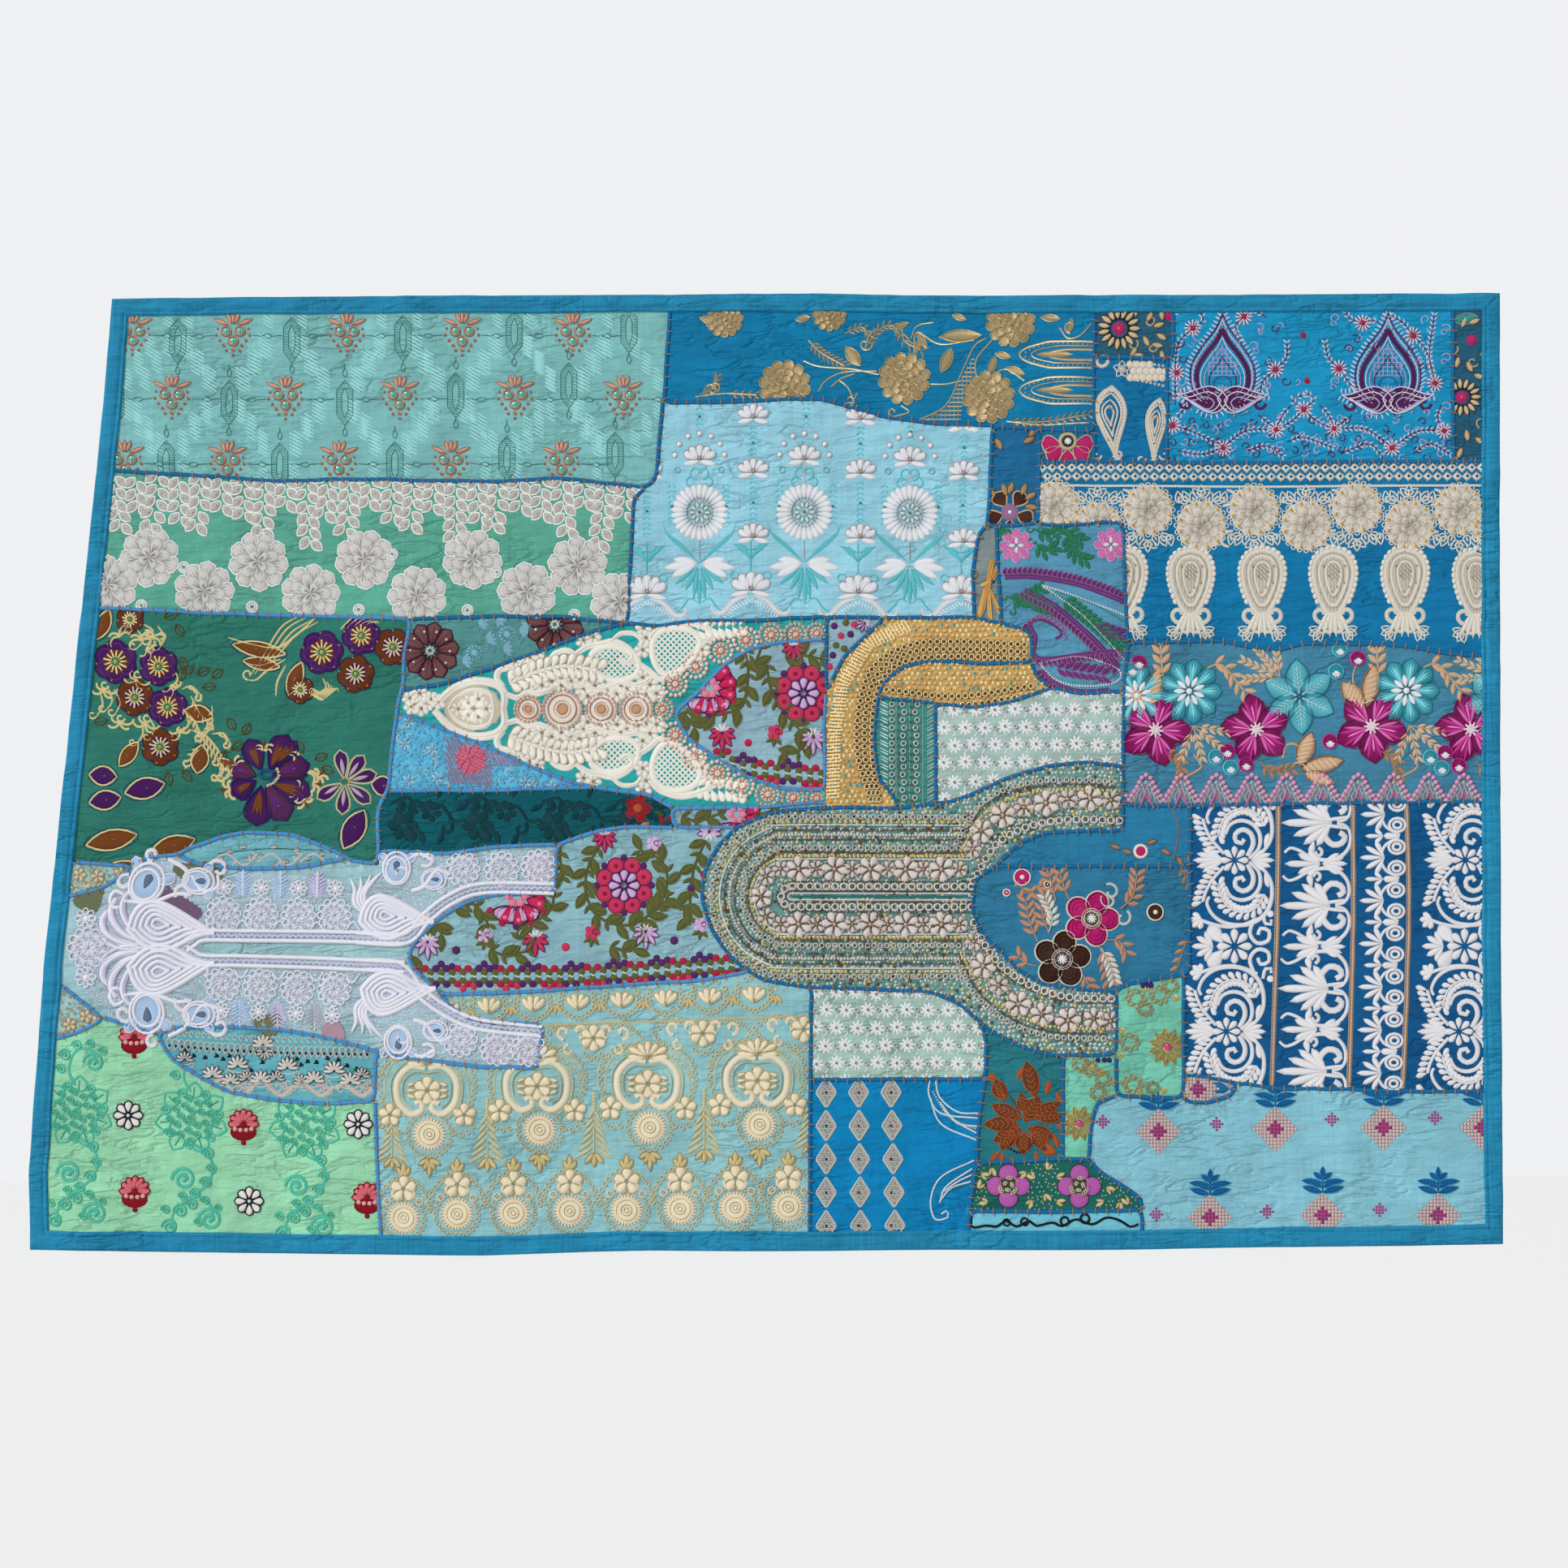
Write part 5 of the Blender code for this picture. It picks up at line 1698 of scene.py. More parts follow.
def sewPlumOgees():
    repeat(ogee, [(1506, 486), (1709, 487)])
    stars = [
        (1469, 405), (1532, 391), (1449, 460), (1571, 456), (1444, 525), (1507, 552), (1572, 530),
        (1606, 505), (1643, 529), (1678, 399), (1649, 455), (1740, 415), (1767, 473), (1714, 553),
        (1778, 532),
    ]
    repeat(starFlower, stars)
    for line in (
        ((1444, 525), (1475, 535), (1507, 551)), ((1507, 551), (1535, 531), (1572, 530)),
        ((1572, 530), (1590, 520), (1606, 506)), ((1606, 506), (1622, 520), (1643, 529)),
        ((1643, 529), (1682, 530), (1714, 553)), ((1714, 553), (1745, 533), (1778, 532)),
        ((1447, 500), (1450, 430), (1469, 405)), ((1469, 405), (1482, 396), (1478, 386)),
        ((1532, 391), (1522, 402), (1528, 418)), ((1571, 456), (1584, 442), (1585, 424)),
        ((1571, 456), (1556, 470), (1552, 486)), ((1649, 455), (1636, 442), (1632, 424)),
        ((1649, 455), (1660, 470), (1668, 480)), ((1678, 399), (1664, 394), (1658, 386)),
        ((1740, 415), (1728, 400), (1708, 388)), ((1740, 415), (1757, 435), (1767, 473)),
        ((1767, 473), (1760, 440), (1766, 390)), ((1606, 505), (1592, 494), (1604, 488)),
        ((1606, 505), (1618, 494), (1610, 486)), ((1585, 545), (1606, 540), (1640, 552)),
        ((1450, 556), (1480, 560), (1507, 552)), ((1535, 556), (1560, 550), (1580, 562)),
        ((1650, 560), (1684, 548), (1700, 560)), ((1740, 560), (1760, 548), (1785, 560)),
        ((1444, 440), (1440, 400), (1450, 384)), ((1560, 392), (1545, 384), (1532, 391)),
        ((1455, 480), (1460, 500), (1450, 515)), ((1590, 500), (1580, 512), (1572, 530)),
        ((1625, 500), (1636, 512), (1643, 529)), ((1774, 500), (1770, 516), (1778, 532)),
        ((1700, 400), (1690, 396), (1678, 399)), ((1550, 512), (1560, 520), (1572, 530)),
        ((1665, 512), (1655, 520), (1643, 529)),
    ):
        sprig(line, 1.5, plumThread, 6, 6.5, 2.4, ice, high=0.7)
    for row, (left, right, level) in enumerate((
        (1444, 1790, 541), (1446, 1790, 556), (1444, 1600, 524), (1620, 1786, 520)
    )):
        for k, x in enumerate(np.arange(left, right, 10.5)):
            y = level + 6 * math.sin(k * 2.1 + row)
            if min(math.hypot(x - u, y - v) for u, v in stars) > 9:
                curl(x, y, 5.5, k * 73 + row * 40, 1.6, lilac if k % 2 else plumThread, (-1) ** k, high=0.7)
    for x, y in (
        (1480, 418), (1540, 424), (1562, 440), (1590, 470), (1640, 474), (1738, 440), (1752, 400),
        (1776, 500), (1690, 420), (1462, 440), (1458, 420), (1548, 400), (1560, 470), (1655, 430),
        (1665, 415), (1750, 460), (1776, 440), (1446, 480), (1460, 468), (1574, 400), (1640, 396),
        (1776, 404),
    ):
        curl(x, y, 6.5, x * 3 % 360, 1.7, plumThread if x % 4 else lilac, high=0.7)
        curl(x + 6, y + 5, 4.5, x * 5 % 360, 1.4, lilac, -1, high=0.7)
    for x, y in ((1605, 414), (1610, 470)):
        stamp("dome", x, y, 8, tint=(170, 20, 60), high=1.2)


def ivoryRose(size=31):
    # shade is painted shade: a dark dome that shows between the petals, and dark strokes on each petal
    fill, edge, shade = (222, 213, 198), (240, 234, 222), (170, 156, 138)
    stamp("dome", 0, 0, size * 1.7, size * 1.6, 0, 0.8, shade)
    for count, far, long, wide, base in (
        (12, 0.56, 0.44, 0.5, 0.2), (8, 0.3, 0.46, 0.5, 0.7), (5, 0.06, 0.36, 0.4, 1.2)
    ):
        for k in range(count):
            way = 360 * k / count + far * 90
            x, y = turned(far * size, 0, way)
            edged("petal", x, y, long * size, wide * size, way, fill, edge, 1.7, high=0.8, base=base)
            for lean in (-10, 10):
                u, v = turned((far + long * 0.36) * size, 0, way + lean * 0.5)
                stamp("stitch", u, v, long * size * 0.5, 1.0, way + lean, 0.5, shade, base=base + 0.7)
    for k in range(24):
        stamp("ring", *turned(size * 0.99, 0, k * 15), 7.5, tint=edge, high=1.0)
    for k in range(12):
        stamp("bead", *turned(size * 0.88, 0, k * 30 + 15), 5.4, tint=(226, 178, 60), kind="bead", high=3.0)


ivoryBordersTints = {"ivory": (230, 224, 210), "seam": (170, 158, 140)}
ivory, seam = ivoryBordersTints.values()


def spray():
    for x, y, way in (
        (0, 0, -90), (0, 0, -140), (0, 0, -40), (-16, 6, -120), (-16, 6, -170), (16, 6, -60), (16, 6, -10),
        (-27, 8, -100), (27, 8, -80), (-8, 8, -110), (8, 8, -70),
    ):
        edged("drop", x, y, 14, 8.5, way, None, ivory, 2.1, high=0.9)
        stamp("stitch", *beyond(x, y, 5, way), 6, 2.6, way, 0.6, ivory)
    stamp("bead", 0, -4, 3, tint=gold, kind="bead", high=1.6)
    thread([(31, -8), (40, -4), (38, 8), (26, 12)], 6, ivory, high=1.0, taper=0.5)


def footed():
    share = np.linspace(0, 1, 22)
    # round head, straight neck
    half = 24.5 * np.sin(math.pi * np.minimum(share**0.62, 1)) ** 0.75 + 5 * share
    rim = np.concatenate([
        np.stack([half, share * 84 - 62], 1), np.stack([-half, share * 84 - 62], 1)[::-1]
    ])
    hatch(rim * 0.94, 4, 90, 4.6, (216, 208, 190), high=0.5)
    for size, wide, tint in (
        (0.93, 7, ivory), (0.74, 2, seam), (0.66, 6, ivory), (0.44, 1.8, seam), (0.36, 5.5, ivory)
    ):
        lay(
            (rim - (0, -30)) * (size, 0.2 + 0.8 * size) + (0, -30), wide, tint,
            1.0 if tint == ivory else 0.7, rows=3,
        )
    for x, y, way in along(rim, 6.6):
        if y < 6:
            stamp("dome", x * 1.08, (y + 30) * 1.07 - 30, 7.5, 6, way, 1.1, ivory)
    hatch([(-9, -44), (9, -44), (8, -22), (-8, -22)], 4, 45, 1.2, seam, high=0.5, base=0.6)
    for side in (-1, 1):
        curl(side * 3, 22, 12, 90 - side * 12, 6, ivory, -side, high=1.1, turns=1.0)
        curl(side * 12, 30, 9, 60 if side > 0 else 120, 5, ivory, side, high=1.0)
        for way in (-20, 20, 60, 100):
            edged("drop", side * 17, 40, 13, 8, way if side > 0 else 180 - way, None, ivory, 2.2, high=0.9)
        for x in (2, 6, 10):
            stamp("leaf", side * x * 0.5, 14, 34, 7, 90 - side * x * 2.6, 1.0, ivory)
    for x, y in ((-12, -40), (14, -40), (6, -34), (-6, -28), (4, -14), (-3, -8), (12, -20)):
        stamp("bead", x, y, 3.8, tint=gold, kind="bead", high=2.2)


def sewIvoryBorders():
    for k in range(46):
        for row, shift in ((577, 0), (588, 6)):
            stamp("stud", 1284 + k * 12 + shift, row, 9.2, 9.2, 45, 1.3, ivory)
        for row in (572, 583, 593):
            stamp("bead", 1284 + k * 12 + 6, row, 3.0, tint=gold, kind="bead", high=1.6)
    for level, wide in ((568, 2.4), (599, 3.4)):
        chain(
            [(1281, level), (1560, level + 1), (1832, level)], 3.4, "stitch", 4.6, wide, tint=ivory,
            high=1.1,
        )
    repeat(ivoryRose, [
        (1298, 625), (1352, 650), (1414, 629), (1480, 648), (1545, 629), (1609, 648), (1671, 627),
        (1735, 648), (1797, 629), (1845, 650),
    ])

    repeat(spray, [
        (1480, 612), (1609, 612), (1735, 612), (1352, 612), (1414, 667, 180), (1545, 666, 180),
        (1671, 666, 180), (1797, 668, 180),
    ])

    repeat(footed, [
        (1299, 740), (1384, 737), (1467, 738), (1555, 738), (1642, 738), (1730, 738), (1818, 740)
    ])


bigBloomsTints = {
    "bright": (206, 50, 150),
    "deepPink": (132, 14, 90),
    "turq": (96, 196, 210),
    "beige": (212, 174, 136),
}
bright, deepPink, turq, beige = bigBloomsTints.values()


def lily():
    for k in range(5):
        way = -90 + 72 * k
        edged("leaf", *turned(2, 0, way), 44, 36, way, deepPink, (120, 12, 82), 1.2, high=0.9)
        for lean, long, tint in (
            (0, 26, (236, 150, 205)), (-14, 36, bright), (14, 36, bright), (-26, 28, (222, 110, 185)),
            (26, 28, (222, 110, 185)), (-7, 34, (160, 24, 110)), (7, 34, (160, 24, 110)),
        ):
            stamp("leaf", *turned(6, 0, way), long, 4.2, way + lean, 0.7, tint, base=0.8)
    ringOf(9, 2, "stitch", 15, 3, tint=(244, 214, 226), base=1.4)
    stamp("ring", 0, 0, 10, tint=white, high=1.5, base=1.0)


def daisy():
    for k in range(9):
        way = 40 * k
        edged("petal", *turned(3, 0, way), 38, 22, way, (60, 158, 176), (36, 120, 140), 1.2, high=0.8)
        for lean, tint in ((-9, turq), (0, (150, 224, 230)), (9, turq)):
            stamp("leaf", *turned(9, 0, way), 26, 4.4, way + lean, 0.7, tint, base=0.7)
    for k in range(9):
        edged(
            "leaf", *turned(5, 0, 40 * k + 20), 15, 6.6, 40 * k + 20, white, (30, 110, 120), 1.1, base=1.2
        )
    stamp("dome", 0, 0, 9, tint=white, high=2.0)


def starLeaf():
    for k in range(6):
        way = 60 * k - 95
        edged(
            "leaf", *turned(2, 0, way), 45, 30, way, (58, 150, 172), (34, 112, 134), 1.6, high=0.9, tip=turq
        )
        for n in range(1, 6):
            for side in (-1, 1):
                stamp(
                    "leaf", *turned(4 + n * 5.4, 0, way), 13 - n, 3.6, way + side * 40, 0.6,
                    (130, 214, 224), base=0.8,
                )
        lay(evenly([turned(4, 0, way), turned(38, 0, way)], 8), 2, white, 1.5)


def bloomHeads():
    repeat(daisy, [(1465, 852), (1731, 852), (1400, 858)])
    repeat(starLeaf, [(1600, 859), (1842, 868, 30)])
    repeat(lily, [(1423, 900, 20), (1548, 899, -12, 0.98), (1688, 896, 30), (1811, 899, -12, 0.98)])


def bloomSprigs():
    for shift in (0, 265):
        sprig(
            [(1486 + shift, 824), (1505 + shift, 820), (1532 + shift, 850)], 2.4, beige, 12, 17, 7, high=1.0
        )
        sprig(
            [(1433 + shift, 842), (1431 + shift, 815), (1430 + shift, 795)], 2.6, beige, 13, 17, 8, high=1.0
        )
        for x, y, way, long in (
            (1577, 835, 178, 40), (1577, 835, 205, 46), (1577, 835, 232, 40), (1577, 835, 262, 34),
            (1470, 895, 10, 38), (1470, 895, 38, 38), (1470, 895, 75, 38), (1470, 895, 110, 38),
        ):
            stem = [(x + shift, y), beyond(x + shift, y, long, way)]
            sprig(stem, 1.6, beige, 8.5, 12, 5, (228, 198, 164), 27, high=1.0)
        thread([(1470 + shift, 930), (1480 + shift, 945), (1460 + shift, 958)], 3, beige, high=0.9)
        sprig(
            [(1430 + shift, 925), (1452 + shift, 935), (1456 + shift, 955)], 2, (170, 130, 95), 9, 13, 6,
            high=0.9,
        )
        sprig(
            [(1552 + shift, 938), (1565 + shift, 950), (1590 + shift, 948)], 2, (170, 130, 95), 9, 13, 6,
            high=0.9,
        )
        thread([(1407 + shift, 812), (1401 + shift, 840), (1415 + shift, 868)], 2, beige, high=0.9)


def bloomLeaves():
    for x, y, long, wide, way in (
        (1683, 872, 54, 22, -80), (1680, 874, 44, 24, -130), (1600, 945, 46, 22, -70),
        (1602, 948, 54, 21, -12), (1606, 952, 40, 17, 20), (1418, 872, 50, 22, -80),
        (1412, 874, 40, 22, -130),
    ):
        edged("leaf", x, y, long, wide, way, beige, (150, 110, 80), 1.4, high=1.1)
        for k in range(1, 7):
            stamp(
                "stitch", *beyond(x, y, long * k / 8, way), wide * 0.7, 1.6, way + 60, 0.6, (238, 210, 180),
                base=1.0,
            )
    thread([(1580, 935), (1585, 918), (1600, 920), (1598, 940)], 3.2, beige, high=1.0)


def bloomDots():
    for x, y, tint in (
        (1512, 926, bright), (1535, 942, bright), (1638, 914, bright), (1672, 812, bright),
        (1779, 928, bright), (1796, 944, bright), (1403, 817, bright), (1498, 933, turq), (1516, 946, turq),
        (1645, 828, turq), (1650, 801, turq), (1761, 934, turq), (1775, 947, turq), (1395, 826, turq),
    ):
        stamp("dome", x, y, 19, tint=deepPink if tint == bright else (40, 140, 160), high=1.2)
        lay(around(x, y, 18, count=12), 2.2, tint, 1.4)
        repeat(
            lambda: ringOf(6, 1, "stitch", 9, 2.4, spread=160, start=90, tint=white, base=1.0), at(x, y + 2)
        )


def pearlFringe():
    pearl, net = (222, 156, 190), (176, 172, 176)
    for x in np.arange(1325, 1850, 43.4):
        for n in range(13):
            far = abs(n - 6) * 2.6
            stamp(
                "stitch", x - 18 + n * 3, 972 + far * 1.05, 21, 2.4, 70 if n % 2 else 112, 0.8, net,
                kind="metal",
            )
        for level in (0, 1):
            line = [
                (x - 21.7, 986 + 7 * level), (x - 12, 971 + 8 * level), (x - 4, 957 + 9 * level),
                (x + 4, 957 + 9 * level), (x + 12, 971 + 8 * level), (x + 21.7, 986 + 7 * level),
            ]
            chain(
                line, 6.2, "bead", 6.6 - level, tint=pearl if level == 0 else (206, 190, 204),
                high=2.2 - level * 0.3,
            )
        for side in (-1, 1):
            lay([(x, 976), (x + side * 4, 985), (x + side * 9, 996)], 3, (220, 120, 165), 1.6)


def sewBigBlooms():
    bloomHeads()
    bloomSprigs()
    bloomLeaves()
    bloomDots()
    pearlFringe()


whiteScrollsTints = {"cotton": (236, 234, 236)}
cotton = whiteScrollsTints["cotton"]


def bold(*points, wide=5.0, taper=0.35):
    thread(points, wide, cotton, high=0.9, taper=taper, rows=3)


def leaves(line, step, long, wide, lean, **more):
    for x, y, way in along(line, step):
        stamp("petal", x, y, long, wide, way + lean, 0.8, cotton, **more)


def fanLeaves(x, y, start, spread, count, long, wide):
    for k in range(count):
        way = start + spread * (k / (count - 1) - 0.5)
        stamp("petal", x, y, long * (1 - 0.22 * abs(2 * k / (count - 1) - 1)), wide, way, 0.9, cotton)


def daisyOf(size):
    ringOf(8, size * 0.2, "petal", size * 0.85, size * 0.5, tint=cotton, high=1.0)


def greatScroll():
    daisyOf(17)
    fanLeaves(-12, 0, 180, 56, 5, 40, 8)
    fanLeaves(20, 0, 0, 72, 5, 29, 7)
    for side in (-1, 1):
        bold(
            (16, side * 5), (23, side * 20), (20, side * 33), (10, side * 38), (1, side * 32),
            (2, side * 23), (9, side * 21), (12, side * 26), wide=7, taper=0.1,
        )
        bold(
            (18, side * 2), (30, side * 15), (31, side * 32), (22, side * 45), (8, side * 49),
            (-5, side * 44), (-11, side * 32), wide=5.8,
        )
        bold(
            (22, side), (36, side * 12), (45, side * 28), (45, side * 50), (36, side * 68), (16, side * 79),
            (-9, side * 78), (-26, side * 68), (-34, side * 53), (-31, side * 45), wide=6.2,
        )
        rib = flowing([
            (37, side * 42), (27, side * 58), (10, side * 64), (-8, side * 57), (-17, side * 43),
            (-20, side * 31),
        ])
        lay(rib, 3, cotton, 0.9, rows=3)
        for lean in (-44, 44):
            leaves(rib, 7.2, 13, 7.2, lean)
        stamp("petal", 37, side * 12, 22, 8, side * 78, 0.9, cotton)
        plume = flowing([(-13, side * 8), (-27, side * 24), (-35, side * 38), (-39, side * 51)])
        lay(plume, 4.6, cotton, 1.0, rows=3)
        leaves(plume[1:], 6.6, 15.5, 7.2, side * 58)


def cloverScroll():
    daisyOf(21)
    fanLeaves(-26, 0, 180, 120, 5, 27, 8)
    for side in (-1, 1):
        stamp("petal", -14, side * 4, 28, 21, 180 - side * 50, 1.0, cotton)
        bold(
            (-46, side * 34), (-26, side * 27), (-6, side * 24), (12, side * 27), (28, side * 34), wide=5,
            taper=0.1,
        )
        fanLeaves(-40, side * 34, 180 + side * 24, 110, 4, 17, 8)
        bold(
            (24, side * 33), (19, side * 16), (28, side * 4), (41, side * 7), (42, side * 19),
            (32, side * 22), (29, side * 14), wide=5.6, taper=0.1,
        )
        bold((35, side * 40), (38, side * 28), (45, side * 27), (45, side * 33), wide=5, taper=0.1)
        stamp("dome", 44, side * 40, 9, tint=cotton)


def hornUnit():
    for k in range(7):
        stamp("petal", 8, 0, (62, 50, 44, 34)[abs(k - 3)], 10.5, 180 + (k - 3) * 19, 1.0, cotton)
    for side in (-1, 1):
        bold(
            (-2, side * 5), (0, side * 18), (9, side * 27), (20, side * 25), (24, side * 17),
            (17, side * 12), wide=8.5, taper=0.1,
        )
        bold(
            (14, side), (25, side * 4), (31, side * 15), (29, side * 30), (18, side * 42), (0, side * 46),
            (-20, side * 41), (-32, side * 34), (-43, side * 31), (-50, side * 37), wide=5.4,
        )
        bold((-2, side * 3), (14, side * 5), (27, side * 7), wide=5)
        stamp("petal", -14, side * 22, 17, 9, side * 104, 0.9, cotton)
        curl(-9, side * 31, 6, 0, 4.6, cotton, side, high=0.9)
    for k in range(5):
        stamp("petal", -6, 50.5, (44, 30, 22)[abs(k - 2)], 9, 180 + (k - 2) * 24, 1.0, cotton)
    fanLeaves(-4, 50.5, 0, 64, 5, 31, 7)


def smallUnit():
    fanLeaves(6, 0, 180, 124, 5, 30, 7)
    for side in (-1, 1):
        for size in (1, 0.5):
            lay(around(21, side * 13, 20 * size, 17 * size, 12), 4, cotton, 1.0, rows=3)
        bold((2, side * 5), (8, side * 16), (24, side * 25), wide=4.2)
    for way, long in ((180, 22), (140, 13), (220, 13)):
        stamp("petal", 4, 26.5, long, 6, way, 1.0, cotton)
    stamp("drop", 4, 26.5, 20, 9, 0, 0.9, cotton)


def sewWhiteScrolls():
    repeat(greatScroll, [(1521, 1060), (1511, 1271), (1804, 1060), (1796, 1271)])
    repeat(cloverScroll, [(1521, 1166), (1803, 1166), (1524, 954), (1808, 954), (1508, 1378), (1794, 1378)])

    repeat(hornUnit, [(1632 - k * 2, 1014 + k * 102) for k in range(4)] + at(1634, 912))

    repeat(smallUnit, [(1699 - k * 0.8, 1004 + k * 53) for k in range(7)])
    for points in (
        ((1575, 986), (1573, 1140), (1567, 1336)), ((1666, 986), (1666, 1140), (1661, 1338)),
        ((1731, 986), (1734, 1140), (1726, 1340)),
    ):
        for shift in (-1.8, 1.8):
            lay(flowing([(x + shift, y) for x, y in points]), 1.4, (150, 118, 84), 0.8)
        for x, y, way in along(flowing(points), 2.6):
            stamp("stitch", x, y, 6.2, 2.6, way + 90, 0.5, (224, 190, 158))


def crossDiamond():
    brown, pale, heart = (190, 138, 136), (240, 222, 218), (176, 48, 124)
    for row in range(-6, 7):
        reach = 6 - abs(row)
        for column in range(-reach, reach + 1):
            deep = abs(row) + abs(column) < 3
            stamp("stud", column * 4.2, row * 4.3, 4.7, 4.7, 0, 0.3, (214, 120, 168) if deep else brown)
            stamp("stud", column * 4.2, row * 4.3, 3.5, 3.5, 0, 0.8, heart if deep else pale, base=0.3)
    blue, sheen = (8, 92, 148), (40, 142, 196)
    lay([(0, -25), (0, -48)], 2.4, blue, 0.9)
    for y, long, wide, lift in ((-28, 26, 7.5, 16), (-34, 22, 6.5, 30), (-40, 26, 7, 6), (-44, 14, 6, 38)):
        for side in (-1, 1):
            edged("leaf", 0, y, long, wide, -90 + side * (90 - lift), blue, sheen, 1.3, high=1.0)
    edged("leaf", 0, -46, 14, 6, -90, blue, sheen, 1.0, high=1.0)


def sewStitchedDiamonds():
    repeat(crossDiamond, [
        (1427, 1394), (1571, 1391), (1703, 1389), (1825, 1389), (1491, 1500), (1629, 1497), (1770, 1497)
    ])
    for x, y in (
        (1358, 1382), (1499, 1385), (1640, 1379), (1766, 1377), (1424, 1496), (1561, 1493), (1698, 1490)
    ):
        for row in range(-2, 3):
            for column in range(abs(row) - 2, 3 - abs(row)):
                stamp("stud", x + column * 3.6, y + row * 3.6, 3.2, 3.2, 0, 0.7, (184, 76, 146))


def sewPinkScrap():
    repeat(crossDiamond, [(1476, 1342)])
    for way in (170, 200, -10, 20):
        stamp("leaf", 1515, 1342, 22, 8, way, 0.9, (12, 108, 160))


def goldSequins(places):
    for x, y, count, far in places:
        for k in range(count):
            right, down = turned(far, 0, 360 * k / count)
            edged(
                "drop", x + right * 0.35, y + down * 0.35, far * 0.95, far * 0.5, 360 * k / count,
                (150, 150, 90), gold, 1.5, edgeKind="metal", high=0.9,
            )
            stamp(
                "sequin", x + right * 0.9, y + down * 0.9, far * 0.3, tint=(170, 160, 90), kind="metal",
                high=1.0, base=0.4,
            )
        stamp("dome", x, y, far * 0.7, far * 0.55, tint=(196, 30, 90), kind="bead", high=1.8)


def sewMintSequins():
    goldSequins([(1438, 1290, 11, 18)])
    for x, y, size in (
        (1399, 1230, 1), (1428, 1226, 1), (1391, 1284, 1), (1410, 1243, 0.8), (1395, 1336, 1),
        (1442, 1215, 0.8), (1420, 1340, 0.7),
    ):
        for k in range(8):
            stamp(
                "ring", x + 10 * size * math.cos(k * 0.785), y + 9 * size * math.sin(k * 0.785), 8 * size,
                tint=gold, kind="metal", high=1.1,
            )
    for x, y in ((1412, 1218), (1448, 1230), (1381, 1270), (1380, 1300), (1434, 1344), (1404, 1346)):
        stamp("sequin", x, y, 8, tint=(210, 180, 100), kind="metal", high=0.9)
    for x in (1408, 1413, 1418):
        stamp("dome", x, 1214, 7, 9, tint=(50, 40, 110), high=1.2)


def sewMintSequinsLow():
    goldSequins([(1329, 1384, 10, 17)])
    for x, y in ((1342, 1316), (1358, 1328), (1352, 1346), (1330, 1310)):
        for k in range(7):
            stamp(
                "ring", x + 8 * math.cos(k * 0.9), y + 8 * math.sin(k * 0.9), 7, tint=gold, kind="metal",
                high=1.1,
            )
        stamp("sequin", x + 14, y + 6, 9, tint=(190, 160, 90), kind="metal", high=0.9)
    for x in (1352, 1360, 1366):
        stamp("dome", x, 1306, 7, tint=(50, 40, 110), high=1.2)


rustFlowerTints = {"rust": (176, 82, 30), "brown": (104, 60, 34)}
rust, brown = rustFlowerTints.values()


def feathered(x, y, long, wide, way):
    edged("leaf", x, y, long, wide, way, brown, rust, 1.6, high=0.8)
    for k in range(1, 6):
        for side in (-1, 1):
            place = beyond(x, y, long * k / 6.5, way, side * wide * 0.14)
            stamp("stitch", *place, wide * 0.42, 1.6, way + side * 50, 0.6, rust, base=0.7)


def sewRustFlower():
    for x, y, long, wide, way in (
        (1262, 1382, 36, 20, -60), (1254, 1384, 42, 18, 178), (1258, 1378, 40, 18, 205),
        (1258, 1390, 38, 18, 155), (1266, 1390, 34, 18, 20), (1272, 1374, 38, 14, -25),
        (1276, 1378, 36, 14, -5), (1262, 1394, 28, 20, 95), (1250, 1392, 30, 18, 125),
        (1272, 1392, 30, 16, 60), (1262, 1372, 26, 14, -100), (1275, 1352, 46, 20, -104),
        (1236, 1356, 28, 18, -110),
    ):
        feathered(x, y, long, wide, way)
    stamp("dome", 1222, 1327, 10, tint=rust)
    for x, y, way in (
        (1300, 1345, 60), (1300, 1385, 30), (1297, 1396, 70), (1236, 1420, 100), (1275, 1418, 80),
        (1244, 1425, 60), (1302, 1420, 180), (1232, 1418, 130), (1230, 1340, 60), (1292, 1330, 100),
        (1252, 1330, -60), (1286, 1408, 40),
    ):
        stamp("leaf", x, y, 19, 8, way, 0.8, rust)
    thread([(1228, 1332), (1248, 1356), (1256, 1372)], 2, brown)
    thread([(1250, 1356), (1275, 1352)], 2, (60, 150, 150))
    chain([(1235, 1410), (1258, 1420), (1278, 1402)], 4, "bead", 3.4, tint=dark, high=0.9)


lilacCloverTints = {"lilacPetal": (186, 92, 176)}


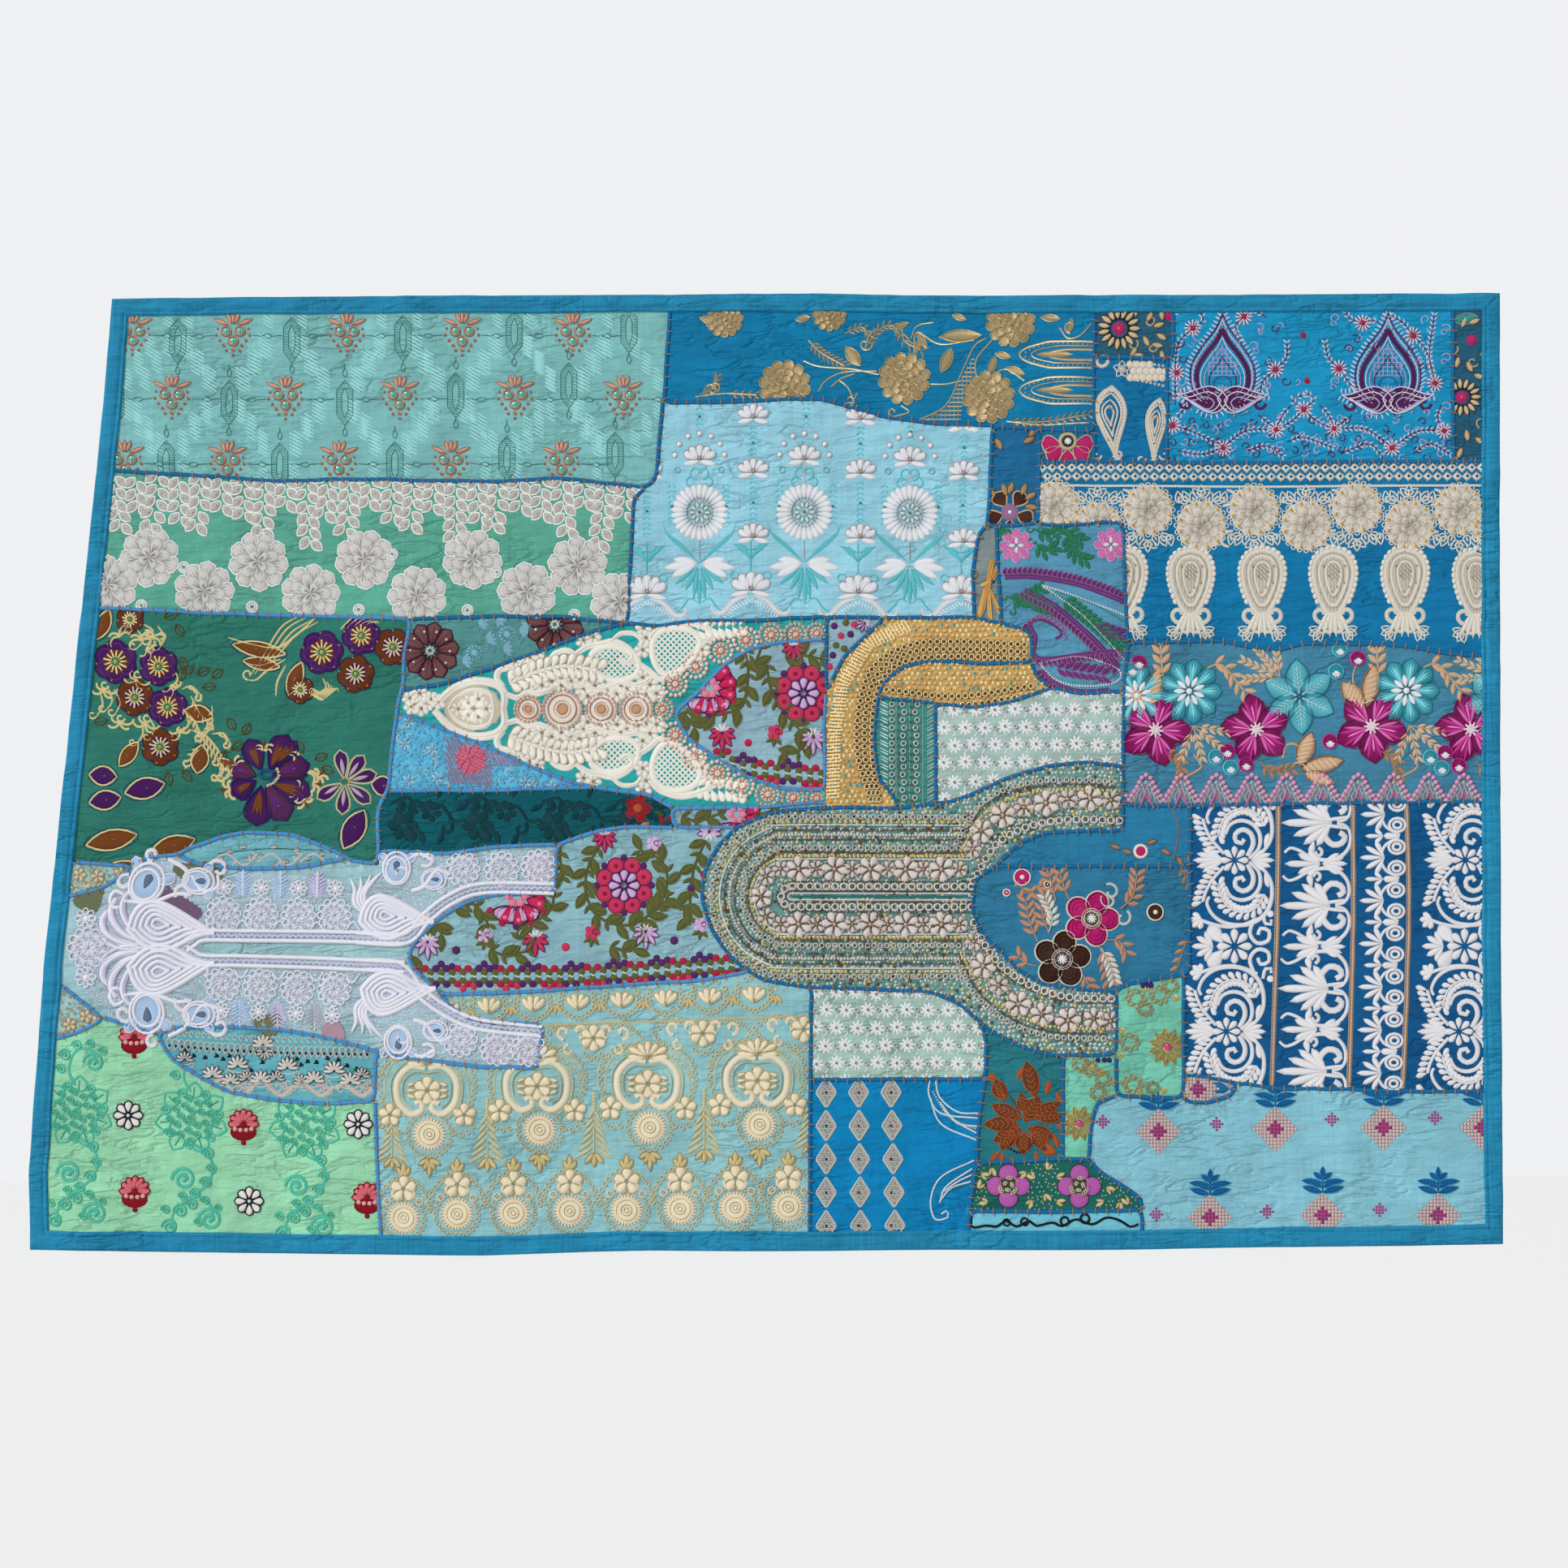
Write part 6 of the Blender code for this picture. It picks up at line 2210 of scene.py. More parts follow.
def sewLilacClover():
    lilacPetal = lilacCloverTints["lilacPetal"]
    for x in (1242, 1329):
        for k in range(4):
            right, down = turned(15, 0, 90 * k)
            stamp("dome", x + right, 1461 + down, 24, 24, 90 * k, 0.8, lilacPetal, kind="thread")
            lay(around(x + right, 1461 + down, 24, 24, 12), 1.1, (60, 30, 60), 0.6)
        stamp("dome", x, 1461, 25, tint=(60, 70, 40), high=1.0)
        lay(around(x, 1461, 26, 26, 16), 1.6, gold, 1.4, "metal")
        for k in range(16):
            stamp(
                "ring", x + 5 * (1 + k % 2) * math.cos(k), 1461 + 5 * (1 + k % 2) * math.sin(k), 5,
                tint=cream, high=1.0, base=0.9,
            )
    for k, (x, y) in enumerate((
        (1208, 1447), (1222, 1438), (1265, 1444), (1275, 1452), (1290, 1442), (1300, 1450), (1286, 1470),
        (1272, 1478), (1218, 1482), (1224, 1470), (1355, 1446), (1362, 1462), (1380, 1480), (1360, 1480),
        (1390, 1484), (1205, 1465), (1300, 1480), (1256, 1490),
    )):
        edged("leaf", x, y, 13, 6, k * 67 % 360, (220, 196, 150), (90, 120, 60), 0.9)
        edged("leaf", x, y, 11, 5, k * 67 % 360 + 40, (220, 196, 150), (90, 120, 60), 0.9)
    for x, y in spots([(1200, 1435), (1350, 1432), (1412, 1490), (1196, 1492)], 6.5, 5.5, 0.5, 1.2, 5):
        if min(abs(x - 1242), abs(x - 1329)) > 24:
            stamp("bead", x, y, 2.3, tint=(210, 205, 180), high=0.7)


def sewBlackCurl():
    thread([
        (1197, 1498), (1198, 1512), (1215, 1510), (1228, 1511), (1240, 1504), (1252, 1511), (1268, 1504),
        (1276, 1510), (1296, 1506), (1308, 1510), (1325, 1502), (1345, 1508), (1362, 1500), (1378, 1503),
        (1392, 1511), (1402, 1508),
    ], 3.6, (18, 18, 24), high=1.0)
    for x, y, size in ((1240, 1506, 11), (1262, 1505, 12), (1311, 1504, 13), (1336, 1501, 14)):
        stamp("ring", x, y, size, tint=(18, 18, 24), high=1.2)


def sewBlueStrip():
    beigeLeaves(
        (1395, 1052, -160), (1412, 1040, -20), (1380, 1046, 200), (1430, 1046, 30), (1450, 1055, 60),
        (1466, 1050, 100), tint=(170, 130, 95), long=14, wide=6,
    )
    for x, y, size in ((1405, 1049, 15), (1260, 1081, 12)):
        stamp("dome", x, y, size, tint=magenta, high=1.2)
        stamp("ring", x, y, size + 4, tint=cream, high=1.0)
    thread([(1440, 990), (1452, 1020), (1446, 1060)], 1.6, (150, 110, 80))


blueFlowersTints = {"brownPetal": (62, 34, 22), "bud": (190, 140, 110)}


def padFlower(petal, seam, rim, heart):
    for k in range(5):
        way = 72 * k - 90
        x, y = turned(20, 0, way)
        stamp("dome", x, y, 30, 28, way, 0.9, petal)
        lay(around(x, y, 30, 28, 16, way), 2.2, rim, 1.0)
        for far in (1.0, 0.72, 0.45):
            lay(
                around(*turned(20 - (1 - far) * 6, 0, way), 26 * far, 24 * far, 12, way), 1.2, seam, 1.0,
                base=0.3,
            )
    for size, tint in ((25, heart), (20, (60, 70, 54)), (12, cream)):
        stamp("dome", 0, 0, size, tint=tint, high=1.2, base=(25 - size) * 0.04)
        lay(around(0, 0, size, count=14), 2.0, cream, 1.4)
    ringOf(9, 2, "stitch", 7, 2, tint=white, base=2.0)


def sewBlueFlowers():
    brownPetal, bud = blueFlowersTints.values()

    repeat(
        lambda: padFlower(brownPetal, (40, 20, 12), (226, 214, 196), (150, 96, 140)),
        [(1308, 1182, 8, 1.02)],
    )
    repeat(lambda: padFlower((190, 20, 110), (130, 8, 70), (236, 216, 200), cream), [(1344, 1132, 20, 1.0)])
    for x, y, size, tint in (
        (1423, 1124, 20, brownPetal), (1259, 1081, 20, (190, 20, 110)), (1240, 1100, 8, magenta),
        (1290, 1090, 8, brownPetal),
    ):
        stamp("dome", x, y, size, tint=tint, high=1.1)
        stamp("dome", x, y, size * 0.4, tint=cream, high=1.5)
        lay(around(x, y, size, count=14), 2.2, cream, 1.3)
    for line in (
        ((1278, 1160), (1268, 1136), (1264, 1112)), ((1292, 1150), (1284, 1128), (1286, 1104)),
        ((1352, 1164), (1360, 1180), (1366, 1206)), ((1362, 1158), (1378, 1160), (1386, 1172)),
        ((1300, 1110), (1296, 1092), (1290, 1072)), ((1316, 1108), (1310, 1092), (1306, 1078)),
        ((1330, 1196), (1340, 1212), (1346, 1222)), ((1276, 1190), (1266, 1188), (1256, 1180)),
        ((1380, 1120), (1395, 1105), (1400, 1080)),
    ):
        sprig(line, 1.8, bud, 10, 16, 6.5, high=0.9)
        sprig(line, 1.0, (222, 184, 154), 10, 10, 2, high=1.3)
    for line in (((1292, 1148), (1296, 1130), (1288, 1108)), ((1356, 1168), (1366, 1186), (1372, 1206))):
        sprig(line, 1.6, (214, 216, 206), 7, 13, 6, high=1.4)
    for x, y, way, side in ((1362, 1090, -30, 1), (1388, 1122, 30, 1), (1356, 1104, 120, -1)):
        curl(x, y, 11, way, 4, (206, 216, 206), side, high=1.4)
    sprig([(1468, 1150), (1458, 1170), (1452, 1190)], 1.2, bud, 12, 13, 6, sides=(1,))
    sprig([(1470, 1030), (1455, 1060), (1468, 1095)], 1.2, (170, 130, 95), 9, 12, 5)
    sprig([(1254, 1070), (1262, 1100), (1280, 1094)], 1.2, bud, 12, 13, 6)


silverDiamondsTints = {"bright": (206, 204, 194)}


def sewSilverDiamonds():
    bright = silverDiamondsTints["bright"]
    for x, lean in ((1018, 0), (1058, 2), (1098, 4)):
        for row, y in enumerate((1346, 1387, 1428, 1469, 1510)):
            rim = np.array([(0, -19), (12.5, 0), (0, 19), (-12.5, 0), (0, -19)]) + (x + lean * 0.3 * row, y)
            hatch(rim, 3, 0, 3.2, (188, 186, 178), high=0.6)
            lay(evenly(rim, 4), 2.6, bright, 1.0)
            for a, b in (
                (0, 0), (0, -7), (0, 7), (-5, 0), (5, 0), (-3, -5), (3, -5), (-3, 5), (3, 5), (0, 12),
                (0, -12),
            ):
                stamp("bead", rim[1][0] - 12.5 + a, y + b, 3.4, tint=bright, kind="metal", high=1.5)
            stamp("bead", x, y, 4, tint=dark, high=1.7)
    line = (224, 226, 228)
    for points in (
        ((1146, 1330), (1145, 1350), (1160, 1372), (1205, 1378)),
        ((1153, 1330), (1158, 1352), (1180, 1370), (1206, 1372)),
        ((1146, 1352), (1160, 1385), (1204, 1405)), ((1162, 1366), (1180, 1384), (1204, 1388)),
        ((1158, 1358), (1176, 1380), (1203, 1396)),
        ((1200, 1430), (1160, 1450), (1147, 1478), (1152, 1502), (1168, 1500), (1166, 1492), (1160, 1496)),
        ((1198, 1440), (1166, 1462), (1158, 1482)), ((1196, 1456), (1172, 1464), (1158, 1480)),
        ((1197, 1448), (1180, 1456), (1160, 1470)),
    ):
        thread(points, 2.2, line, high=1.1)
    chain([(1150, 1346), (1170, 1376), (1205, 1392)], 3.6, "bead", 2.6, tint=line, high=1.2)


# the middle
def photoOutline(node):
    return np.stack(onPhoto(*outlines[node].T), 1)


def pearlScallop(size=15):
    stamp("dome", 0, 0, size * 1.1, tint=(232, 214, 196), high=0.7)
    ringOf(10, size * 0.34, "stitch", size * 0.3, 2.2, tint=copper, kind="metal", high=0.8, base=0.5)
    stamp("ring", 0, 0, size * 0.66, tint=copper, kind="metal", high=1.2, base=0.3)
    stamp("bead", 0, 0, size * 0.26, tint=white, kind="bead", high=1.6)
    ringOf(15, size * 0.8, "bead", 5, tint=(230, 194, 174), kind="bead", high=1.9)


# shade is painted shade in the ivory lace
ivoryLaceTints = {"lace": (252, 247, 234), "shade": (222, 208, 182)}
lace, shade = ivoryLaceTints.values()


def laceDaisy(size=8):
    ringOf(6, size * 0.1, "petal", size * 0.95, size * 0.85, tint=lace, high=1.1)
    # painted shade: a darker ring at the daisy's heart
    stamp("ring", 0, 0, size * 0.5, tint=shade, high=1.3)
    stamp("bead", 0, 0, 2.4, tint=gold, kind="bead", high=1.6)


def laceLine(*points, wide=8.0, taper=0.25):
    thread(points, wide, lace, high=1.2, taper=taper, rows=4)
    if wide > 6:
        # painted shade: a dark line along the middle of a wide cord
        thread(points, 1, shade, high=1.4)


def netPaisley(rim):
    rim = flowing(rim, closed=True)
    for way in (45, 135):
        hatch(rim, 5.2, way, 2.4, lace, high=0.7)
    lay(rim, 9, lace, 1.2, rows=4)
    chain(rim[::3], 6.5, "dome", 8, tint=lace, high=1.1)


laceMiddle = 874  # px, the row that the lace is mirrored in


def laceHead():
    # painted shade: a darker dome under the lace head, showing between its daisies
    stamp("dome", 584, 873, 73.5, 59.2, 0, 0.5, shade)
    for x, y in (
        (506, 861), (518, 855), (520, 874), (532, 862), (512, 869), (527, 868), (541, 866), (508, 872),
        (577, 867), (577, 881), (590, 862), (590, 884), (600, 874), (565, 874),
    ):
        repeat(laceDaisy, at(x, y, x * 3, 1.25))
    repeat(laceDaisy, at(584, 874, 0, 2.0))


def laceBranches():
    for side in (-1, 1):

        def mirror(*points):
            return [(x, laceMiddle + side * (laceMiddle - y)) for x, y in points]

        laceLine(*mirror(
            (536, 872), (547, 860), (561, 848), (584, 840), (610, 843), (622, 855), (621, 874)
        ), wide=12)
        laceLine(*mirror((554, 874), (563, 860), (584, 851), (604, 856), (610, 874)), wide=7)
        laceLine(*mirror((621, 847), (613, 837), (616, 826), (630, 823), (637, 832), (630, 839)), wide=10)
        laceLine(*mirror((634, 842), (646, 834), (653, 822), (648, 812), (641, 821)), wide=9)
        laceLine(*mirror((622, 855), (638, 860), (649, 853), (663, 855), (682, 849)), wide=9)
        stem = flowing(mirror((628, 842), (663, 828), (699, 821), (735, 826)))
        lay(stem, 7, lace, 1.2, rows=4)
        for x, y, way in along(stem, 9):
            for lean in (-55, 55):
                # painted shade round each petal's rim
                edged("petal", x, y, 18, 12, way + lean, lace, shade, 0.7, high=1.2)
        for x, y in mirror(
            (668, 845), (680, 840), (692, 845), (704, 840), (719, 849), (714, 837), (733, 845), (653, 842),
            (748, 850), (760, 855), (772, 849), (740, 855), (786, 854), (801, 844), (809, 855), (796, 856),
            (724, 858), (690, 835), (669, 835), (765, 845),
        ):
            repeat(laceDaisy, [(x, y, x * 3, 1.45)])
        laceLine(*mirror((700, 840), (719, 846), (740, 849), (765, 842), (786, 844), (801, 837)), wide=8)
        laceLine(*mirror((673, 821), (684, 806), (700, 802), (709, 811), (701, 819)), wide=9)
        laceLine(*mirror(
            (709, 807), (724, 797), (740, 794), (755, 791), (769, 796), (780, 807), (773, 817), (764, 811)
        ), wide=10)
        netPaisley(mirror(
            (729, 807), (745, 797), (765, 799), (784, 810), (786, 828), (770, 838), (750, 837), (734, 826)
        ))
        netPaisley(mirror(
            (808, 784), (827, 774), (852, 778), (863, 793), (852, 814), (832, 830), (814, 828), (804, 806)
        ))
        laceLine(*mirror((786, 817), (800, 827), (812, 837), (822, 835), (819, 827)), wide=9)
        laceLine(*mirror(
            (801, 787), (812, 775), (837, 767), (862, 771), (878, 780), (872, 790), (863, 787)
        ), wide=10)
        laceLine(*mirror((791, 789), (781, 781), (765, 781), (755, 789)), wide=7)
        for x, y, way in along(flowing(mirror((860, 778), (878, 774), (893, 774), (911, 772))), 8):
            for lean in (-60, 60):
                stamp("petal", x, y, 16, 11, way + lean, 1.2, lace)
        for x, y in mirror(
            (653, 810), (662, 805), (719, 789), (731, 785), (793, 774), (865, 801), (857, 817), (792, 801),
            (635, 814), (796, 786), (712, 825), (792, 835),
        ):
            repeat(laceDaisy, [(x, y, x * 3, 1.3)])


def laceRosettes():
    for x, size in ((651, 17), (693, 25), (741, 20), (784, 21)):
        stamp("dome", x, laceMiddle, size * 1.8, tint=(244, 234, 220), high=0.8)
        stamp("dome", x, laceMiddle, size * 0.95, tint=(206, 158, 122), high=1.1)
        for far, thick in ((0.24, 1.2), (0.42, 1.6), (0.7, 3)):
            lay(around(x, laceMiddle, size * 2 * far), thick, copper, 1.4)
        ringOf(14, size * 0.1, "stitch", size * 0.3, 1.2, tint=(160, 110, 80), high=0.8, base=0.8)
        chain(around(x, laceMiddle, size * 1.9), 5, "bead", 5.2, tint=(236, 200, 180), kind="bead", high=2.1)


def pearlEdge():
    repeat(pearlScallop, [
        (816, 874, -90, 1.1), (832, 843, -40, 1.2), (857, 821, -40, 1.2), (888, 802, -30, 1.2),
        (919, 789, -20, 1.2), (950, 783, -5, 1.15), (980, 782, 0, 1.1), (1006, 781, 0, 1.0),
        (832, 906, 220, 1.2), (856, 932, 220, 1.2), (884, 953, 215, 1.2), (914, 968, 205, 1.2),
        (946, 979, 190, 1.15), (977, 983, 180, 1.1), (1006, 984, 180),
    ])


def sewIvoryLace():
    laceHead()
    laceBranches()
    laceRosettes()
    pearlEdge()


olive, purpleBerry, lilacBerry, pinkBerry = (96, 100, 52), (86, 36, 100), (214, 178, 220), (206, 54, 96)


def bigBerry():
    for k in range(8):
        right, down = turned(26, 0, 45 * k + 22)
        stamp("dome", right, down, 21, tint=pinkBerry, high=1.0)
        lay(around(right, down, 21, 21, 12), 1.3, (120, 20, 60), 0.8)
        stamp("dome", right, down, 8, tint=(150, 20, 60), high=1.5)
        stamp("dome", *turned(34, 0, 45 * k), 9, tint=purpleBerry, high=1.1)
        edged("petal", *turned(4, 0, 45 * k), 16, 12.5, 45 * k, lilacBerry, purpleBerry, 2.4, high=1.5)
    stamp("ring", 0, 0, 9, tint=(150, 90, 160), high=1.9)


def pinkHead():
    petal = (206, 36, 92)
    for k in range(7):
        way = 100 - 180 + k * 33
        edged("petal", *turned(10, 0, way), 20, 18, way, petal, (120, 16, 60), 1.4, high=1.1)
        stamp("dome", *turned(24, 0, way), 6, tint=(240, 120, 150), high=1.5)
    for k in range(6):
        stamp("dome", *turned(8, 0, 60 * k), 9, tint=(236, 130, 160), high=1.5)
    for x, way in ((-15, 132), (-5, 104), (5, 76), (15, 48)):
        edged("petal", x * 0.6, 10, 17, 15, way, lilacBerry, purpleBerry, 2.2, high=1.0)
    for way in (30, 62, 90, 118, 150):
        stamp("dome", *turned(30, 0, way), 8, tint=(180, 30, 70) if way != 90 else purpleBerry, high=1.1)


def lotusBerry(tint=pinkBerry, size=24, spread=200):
    for k in range(7):
        way = 90 + spread * (k / 6 - 0.5)
        edged("leaf", 0, 0, size * (1 - 0.12 * abs(k - 3)), size * 0.3, way, tint, purpleBerry, 1.1, high=0.9)
    ringOf(4, 0, "leaf", size * 0.5, 5, spread=110, tint=white, high=1.0)


def tinyBerry(tint=lilacBerry):
    ringOf(5, 1, "dome", 9, tint=tint, high=1.0)
    for k in range(5):
        stamp("dome", *turned(6, 0, 72 * k), 8.5, tint=tint, high=1.1)
    stamp("ring", 3, -1, 8, tint=purpleBerry, high=1.5)
    for way in (50, 100, 150):
        stamp("leaf", 0, 6, 13, 6, way, 0.8, olive)


def berryVines(*lines):
    for line in lines:
        thread(line, 4.2, olive, high=0.9, taper=0.3)
        for k, (x, y, way) in enumerate(along(flowing(line), 15)):
            side = (-1) ** k
            edged("leaf", x, y, 23, 11, way + side * 42, olive, (128, 134, 70), 1.2, high=0.9)
            stamp("leaf", x, y, 14, 6, way - side * 50, 0.9, olive)
            if k % 2:
                curl(x, y, 8.5, way - side * 40, 4, olive, side, high=0.8)


def berryBorder(points):
    for k, (x, y, _) in enumerate(along(points, 13.2)):
        main = (pinkBerry, purpleBerry)[k // 2 % 2]
        for side in (-1, 1):
            stamp("dome", x, y + side * 5, 9.5, tint=olive, high=1.1)
            if k % 2 == 0:
                fill = (180, 30, 66) if main == pinkBerry else purpleBerry
                for lean in (-1, 1):
                    stamp("dome", x + side * 6.5, y + lean * 9.5, 10.5, 9.5, 0, 1.2, fill)
        stamp("dome", x, y + (15 if k % 2 == 0 else 12) * (-1) ** (k // 2), 9.5, tint=main, high=1.3)
        stamp("stitch", x, y, 7, 2, 45, 1.5, white)


def sewBerryOgee():
    repeat(bigBerry, [(990, 855)])
    repeat(pinkHead, [(874, 848, 0, 1.15)])
    repeat(lotusBerry, [(890, 903)])
    repeat(lotusBerry, [(978, 797, 0, 0.9)], spread=190)
    repeat(tinyBerry, [(955, 903)], tint=pinkBerry)
    repeat(lotusBerry, [(1002, 908)], tint=lilacBerry)
    stamp("dome", 922, 916, 10, tint=(190, 30, 70), high=1.2)
    berryVines(
        ((918, 800), (922, 830), (915, 870), (892, 880), (850, 888)),
        ((945, 820), (950, 850), (962, 872), (985, 900)), ((968, 812), (985, 808), (1010, 812)),
        ((1000, 900), (985, 925), (970, 930)), ((840, 878), (856, 896)), ((930, 820), (938, 800)),
    )
    berryBorder([(890, 936), (920, 948), (1012, 958)])


def sewBerryWide():
    repeat(bigBerry, [(769, 1091)])
    repeat(pinkHead, [(637, 1104, 0, 1.25)])
    repeat(lotusBerry, [(660, 1156), (745, 1030, 0, 0.9)])
    repeat(lotusBerry, [(528, 1160), (796, 1147), (874, 1026, 180)], tint=lilacBerry)
    repeat(tinyBerry, [(598, 1153), (806, 1040), (864, 1140)], tint=lilacBerry)
    repeat(tinyBerry, [(730, 1149)], tint=pinkBerry)
    for x, y, tint in (
        (697, 1167, pinkBerry), (563, 1171, purpleBerry), (831, 1159, purpleBerry),
        (868, 1078, (170, 30, 80)), (852, 1095, purpleBerry),
    ):
        stamp("dome", x, y, 11, tint=tint, high=1.2)
    berryVines(
        ((560, 1120), (585, 1115), (602, 1140), (598, 1150)),
        ((640, 1158), (640, 1145), (672, 1128), (682, 1108), (678, 1062)),
        (
            (738, 1045), (725, 1068), (722, 1100), (738, 1130), (775, 1140), (808, 1120), (822, 1090),
            (816, 1062), (790, 1048),
        ),
        ((800, 1130), (825, 1108), (845, 1118)), ((870, 1036), (858, 1062), (852, 1090), (850, 1130)),
        ((604, 1170), (625, 1178), (650, 1172)), ((752, 1166), (775, 1172), (790, 1160)),
        ((520, 1185), (512, 1190)), ((530, 1132), (545, 1150)), ((690, 1050), (692, 1080)),
    )
    berryBorder([(518, 1203), (700, 1203), (780, 1198), (915, 1188)])


def sewBerryCorner():
    for k, (x, y) in enumerate((
        (1028, 772), (1042, 768), (1036, 784), (1048, 782), (1030, 796), (1052, 770), (1026, 808),
        (1040, 800), (1022, 822),
    )):
        stamp("dome", x, y, 9, tint=(purpleBerry, olive, pinkBerry)[k % 3], high=1.2)
    repeat(lotusBerry, [(1066, 768, 60, 0.6)], tint=lilacBerry)


def sewBerrySliver():
    repeat(pinkHead, [(908, 1004)])
    berryVines(((840, 1006), (860, 1012), (885, 1004)), ((930, 1006), (950, 1000)))


def goldField(node, *ringLines):
    chance = np.random.default_rng(5)
    taken = np.concatenate([flowing(line) for line in ringLines])
    for x, y in spots(photoOutline(node), 7.0, 6.2, 0.5, 0.6, 8):
        pick = chance.uniform()
        if np.hypot(*(taken - (x, y)).T).min() < 5.6:
            continue
        tint = (70, 176, 172) if pick < 0.13 else (255, 236, 168) if pick < 0.6 else (246, 212, 140)
        stamp(
            "sequin" if pick > 0.6 else "bead", x, y, 4.8, high=1.4, tint=tint,
            kind="bead" if pick < 0.6 else "metal",
        )
    for line in ringLines:
        # painted shade: a dark brown band under each ring chain, and a dark bead in each ring's hole
        lay(flowing(line), 8, (140, 102, 50), 0.3)
        chain(line, 8.2, "ring", 8.4, tint=(248, 226, 166), kind="bead", high=1.7)
        chain(line, 8.2, "bead", 2.6, tint=(120, 84, 40), kind="bead", high=1.2)


def sewGoldArch():
    lines = [
        [
            (1084 - far * 0.5, 985), (1078 - far, 930), (1080 - far, 870),
            (1094 - far * 0.8, 834 - far * 0.6), (1122, 816 - far), (1180, 812 - far), (1262, 816 - far),
        ]
        for far in (3, 12, 21)
    ]
    goldField("gold_arch", *lines)
    for x, y, way in along([(1018, 980), (1020, 900), (1030, 840), (1062, 790), (1110, 768)], 4.4):
        stamp("stitch", x + 8, y + 3, 17, 2.8, way + 84, 0.8, (240, 210, 146), kind="bead", base=0.9)


def sewGoldLens():
    goldField("gold_lens", [(1092, 850), (1180, 858), (1270, 846)], [(1098, 861), (1180, 869), (1250, 860)])


sequinColumnsTints = {"pearl": (214, 214, 196), "bronze": (120, 98, 76)}


def sewSequinColumns():
    pearl, bronze = sequinColumnsTints.values()
    for x in (1104, 1121, 1137):
        chain([(x, 860), (x, 1000)], 3.4, "stitch", 3.6, 1.4, tint=(150, 176, 164), high=0.8)
    for y in np.arange(866, 997, 9.6):
        for x, lean in ((1091, 1), (1145, -1)):
            for k in range(2):
                stamp(
                    "stitch", x - lean * 2, y + k * 3.6, 11, 1.7, lean * 28, 0.8, (222, 226, 214),
                    kind="metal",
                )
        for x in (1099, 1113 + 1.5 * math.sin(y), 1129 - 2 * math.sin(y)):
            stamp("ring", x, y + 2, 7.6, tint=pearl, kind="bead", high=1.4)
            stamp("bead", x, y + 2, 2.4, tint=bronze, kind="bead", high=1.2)
        for x in (1107, 1121, 1124):
            stamp("bead", x, y + 5, 3.4, tint=bronze, kind="bead", high=1.4)


def sewDaisies(node, across, down):
    rim = photoOutline(node)
    wide = (rim - rim.mean(0)) * 1.12 + rim.mean(0)
    for k, (x, y) in enumerate(spots(wide, across, down, 0.5, 0.8, 3)):
        for n in range(9):
            u, v = turned(5.2, 0, n * 40 + k * 23)
            stamp("stitch", x + u, y + v, 8.4, 3.6, n * 40 + k * 23, 1.0, white)
        stamp("ring", x, y, 4.2, tint=(206, 190, 150), high=1.3)
        u, v = x + across * 0.5, y
        stamp("ring", u, v, 6.4, tint=white, high=1.6)
        thread([(u, v + 4), (u + 2, v + down * 0.3), (u - 1, v + down * 0.5)], 1.9, white, high=0.6)


def beads(line, step, shape, size, tint):
    chain(
        line, step, shape, size, tint=tint, kind="bead" if shape == "bead" else "thread", high=2.0, base=0.3
    )


neckTints = {"pale": (242, 236, 226), "amber": (240, 216, 126), "bronze": (116, 92, 72)}
pale, amber, bronze = neckTints.values()
neckSlot = 1105  # px, the row of the slot's middle


def neckBeads():  # strewn, and thinner beside the slot
    chance = np.random.default_rng(17)
    for x, y in spots(photoOutline("beaded_neck"), 5.6, 5.3, 0.5, 1.0, 7):
        away = math.hypot(max(975 - x, 0, x - 1196) if x < 1196 else 0, y - neckSlot)
        if (x < 1198 and (away < 7 or 21 < away < 47)) and chance.uniform() < 0.5:
            continue
        pick = chance.uniform()
        tint = amber if pick > 0.9 else bronze if pick > 0.8 else (96, 150, 146) if pick < 0.08 else pale
        stamp(
            "ring" if pick < 0.3 else "bead", x, y, 3.6 + 1.4 * pick, high=0.9 + pick, tint=tint,
            kind="bead" if pick > 0.9 else "thread",
        )


def neckFlowers():
    blossoms = [
        (x, neckSlot + side * 34, 15 if k % 2 else 10)
        for side in (-1, 1) for k, x in enumerate(np.arange(962, 1200, 22))
    ]
    blossoms += [
        (938, 1105, 13), (944, 1080, 11), (944, 1130, 11), (1209, 1024, 14), (1235, 1005, 15),
        (1261, 995, 12), (1288, 990, 15), (1315, 985, 12), (1342, 984, 15), (1368, 986, 12),
        (1198, 1046, 11), (1200, 1160, 11), (1211, 1190, 15), (1230, 1214, 12), (1254, 1237, 15),
        (1283, 1250, 14), (1315, 1257, 15), (1347, 1255, 13), (1368, 1258, 12),
    ]
    for x, y, size in blossoms:
        for k in range(6):
            way = 360 * k / 6 + x
            right, down = turned(size * 0.15, 0, way)
            edged(
                "petal", x + right, y + down, size, size * 0.78, way, (226, 216, 210), (150, 130, 118), 0.9,
                high=1.4, base=0.3,
            )
            right, down = turned(size * 0.6, 0, way + 30)
            stamp("bead", x + right * 1.5, y + down * 1.5, 3.4, high=2.2, tint=pale, kind="bead")
        stamp("bead", x, y, size * 0.4, high=2.6, tint=(196, 150, 120) if size > 12 else amber, kind="bead")


def capsule(away):  # a line round the slot's left end
    bend = [
        (975 - away * math.sin(t), neckSlot - away * math.cos(t))
        for t in np.linspace(0.3, math.pi - 0.3, 7)
    ]
    return [
        (1197, neckSlot - away), (975, neckSlot - away), *bend, (975, neckSlot + away),
        (1197, neckSlot + away),
    ]


